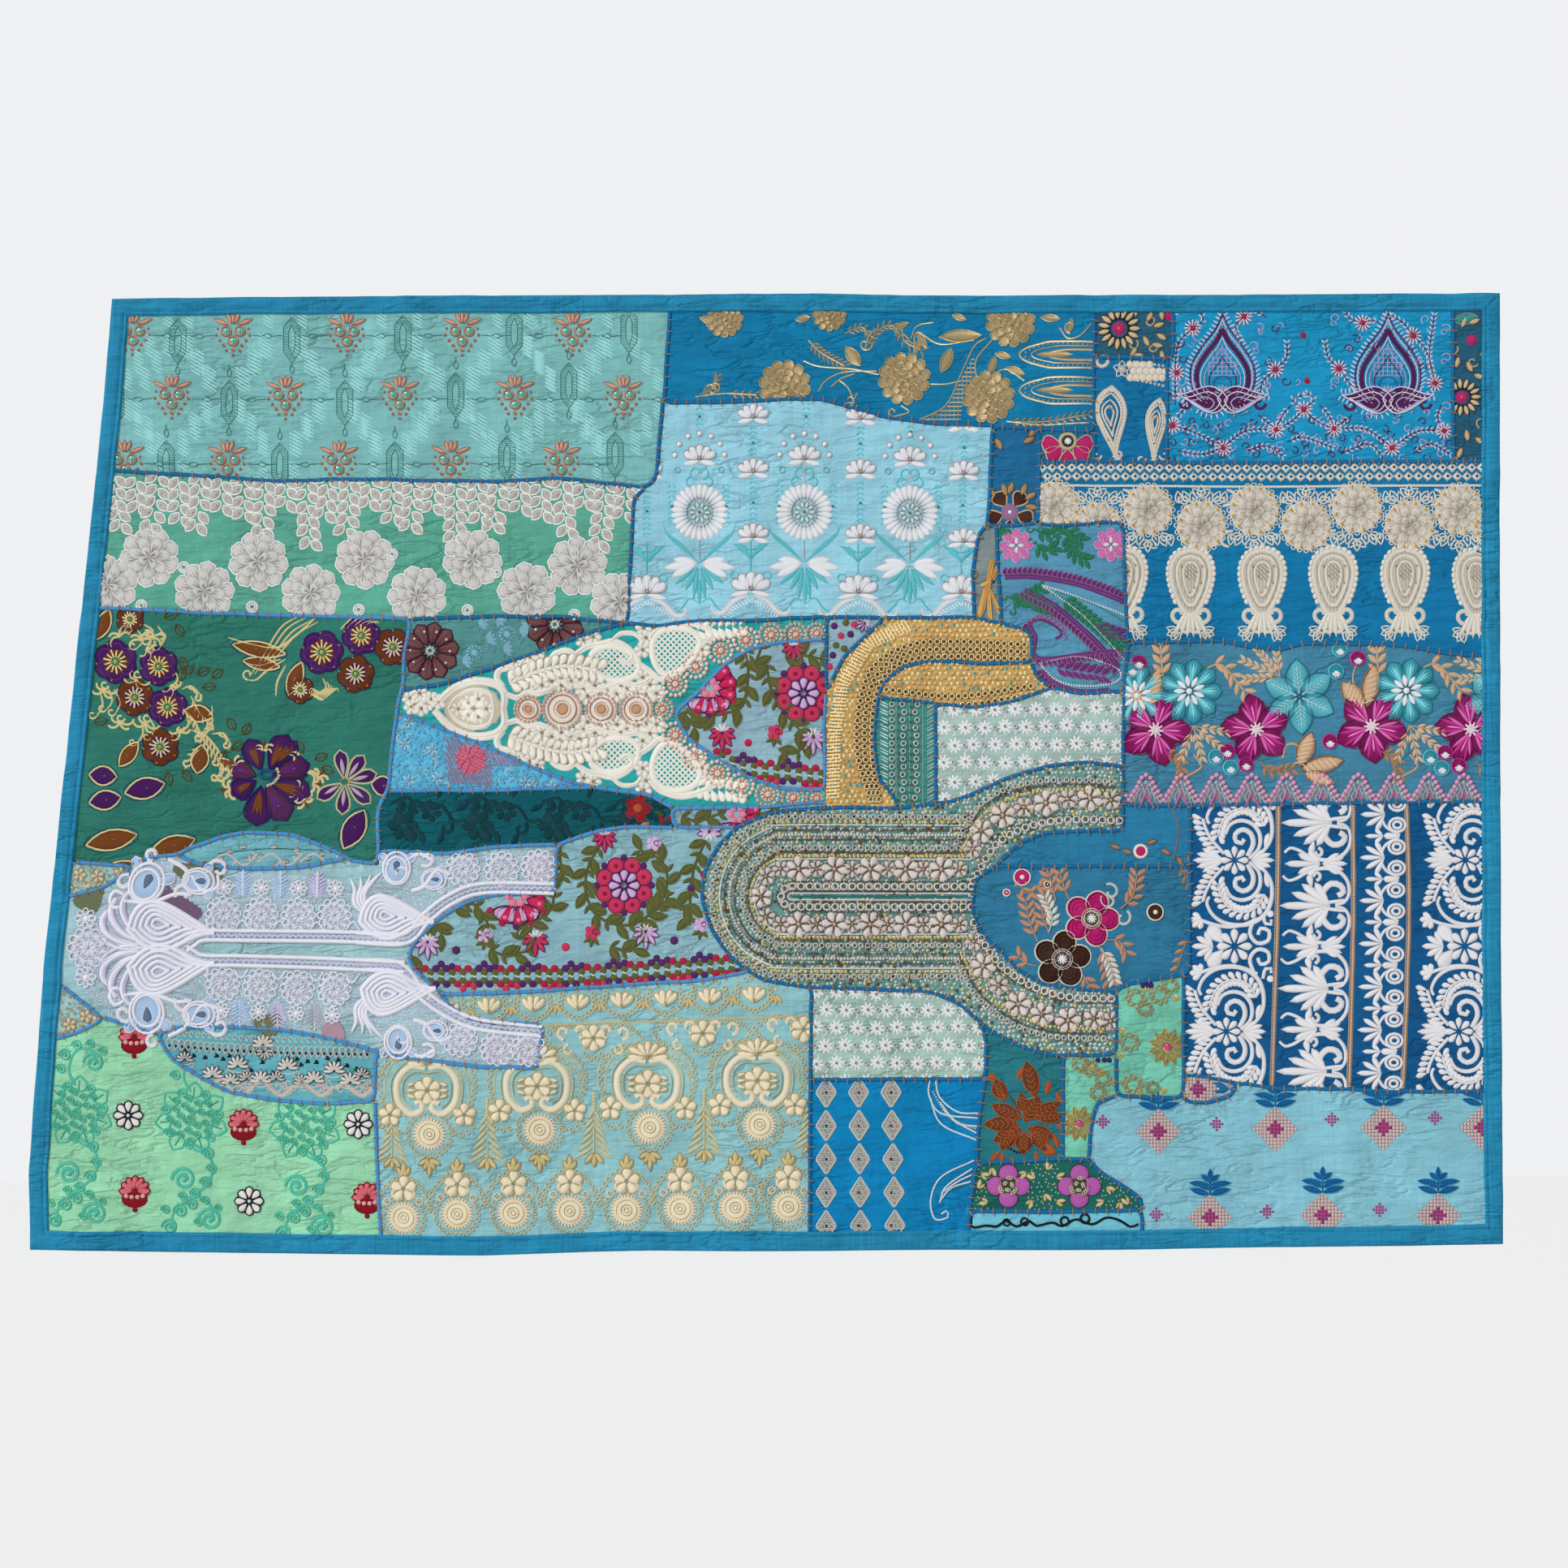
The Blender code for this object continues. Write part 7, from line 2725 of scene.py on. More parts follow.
def slotBands():
    for away, shape, step, size, tint in (
        (12.5, "ring", 10.4, 10.8, (246, 242, 236)), (12.5, "bead", 10.4, 3.4, bronze),
        (18.5, "bead", 4, 3, bronze), (50, "bead", 5, 4.4, amber), (60, "ring", 8, 7.4, pale),
        (70, "bead", 4, 3.4, bronze), (76, "bead", 4, 4, pale), (82, "bead", 4, 3.4, bronze),
        (92, "bead", 7, 4.6, amber), (98, "ring", 8, 7.4, pale),
    ):
        beads(capsule(away), step, shape, size, tint)
    for away, tint in ((4, white), (7, bronze), (46, white), (54, bronze), (88, white)):
        thread(capsule(away), 2.2, tint, high=1.6)


def neckBands():  # along the two edges right of the slot
    for line in (
        ((1200, 1088), (1225, 1046), (1254, 1026), (1286, 1016), (1327, 1012), (1390, 1014)),
        ((1201, 1135), (1219, 1170), (1244, 1196), (1276, 1215), (1318, 1227), (1380, 1229)),
    ):
        side = -1 if line[0][1] < neckSlot else 1
        for shift, shape, step, size, tint in (
            (2, "ring", 10.4, 10.8, (246, 242, 236)), (2, "bead", 10.4, 3.4, bronze),
            (7, "bead", 4, 3, bronze), (41, "bead", 5, 4.4, amber), (47, "bead", 4, 3.4, bronze),
            (53, "ring", 8, 7.4, pale),
        ):
            beads([(x - shift * 0.4, y + side * shift * 0.95) for x, y in line], step, shape, size, tint)


def sewBeadedNeck():
    neckBeads()
    neckFlowers()
    slotBands()
    neckBands()
    lay([(975, neckSlot), (1197, neckSlot)], 2.5, (40, 110, 100), 0.5)


# the lower left
creamCrestsTints = {"ecru": (244, 231, 200), "braid": (214, 198, 142)}
ecru, braid = creamCrestsTints.values()


def plump(x, y, long, wide, way, high=1.1):
    edged("petal", x, y, long, wide, way, ecru, braid, 1.3, high=high)


def plumpFlower(x, y, size, count=6):
    for k in range(count):
        plump(x, y, size, size * 0.8, 360 * k / count - 90)
    stamp("ring", x, y, size * 0.36, tint=(170, 200, 186), high=1.6)


def loops(line, step=7.6, size=7.2):
    for x, y, _ in along(flowing(line), step):
        stamp("ring", x, y, size, tint=(232, 216, 166), high=1.0)


def roundel(size=21):
    stamp("dome", 0, 0, size * 2, tint=ecru, high=0.9)
    for k in range(28):
        stamp(
            "stitch", *turned(size * 0.86, 0, k * 12.86), size * 0.2, 1.0, k * 12.86, 0.4, (150, 134, 98),
            base=0.5,
        )
    # the two inner rings in darker tan are painted shade, the gaps between the roundel's rings; the outer
    # braid ring is real
    for far, wide, tint in ((1.25, 1.4, braid), (0.66, 1.6, (178, 156, 104)), (0.3, 1.5, (178, 156, 104))):
        lay(around(0, 0, size * far, count=16), wide, tint, 1.0, base=0.4)
    for k in range(24):
        stamp("ring", *turned(size * 1.28, 0, k * 15), 6.6, tint=(232, 216, 166), high=1.0)


def crest():
    for side in (-1, 1):
        thread(
            [
                (side * 2, -27), (side * 20, -29), (side * 36, -12), (side * 35, 14), (side * 20, 29),
                (side * 6, 24), (side * 8, 14), (side * 15, 17),
            ],
            9.5, ecru, high=1.5, taper=0.25, rows=4,
        )
        thread([
            (0, -34), (side * 24, -35), (side * 43, -14), (side * 41, 18), (side * 26, 35)
        ], 1.8, braid, high=1.2)
        thread([
            (0, -21), (side * 16, -22), (side * 29, -10), (side * 28, 12), (side * 18, 21)
        ], 1.4, braid, high=1.3)
        for y, way in ((-10, 20), (0, 0), (10, -20)):
            plump(side * 13, y, 13, 5, way if side > 0 else 180 - way)
        plumpFlower(side * 46, 30, 15, 5)
        loops([(side * 14, -48), (side * 36, -44), (side * 54, -28), (side * 59, -6), (side * 54, 16)])
        loops([(side * 56, 44), (side * 46, 54), (side * 34, 52)])
        thread([(side * 14, -40), (side * 38, -36), (side * 50, -18), (side * 52, 10)], 1.8, braid)
        for k in range(5):
            curl(side * (22 + k * 8), -40 + k * k * 1.6, 4.5, side * 40, 1.6, braid, side)
        for lean, long in ((62, 28), (88, 26), (34, 22)):
            plump(0, -32, long, 9, -90 + side * lean)
    plump(0, -30, 24, 9, -90)
    plumpFlower(0, 0, 18)
    repeat(roundel, [(3, 54, 0, 1.0)])
    for lean in (-60, -25, 25, 60, 0):
        edged("leaf", 3, 84, 16 if lean else 24, 7, 90 + lean, braid, gold, 0.9, high=1.0)


def feather():
    lay([(0, -38), (0, 34)], 2.4, braid, 1.0)
    for k in range(6):
        stamp("dome", 0, -46 + k * 4, 5, tint=braid)
        for side in (-1, 1):
            stamp("leaf", 0, -26 + k * 9, 14 + k * 3, 4.6, 90 - side * (34 + k * 5), 1.0, (214, 198, 144))
    for lean in (-40, 0, 40):
        edged("leaf", 0, 26, 18, 7, 90 + lean, braid, gold, 0.9, high=0.9)


def crowned():
    repeat(roundel, [(0, 0, 0, 0.98)])
    plumpFlower(0, -36, 17, 5)
    for side in (-1, 1):
        curl(side * 6, -22, 9, 0 if side > 0 else 180, 5.5, ecru, -side, high=1.2)
        stamp("ring", side * 20, -20, 11, tint=ecru, high=1.1)
        loops([(side * 10, -48), (side * 22, -38), (side * 31, -24), (side * 32, -10)])
        edged("leaf", 0, -50, 15, 7, -90 + side * 34, braid, gold, 1.1, high=0.9)
    edged("leaf", 0, -50, 20, 8, -90, braid, gold, 1.1, high=0.9)


def heart():
    for lean in (-40, -16, 16, 40):
        plump(0, 10, 22, 9, -90 + lean)
    loops([(-19, -10), (-20, 8), (0, 20), (20, 8), (19, -10)], 5.8)
    loops([(-10, -18), (0, -22), (10, -18)])
    for lean in (-35, 0, 35):
        edged("leaf", 27, 0, 13, 5, 90 + lean, braid, gold, 0.9)
    stamp("dome", 27, -6, 5, tint=braid)


def sewCreamCrests():
    repeat(crest, [(527, 1343), (662, 1338), (798, 1335), (933, 1331)])

    repeat(feather, [(601, 1400), (732, 1394), (868, 1389), (484, 1402, 0, 0.9), (998, 1386, 0, 0.9)])

    repeat(crowned, [
        (498, 1500), (564, 1495), (633, 1494), (702, 1492), (772, 1491), (838, 1489), (906, 1487),
        (971, 1486),
    ])

    repeat(heart, [(603 + k * 54.3, 1239 - k * 2.3) for k in range(7)] + at(552, 1243))
    thread([(640, 1265), (730, 1261), (820, 1258), (990, 1252)], 2.8, braid, high=1.0)
    for x, y in ((731, 1279), (866, 1273), (990, 1268), (610, 1290)):
        plumpFlower(x, y, 17)
        for side in (-1, 1):
            curl(x + side * 17, y, 9, 180 if side > 0 else 0, 6, ecru, side, high=1.2)
            curl(x + side * 36, y + 2, 9, 0 if side > 0 else 180, 5.5, ecru, -side, high=1.2)
            curl(x + side * 30, y + 8, 7, 0 if side > 0 else 180, 4.5, ecru, side, high=1.2)
            loops([(x + side * 48, y - 12), (x + side * 60, y), (x + side * 50, y + 12)])
            loops([(x + side * 14, y - 12), (x + side * 30, y - 16), (x + side * 44, y - 12)])
        loops([(x - 10, y + 20), (x, y + 26), (x + 10, y + 20)])


mintVinesTints = {"ribbon": (92, 208, 178), "deepRibbon": (58, 170, 144)}
ribbon, deepRibbon = mintVinesTints.values()


def coil(x, y, size):
    curl(x - size, y, size, -90, size * 0.34, ribbon, 1, 1.5, high=1.3)
    stamp("dome", x, y, size * 0.5, tint=ribbon, high=1.4)


def heartLeaf(x, y, long, way):
    right, down = turned(long, 0, way)
    for side in (-1, 1):
        rim = [(0, 0), (long * 0.2, side * long * 0.42), (long * 0.6, side * long * 0.46), (long, 0)]
        thread([beyond(x, y, a, way, b) for a, b in rim], 3, ribbon, high=0.9)
    lay([(x, y), (x + right * 0.7, y + down * 0.7)], 2, deepRibbon, 0.7)


def ribbonVine():
    for k in range(23):
        far = 6.4 * math.sqrt(k)
        coil(far * math.cos(k * 2.4), far * math.sin(k * 2.4), 5.4)
    for k in range(7):
        x, y = turned(25, 0, 51 * k + 20)
        heartLeaf(x, y, 20, 51 * k + 20)
        coil(*turned(33, 0, 51 * k + 46), 6.5)
    for line in (
        ((4, 32), (20, 46), (26, 62), (18, 82), (2, 94), (-12, 102)),
        ((-14, 108), (-4, 98), (12, 98), (24, 110), (24, 126)),
        ((-2, -34), (-10, -52), (-2, -74), (14, -78), (26, -68)), ((-16, 104), (-24, 122), (-22, 140)),
    ):
        thread(line, 4, ribbon, high=0.9)
    for x, y, size in (
        (20, 43, 8), (24, 62, 7), (17, 79, 8), (-10, 75, 15), (4, 92, 7), (-11, 96, 6), (0, 106, 8),
        (16, 101, 6), (32, 110, 5), (22, 125, 15), (-14, 114, 9), (-27, 133, 10), (21, -61, 13),
        (0, -82, 7), (-15, -70, 8), (-20, -53, 7), (17, -84, 6), (32, -75, 6), (8, 128, 6), (-32, 112, 6),
    ):
        coil(x, y, size)


def whiteDaisy():
    for k in range(8):
        edged("petal", *turned(3, 0, 45 * k), 15, 10, 45 * k, (236, 234, 226), (24, 20, 44), 2.4, high=1.0)
    stamp("dome", 0, 0, 5, tint=white, high=1.5)
    stamp("hoop", 0, 0, 7, tint=dark, high=1.6)


def cupFlower():
    red = (140, 8, 26)
    stamp("dome", 0, 11, 33, 22, 0, 1.0, red)
    for k in range(7):
        way = -180 + 30 * k
        edged("petal", 0, 1, 19, 9.5, way, (232, 116, 128), red, 2.0, high=1.2)
    stamp("dome", 0, 2, 9, tint=red, high=1.6)
    for x in (-10, -3.5, 3.5, 10):
        stamp("dome", x, 9 - abs(x) * 0.2, 7, tint=(222, 170, 170), high=1.7)
    stamp("dome", 0, 24, 7, tint=red, high=1.2)


def sewMintVines():
    repeat(ribbonVine, [(97, 1370), (237, 1378), (376, 1387)])

    repeat(whiteDaisy, [(160, 1374), (307, 1480), (442, 1385)])
    repeat(cupFlower, [(167, 1277), (300, 1384), (168, 1466), (453, 1474)])


blackDartsTints = {"taupe": (214, 204, 194), "jet": (6, 26, 44)}
taupe, jet = blackDartsTints.values()


def lotusFan(size=15):
    for k in range(7):
        edged("leaf", 0, 0, size, size * 0.36, -180 + 30 * k, (228, 224, 214), (40, 60, 76), 1.0, high=0.8)
    lay(around(0, 3, size * 1.6, size * 0.6, 12), 1.8, taupe)
    for side in (-1, 1):
        curl(side * size * 0.7, 4, 5, 0 if side > 0 else 180, 1.8, taupe, side, high=0.8)


def sewBlackDarts():
    for k, x in enumerate(np.arange(210, 456, 7.6)):
        y = 1278 + (x - 212) * 0.06 + 3 * math.sin((x - 180) / 70)
        edged("drop", x, y, 14, 7, 92, None, taupe, 1.8, high=0.8)
        stamp("dome", x, y + 9, 3.6, tint=jet, high=0.9)
        curl(x - 3, y - 4, 4, 180, 1.7, taupe, high=0.8)
    for k in range(7):
        edged("leaf", 324, 1288, 15, 6, -180 + 30 * k, (222, 218, 208), dark, 1.0, high=0.8)
    for x, y in (
        (229, 1294), (239, 1300), (253, 1302), (267, 1300), (275, 1304), (283, 1300), (293, 1300),
        (354, 1302), (366, 1304), (371, 1311), (379, 1307), (390, 1308), (409, 1312), (417, 1305),
        (323, 1308), (309, 1318), (336, 1321), (428, 1312), (440, 1316), (404, 1303), (450, 1320),
    ):
        repeat(lambda: hatch([(-4.6, 3.6), (0, -5), (4.6, 3.6)], 1.6, 0, 2.2, jet, high=0.6), at(x, y))

    repeat(lotusFan, [
        (228, 1306, 0, 0.8), (262, 1326), (293, 1314), (321, 1332), (326, 1295, 180, 0.8), (354, 1316),
        (387, 1332), (412, 1320), (284, 1334, 0, 0.9), (304, 1330, 0, 0.8), (372, 1334, 0, 0.8),
        (432, 1334), (446, 1326, 0, 0.8), (340, 1330, 0, 0.8),
    ])
    for shift in (-20, 30, 80, 130):
        thread([
            (283 + shift, 1336 + shift * 0.04), (294 + shift, 1330 + shift * 0.04), (306 + shift, 1344),
            (318 + shift, 1350), (332 + shift, 1338),
        ], 6.5, taupe, high=0.8)
        curl(312 + shift, 1345, 6, 10, 3, taupe, -1)
        for way in (0, 50, 130, 180):
            curl(326 + shift, 1340, 5, way, 1.8, taupe, high=0.7)


creamScrapTints = {"ecru": (232, 220, 190)}


def sewCreamScrap(node, places):
    ecru = creamScrapTints["ecru"]
    for x, y, way in places:
        for k in range(5):
            edged("petal", x, y, 9, 7, way + 72 * k, ecru, (196, 176, 130), 1.0, high=1.0)
        curl(x + 8, y + 6, 6, way, 3, ecru, high=0.9)
        thread([(x - 12, y + 8), (x, y + 12), (x + 16, y + 6)], 1.6, (200, 180, 120))
    for x, y in spots(photoOutline(node), 7, 7, 0.5, 1.4, 4):
        stamp("ring", x, y, 4.4, tint=(206, 190, 140), high=0.7)


def sewRuchedPink():
    chance = np.random.default_rng(23)
    rim = photoOutline("ruched_pink")
    pinkArea = [(549, 905), (600, 922), (655, 946), (606, 942), (608, 970), (551, 966)]
    for x, y in spots(rim, 8.2, 7.4, 0.5, 1.6, 6):
        if not inside(np.array(pinkArea), x, y):
            size, way = 3 + 3 * chance.uniform(), chance.uniform(0, 360)
            tint = (104, 190, 226) if chance.uniform() > 0.25 else (150, 205, 225)
            curl(x, y, size, way, 4.2, tint, (-1) ** int(x), 0.6, high=1.3)
    for x, y in ((505, 890), (534, 925), (505, 962), (540, 960), (648, 965), (680, 970), (500, 918)):
        repeat(lambda: ringOf(6, 1, "leaf", 8, 3.4, tint=(206, 226, 232), high=1.6), at(x, y))
    for x, y in spots(pinkArea, 4.6, 4.4, 0.5, 0.3, 2):
        if math.hypot(x - 581, y - 936) > 17:
            stamp("ring", x, y, 4.4, tint=(226, 158, 182), high=0.9)
    stamp("dome", 581, 936, 36, 36, 0, 0.6, (232, 120, 150))
    for far, count in ((13, 12), (8, 8), (3, 4)):
        petals = {
            "shape": "petal", "long": 9, "wide": 7, "tint": (214, 70, 100), "tip": (236, 130, 160),
            "high": 0.9
        }
        repeat(ringOf, at(581, 936, far * 9), count=count, far=far - 2, base=1.0 - far * 0.04, **petals)


tealVelvetTints = {"pile": (0, 62, 70)}


def sewTealVelvet():
    pile = tealVelvetTints["pile"]
    for shift in np.arange(0, 330, 92):
        for line in (
            ((478, 1018), (500, 1010), (512, 996), (530, 990)),
            ((530, 990), (548, 996), (560, 1012), (575, 1010)), ((512, 996), (505, 984), (490, 986)),
        ):
            thread(np.array(line) + (shift, 0), 4.5, pile, high=0.8)
        for x, y, size, way, side in (
            (484, 990, 10, -60, 1), (522, 992, 11, -120, -1), (556, 1014, 9, 40, 1), (500, 1030, 8, 90, -1)
        ):
            curl(x + shift, y, size, way, 5, pile, side, high=0.8)
        for k in range(6):
            for x, y, way, long, wide in ((498, 1018, 60 * k, 17, 14), (532, 1000, 60 * k + 20, 12, 10)):
                stamp("petal", *beyond(x + shift, y, 2, way), long, wide, way, 0.7, pile)
        for x, y, way in (
            (494, 1000, -90), (510, 1016, 60), (540, 984, -70), (562, 1000, -30), (548, 1026, 120),
            (520, 1024, 80),
        ):
            stamp("leaf", x + shift, y, 18, 8, way, 0.7, pile)
    red = (150, 22, 40)
    repeat(
        lambda: ruffledRose(17, red, (200, 50, 60), ((5, 0.6, 0.8), (4, 0.3, 0.6)), "thread", 1.4),
        at(786, 996),
    )
    stamp("dome", 786, 996, 13, tint=(170, 90, 50), high=1.8)
    for x, y, way, tint in (
        (806, 1000, 20, (60, 84, 40)), (812, 1004, 60, red), (820, 1008, 10, red),
        (800, 1014, 160, (190, 120, 90)), (776, 1010, 120, (70, 40, 110)), (826, 1012, -30, (60, 84, 40)),
    ):
        stamp("leaf", x, y, 14, 7, way, 0.8, tint)


# the white lace yoke
laceWhite, laceBlue, laceLilac = (244, 244, 254), (176, 206, 240), (206, 196, 236)


def laceCord(*points, wide=5.0, tint=laceWhite, taper=0.25):
    thread(points, wide, tint, high=1.4, taper=taper, rows=4)


def chainBand(points, wide=14):
    # two plain cords with a plaited one between them
    line = flowing(points)
    ways = np.gradient(line, axis=0)
    sides = np.stack([-ways[:, 1], ways[:, 0]], 1) / np.linalg.norm(ways, axis=1)[:, None]
    for shift in (-1, 1):
        lay(line + sides * shift * wide * 0.42, wide * 0.4, laceWhite, 1.8, rows=4)
    for k, (x, y, way) in enumerate(along(line, 3.6)):
        stamp("stitch", x, y, 6.5, 3.4, way + (-1) ** k * 38, 1.7, (206, 210, 236))


def laceRoundel(size=20, tint=laceBlue):
    stamp("dome", 0, 0, size * 1.8, tint=np.array(tint) * 0.4 + (143, 145, 152), high=0.4)
    for k in range(12):
        lay(around(*turned(size * 0.86, 0, 30 * k), size * 0.42, count=8), 2.2, laceWhite, 1.3)
    for k in range(10):
        stamp("ring", *turned(size * 0.5, 0, 36 * k), 6.4, tint=laceWhite, high=1.2, base=0.3)
    ringOf(8, 1, "petal", size * 0.42, size * 0.22, tint=laceWhite, high=1.1, base=0.3)
    stamp("bead", 0, 0, 3, tint=gold, kind="bead", high=2.0)


def laceDaisyWhite(size=11, tint=laceWhite):
    for k in range(8):
        lay(around(*turned(size * 0.62, 0, 45 * k), size * 0.6, size * 0.46, 8, 45 * k), 2.2, tint, 1.2)
    stamp("dome", 0, 0, size * 0.6, tint=tint, high=1.3)


def laceFern(tint=laceBlue, side=1):
    for k in range(7):
        for way in (-1, 1):
            stamp(
                "stitch", way * 4.6 * math.sin(0.5 + k * 0.36), side * (-14 + k * 4.4),
                11 * math.sin(0.5 + k * 0.36) + 3, 3, side * way * (-34), 1.1, tint,
            )
    lay([(0, side * -18), (0, side * 14)], 2.6, laceWhite, 1.2)


def laceLily(size=22, turn=0):
    stamp("dome", 0, 0, size * 1.8, size * 1.5, turn, 0.7, laceBlue)
    for shift, wide in ((0, 1.0), (-0.1, 0.78)):
        lay(
            around(*turned(shift * size, 0, turn), size * 2 * wide, size * 1.66 * wide, 22, turn),
            size * 0.2, laceWhite, 1.6, rows=4,
        )
    edged(
        "drop", *turned(size * 0.5, 0, turn), size * 0.85, size * 0.5, turn + 180, (96, 120, 150),
        laceWhite, 2.2, high=0.9, base=0.5,
    )
    for side in (-1, 1):
        edged(
            "petal", *turned(size * 0.2, side * size * 0.5, turn), size * 0.9, size * 0.5, turn + side * 40,
            laceBlue, laceWhite, 3, high=1.2,
        )


def lacePaisley(side=1, size=1.0):
    hatch(
        boteh(-44 * size, 0, 96 * size, 58 * size, 180, side) + (96 * size, 0), 3.4, 0, 3.8,
        (208, 210, 238), high=0.7,
    )
    for share, wide in ((1.0, 7.5), (0.8, 6), (0.6, 6), (0.4, 6), (0.2, 5)):
        left, long = -44 * size + 88 * size * (1 - share) * 0.4, 96 * size * share
        rim = boteh(left, 0, long, 58 * size * share, 180, side) + (long, 0)
        lay(rim, wide, laceWhite, 1.7, rows=4)
        if share == 0.8:
            chain(rim, 4.2, "dome", 4.2, tint=(200, 206, 236), high=1.6)
    curl(46 * size, -side * 6, 13 * size, -side * 60, 5.4, laceWhite, -side, high=1.6)


def flame(*points, wide=10):
    laceCord(*points, wide=wide, taper=0.55)
    laceCord(*[(x + 4.5, y) for x, y in points], wide=2.4, tint=laceLilac, taper=0.8)
    laceCord(*[(x - 4, y + 1) for x, y in points], wide=2.4, tint=laceLilac, taper=0.8)


def yokeBands():
    chainBand([(500, 1157), (400, 1154), (300, 1153), (252, 1153), (238, 1160), (228, 1168)])
    chainBand([(500, 1192), (400, 1187), (300, 1184), (252, 1183), (238, 1177), (228, 1170)])
    chainBand([(440, 1156), (500, 1157), (526, 1132), (556, 1109), (596, 1095), (683, 1095)])
    chainBand([(440, 1189), (492, 1192), (518, 1221), (548, 1244), (590, 1262), (668, 1271)])


def darkRemnants():  # soft patches that show through the lace
    for patch, tint in (
        ([
            (163, 1090), (196, 1076), (214, 1096), (250, 1122), (238, 1136), (206, 1122), (176, 1110)
        ], (122, 96, 126)),
        ([(92, 1106), (128, 1092), (122, 1124), (98, 1118)], (116, 124, 92)),
        ([(214, 1068), (262, 1064), (276, 1084), (238, 1090)], (116, 118, 96)),
        ([(312, 1256), (346, 1250), (340, 1274), (322, 1272)], (122, 130, 92)),
        ([(395, 1266), (416, 1258), (426, 1278), (402, 1279)], (190, 156, 172)),
        ([(176, 1108), (208, 1124), (196, 1140), (170, 1130)], (150, 120, 148)),
    ):
        hatch(flowing(patch, closed=True), 2.4, 12, 3.4, tint, high=0.25)


def yokeLeftEnd():
    middle = 1168
    for side in (-1, 1):

        def level(y):
            return middle - side * (y - middle)

        def mirror(*points):
            return [(x, level(y)) for x, y in points]

        repeat(lacePaisley, at(206, level(1136), side * 12), side=side, size=1.06)
        flame(*mirror((173, 1165), (149, 1160), (131, 1148), (128, 1132), (136, 1121)))
        flame(*mirror((178, 1160), (155, 1151), (141, 1135), (138, 1119), (145, 1107)))
        flame(*mirror((171, 1149), (159, 1139), (152, 1122), (155, 1106), (165, 1096)), wide=7)
        flame(*mirror((184, 1167), (161, 1170), (140, 1165), (127, 1154)), wide=6)
        laceCord(*mirror((155, 1103), (145, 1098), (138, 1107), (142, 1118), (154, 1117)), wide=6)
        repeat(lambda: laceLily(25, 75 * side), at(183, level(1088), 12))
        repeat(lambda: laceLily(19, 0), at(246, level(1086)))
        for x, y, size, way, turn in (
            (218, 1106, 12, -120, 1), (260, 1065, 12, -60, 1), (161, 1078, 11, -150, -1),
            (190, 1062, 9, 180, 1),
        ):
            curl(x, level(y), size, -side * way, 6, laceWhite, -side * turn, high=1.6)
        laceCord(*mirror((155, 1110), (174, 1112), (193, 1111), (218, 1102), (237, 1103)), wide=6)
        laceCord(*mirror((237, 1078), (250, 1097), (269, 1093), (269, 1078)), wide=6.5)
        laceCord(*mirror((209, 1059), (226, 1068), (234, 1078), (230, 1093)), wide=6.5)
        repeat(lambda: laceDaisyWhite(14), at(108, level(1132)))
    repeat(lambda: laceRoundel(24, (190, 200, 236)), at(111, 1168))


def yokeColumns():
    for k, (x, top, low) in enumerate((
        (276, 1126, 1213), (322, 1127, 1215), (368, 1128, 1217), (413, 1128, 1219)
    )):
        repeat(laceRoundel, [(x, top), (x - 1, low)])
        repeat(laceDaisyWhite, [(x + 1, top - 33), (x - 3, low + 32)])
        if k < 3:
            repeat(lambda: laceFern((laceBlue, laceBlue, laceLilac)[k], 1), at(x + 24, top - 36))
            repeat(lambda: laceFern((laceBlue, laceLilac, (176, 180, 190))[k], -1), at(x + 20, low + 34))
        for x0, y0, way in ((x + 23, top + 14, 1), (x + 22, low - 14, -1)):
            laceCord((x0 - 9, y0 + way * 5), (x0, y0 - way * 6), (x0 + 9, y0 + way * 5), wide=2.8)


def yokeRightEnds():
    for side, x, y, turn in ((-1, 484, 1126, -14), (1, 486, 1228, 14)):
        repeat(lacePaisley, at(x, y, turn), side=side, size=0.92)
        for shift in range(4):
            laceCord(
                (x - 30, y - side * 4 + side * shift * 3),
                (x - 46 + shift * 4, y + side * (12 + shift * 4)),
                (x - 46 + shift * 8, y + side * (30 + shift * 4)),
                (x - 52 + shift * 13, y + side * (44 + shift * 2)), wide=6.5, taper=0.75,
            )
        curl(x + 10, y + side * 38, 12, 0, 5.6, laceWhite, side, high=1.6)
        repeat(lambda: laceLily(20, side * 90), at(x + 6, y + side * 56))
        repeat(lambda: laceLily(15, 0), at(x + 52, y + side * 42))
        curl(x + 36, y + side * 60, 11, -40 * side, 5.4, laceWhite, side, high=1.6)
        laceCord(
            (x + 24, y + side * 28), (x + 40, y + side * 34), (x + 56, y + side * 54),
            (x + 72, y + side * 48), wide=6.5,
        )
        laceCord((x + 18, y + side * 66), (x + 34, y + side * 74), (x + 50, y + side * 66), wide=6.5)


def yokeRoundels():
    for x, y, tint in (
        (571, 1071, laceBlue), (619, 1071, laceBlue), (664, 1068, laceLilac), (568, 1281, laceBlue),
        (614, 1292, laceLilac), (652, 1293, laceLilac),
    ):
        repeat(lambda: laceRoundel(20, tint), at(x, y))


def sewLaceYoke():
    yokeBands()
    darkRemnants()
    yokeLeftEnd()
    yokeColumns()
    yokeRightEnds()
    yokeRoundels()


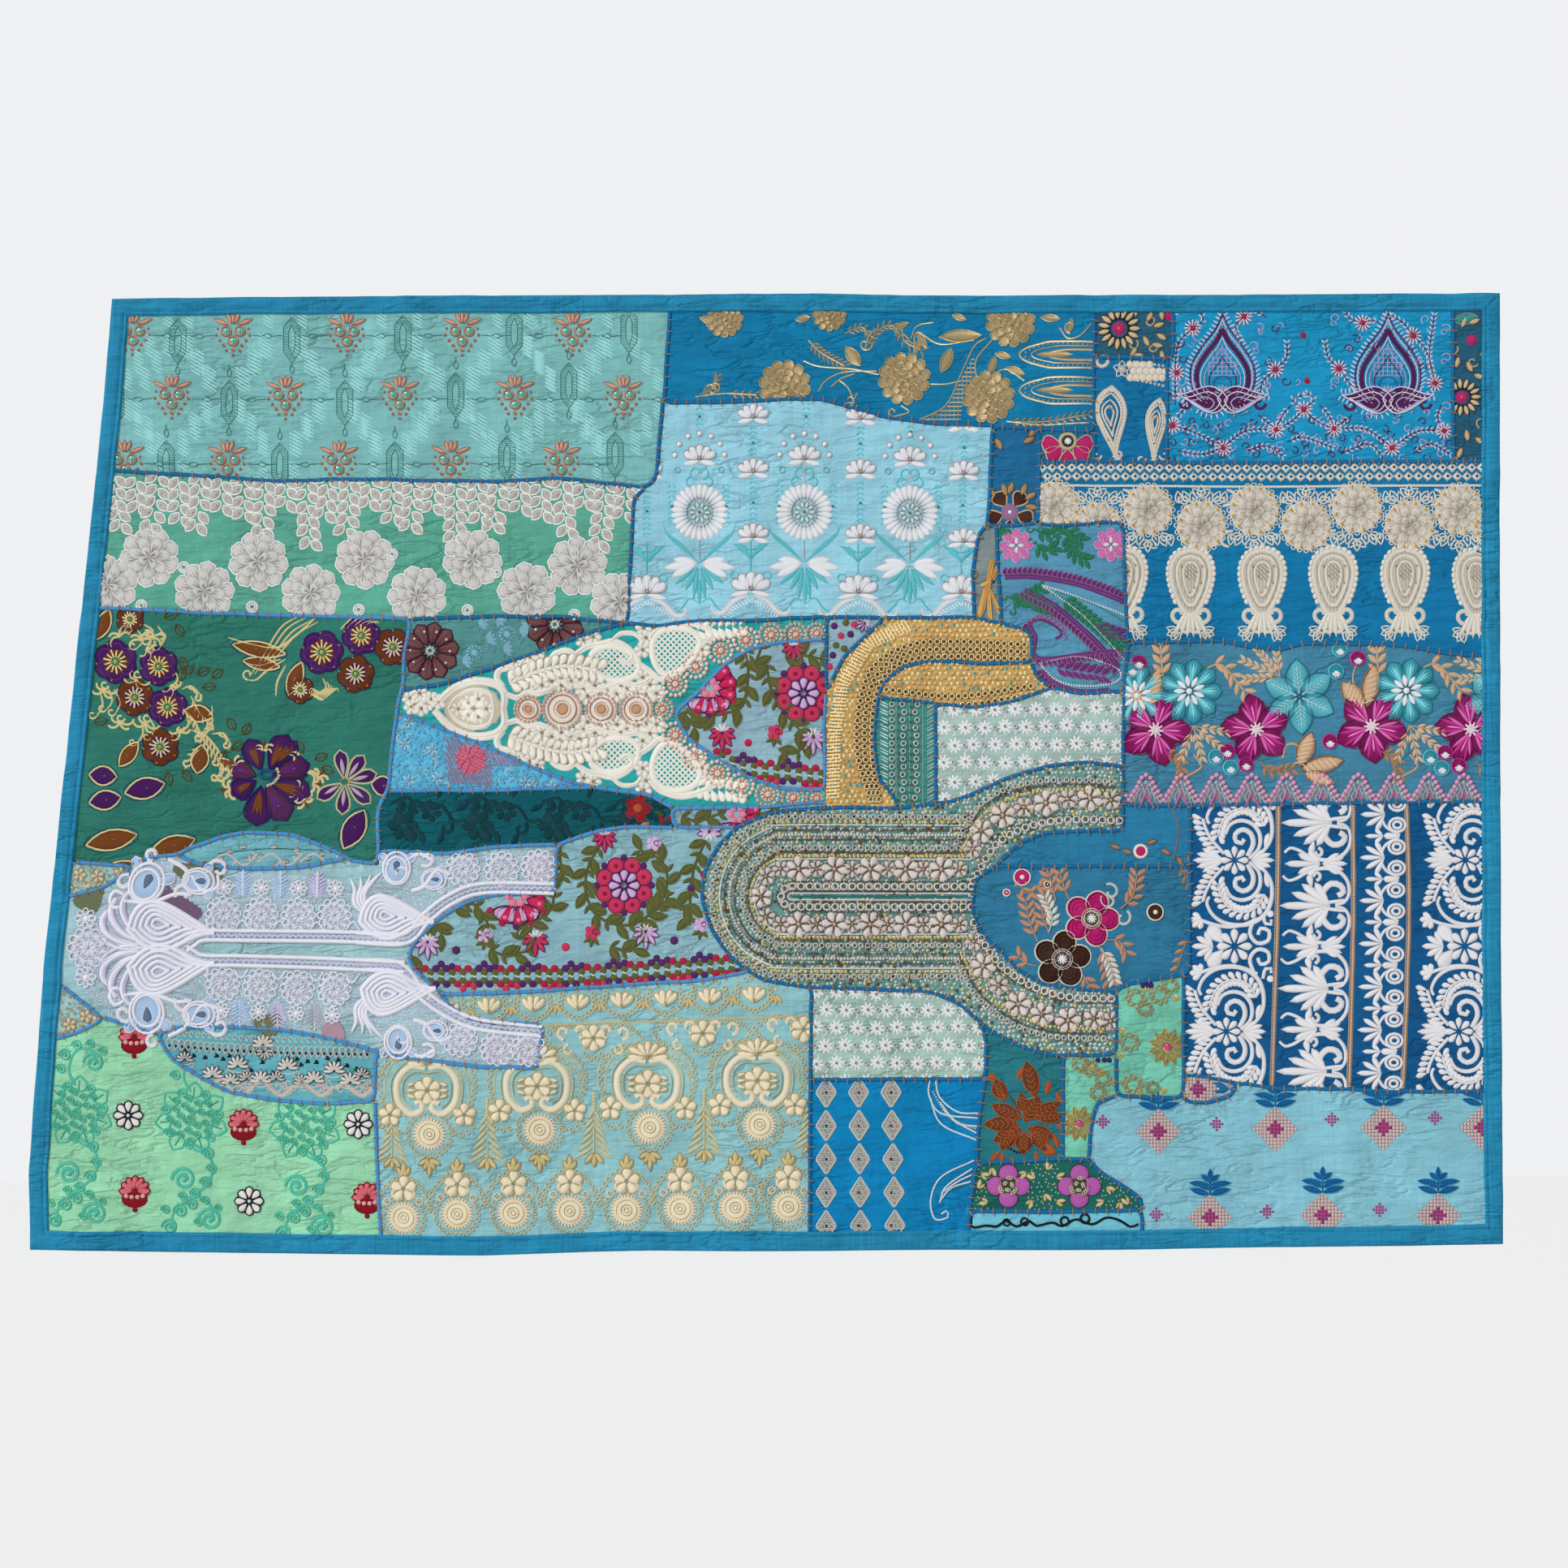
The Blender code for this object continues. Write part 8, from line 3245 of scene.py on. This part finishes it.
# which needlework each panel has
needlework = {
    "mint_damask": sewMintDamask, "silver_roses": sewSilverRoses, "forest_flowers": sewForestFlowers,
    "scroll_lens": sewScrollLens, "maroon_flower": sewMaroonFlower, "sky_medallions": sewSkyMedallions,
    "gold_roses": sewGoldRoses, "sunflower": sewSunflower, "sunflower_strip": sewSunflowerStrip,
    "ivory_mango": sewIvoryMango, "brown_flower": sewBrownFlower, "magenta_flower": sewMagentaFlower,
    "plum_ogees": sewPlumOgees, "ivory_borders": sewIvoryBorders, "big_blooms": sewBigBlooms,
    "white_scrolls": sewWhiteScrolls, "stitched_diamonds": sewStitchedDiamonds, "pink_scrap": sewPinkScrap,
    "mint_sequins": sewMintSequins, "mint_sequins_low": sewMintSequinsLow, "rust_flower": sewRustFlower,
    "lilac_clover": sewLilacClover, "black_curl": sewBlackCurl, "blue_strip": sewBlueStrip,
    "blue_flowers": sewBlueFlowers, "silver_diamonds": sewSilverDiamonds, "ivory_lace": sewIvoryLace,
    "berry_ogee": sewBerryOgee, "berry_wide": sewBerryWide, "berry_corner": sewBerryCorner,
    "berry_sliver": sewBerrySliver, "gold_arch": sewGoldArch, "gold_lens": sewGoldLens,
    "sequin_columns": sewSequinColumns, "daisies_upper": lambda: sewDaisies("daisies_upper", 25, 22),
    "daisies_lower": lambda: sewDaisies("daisies_lower", 25, 22), "beaded_neck": sewBeadedNeck,
    "cream_crests": sewCreamCrests, "mint_vines": sewMintVines, "black_darts": sewBlackDarts,
    "cream_scrap_upper": lambda: sewCreamScrap("cream_scrap_upper", [
        (100, 1078, 0), (122, 1080, 40), (84, 1092, 20), (150, 1076, 60)
    ]),
    "cream_scrap_lower": lambda: sewCreamScrap(
        "cream_scrap_lower", [(108, 1252, 0), (88, 1262, 40), (122, 1258, 10)]
    ),
    "ruched_pink": sewRuchedPink, "teal_velvet": sewTealVelvet, "purple_paisley": sewPurplePaisley,
    "orange_tassel": sewOrangeTassel
}


for node in panelNames:
    outline, depth, slot = outlines[node], relief["panelDepth"], looks[node]["slot"]
    material = clothMaterial(camel(node), looks[node])
    sheet, area = clothSheet(camel(node) + "Cloth", outline, depth, material, relief["grid"])
    dress(node)
    if node in needlework:
        needlework[node]()
        sewOn(camel(node) + "Embroidery", drawnIn(outline, 0.0005), depth)
print("panels dressed")

yoke = {"colour": (196, 214, 228), "threads": 520, "wear": 0.12, "slub": 0.1, "sheer": 0.14}
yokeOutline = frontOutline("lace_yoke")
netMaterial = clothMaterial("lace net", yoke)
net, area = clothSheet("laceNet", yokeOutline, relief["yokeDepth"], netMaterial, relief["grid"])
dress("lace_yoke")
sewLaceYoke()
sewOn("laceCords", None, relief["yokeDepth"])
print("yoke sewn")

# the couched seam cords
seamCord = {
    "dark": (18, 112, 168),
    "light": (78, 156, 220),
    "wide": 6.2,  # px
    "high": 2.0,
    "tack": (172, 124, 66),
    "tackLong": 8.5,  # px
    "tackWide": 1.5,
    "fold": (14, 88, 122),  # the mitred corners of the binding: a darker line, painted shade beside each fold
    "foldWide": 1.8,
}


def isLightCord(u, v):  # the light cords are those round the lower left panels
    return u < 905 and v > 840 and not (520 < u < 780 and v < 900)


def sewSeams():
    chance = np.random.default_rng(11)
    for line in seams:
        if len(line) < 4:
            continue
        run = evenly(line, 0.0052)
        u, v = onPhoto(run[:, 0], run[:, 1])
        points = np.stack([u, v], 1) + blotches(run[:, 0], run[:, 1], 0.02, 0.02, 12)[:, None] * 0.35
        tint = seamCord["light"] if isLightCord(*points[len(points) // 2]) else seamCord["dark"]
        lay(points, seamCord["wide"], tint, seamCord["high"], rows=4, base=-0.3, twist=1.4)
        for x, y, way in along(points, relief["tackStep"] * 1.13):
            lean = way + 90 + chance.normal(0, 9)
            stamp(
                "stitch", x, y, seamCord["tackLong"] * chance.uniform(0.85, 1.15), seamCord["tackWide"],
                lean, 1.0, seamCord["tack"], base=seamCord["high"] - 0.5,
            )


def sewCornerFolds():
    # a low ridge along each corner's mitred fold, in a darker colour: the ridge is shape, the darker colour
    # painted shade
    for line in (
        ((141, 370), (159, 390)), ((1849, 364), (1828, 384)), ((1852, 1536), (1831, 1507)),
        ((41, 1537), (63, 1517)),
    ):
        lay(evenly(line, 6), seamCord["foldWide"], seamCord["fold"], 0.35, base=1.8)


sewSeams()
sewCornerFolds()
sewOn("seamCords", None, relief["panelDepth"])
print("seams couched")

# the binding and the ground cloth
binding = {
    "colour": (32, 128, 166),
    "threads": 700,
    "slub": 0.4,
    # mm in from the edge, mm in front of the ground cloth's back
    "section": [(20, -0.3), (19.8, -1.2), (17, -1.35), (10, -1.4), (3, -1.3), (0.7, -0.8), (0, 0.4), (0, 2.0),
                (0.8, 3.2), (3, 3.8), (7, 3.9), (11, 4.0), (14.4, 3.8), (15.3, 3.0), (16.2, 3.6), (18, 4.1),
                (19.5, 3.7), (20, 2.2)],
    "puckers": 0.35,  # mm
    "wave": 0.5,  # mm that the inner fold strays
    "wide": 0.047,  # m of cloth across the strip before it is folded
    "proud": 0.0013,  # m that the strip stands past the ground cloth's edge
}


def bindingStrip(name, outer, run, moves, seed, material):
    # one folded strip along this run of the edge; moves is which of x and z its wave shifts
    whole = np.r_[0, np.cumsum(np.linalg.norm(np.diff(outer[run], axis=0), axis=1))]
    reach = evenly(whole[:, None], 0.005)[:, 0]
    columns, rows = len(binding["section"]), len(reach)
    shape = bmesh.new()
    bmesh.ops.create_grid(shape, x_segments=rows - 1, y_segments=columns - 1, size=0.5)
    order = sorted(shape.verts, key=lambda p: (round(p.co.x, 5), p.co.y))
    for j, (inward, depth) in enumerate(binding["section"]):
        line = drawnIn(outer, inward / 1000)[run]
        x, z = (np.interp(reach, whole, line[:, axis]) for axis in (0, 1))
        ripple = binding["puckers"] * blotches(x, z, 0.012, 0.012, seed)
        wave = binding["wave"] * blotches(x, z, 0.05, 0.05, 31) * (inward > 14) / 1000
        x, z = x + wave * moves[0], z + wave * moves[1]
        lift = depth + ripple * (2 < inward < 19 and depth > 3)
        y = -surface(x, z) - lift / 1000
        for i in range(rows):
            order[i * columns + j].co = (x[i], y[i], z[i])
    bmesh.ops.recalc_face_normals(shape, faces=shape.faces[:])
    return pieceOf(name, shape, material), whole[-1]


def makeBinding():
    material = clothMaterial("binding cotton", binding)
    outer = drawnIn(ground, -binding["proud"])
    sides = {"Top": (-1, 1), "Right": (1, 1), "Bottom": (1, -1), "Left": (-1, -1)}
    corners = [int(np.argmax(outer @ np.array(way))) for way in sides.values()]
    for k, (side, start) in enumerate(zip(sides, corners)):
        end = corners[(k + 1) % 4]
        run = [(start + i) % len(outer) for i in range((end - start) % len(outer) + 1)]
        moves = (0, 1) if side in ("Top", "Bottom") else (1, 0)
        piece, long = bindingStrip("binding" + side, outer, run, moves, 21 + k, material)
        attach(piece, "root")
        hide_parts("binding_" + side.lower())


makeBinding()
groundLook = {"colour": (150, 186, 196), "threads": 800, "slub": 0.3, "wear": 0.35, "creases": 0.5}
groundCotton = clothMaterial("ground cotton", groundLook)
groundSheet, area = clothSheet("groundCloth", ground, 1.0, groundCotton, 0.02, 0.0009)
dress("ground_cloth")
print("binding and ground made")


# floor, light and camera
studio = {
    "floor": -2.25,  # m
    "sky": (0.97, 0.98, 1.0),
    "light": 0.4,  # what the sky gives
    "seen": 0.892,  # how bright it looks
    "sun": 2.75,
    "from": (-0.62, -0.5, 0.6),
    "soft": 9,  # degrees
}


def makeFloor():
    shape = bmesh.new()
    bmesh.ops.create_grid(shape, x_segments=1, y_segments=1, size=14)
    bmesh.ops.translate(shape, vec=(0, 0, studio["floor"]), verts=shape.verts[:])
    material, _, shader = newMaterial("pale floor")
    shader.inputs["Base Color"].default_value = (0.95, 0.95, 0.95, 1)
    setSockets(shader, rough=0.9)
    pieceOf("floor", shape, material)


def makeSky():
    world = bpy.data.worlds.new("studio")
    world.use_nodes = True
    tree = world.node_tree
    straight = addNode(tree, "LightPath").outputs["Is Camera Ray"]
    bright = addNode(tree, "MapRange", {0: straight, 3: studio["light"], 4: studio["seen"]}).outputs[0]
    tree.nodes["Background"].inputs[0].default_value = (*studio["sky"], 1)
    tree.links.new(bright, tree.nodes["Background"].inputs[1])
    bpy.context.scene.world = world


def makeSun():
    lamp = newPiece("softSun", bpy.data.lights.new("softSun", "SUN"))
    lamp.data.energy, lamp.data.angle = studio["sun"], math.radians(studio["soft"])
    lamp.rotation_euler = Vector(studio["from"]).to_track_quat("Z", "Y").to_euler()


def makeCamera():  # where the photo was taken from
    seen = newPiece("photo camera", bpy.data.cameras.new("photo camera"))
    seen.data.sensor_width, seen.data.lens = 36, 36 * camera["lens"] / (2 * camera["middle"])
    seen.location = camera["place"]
    seen.rotation_euler = (math.radians(90 + camera["tilt"]), 0, 0)
    seen.rotation_euler.rotate_axis("Z", -math.radians(camera["roll"]))
    bpy.context.scene.camera = seen
    bpy.context.scene.view_settings.view_transform = "Standard"


makeFloor()
makeSky()
makeSun()
makeCamera()
print("studio made")
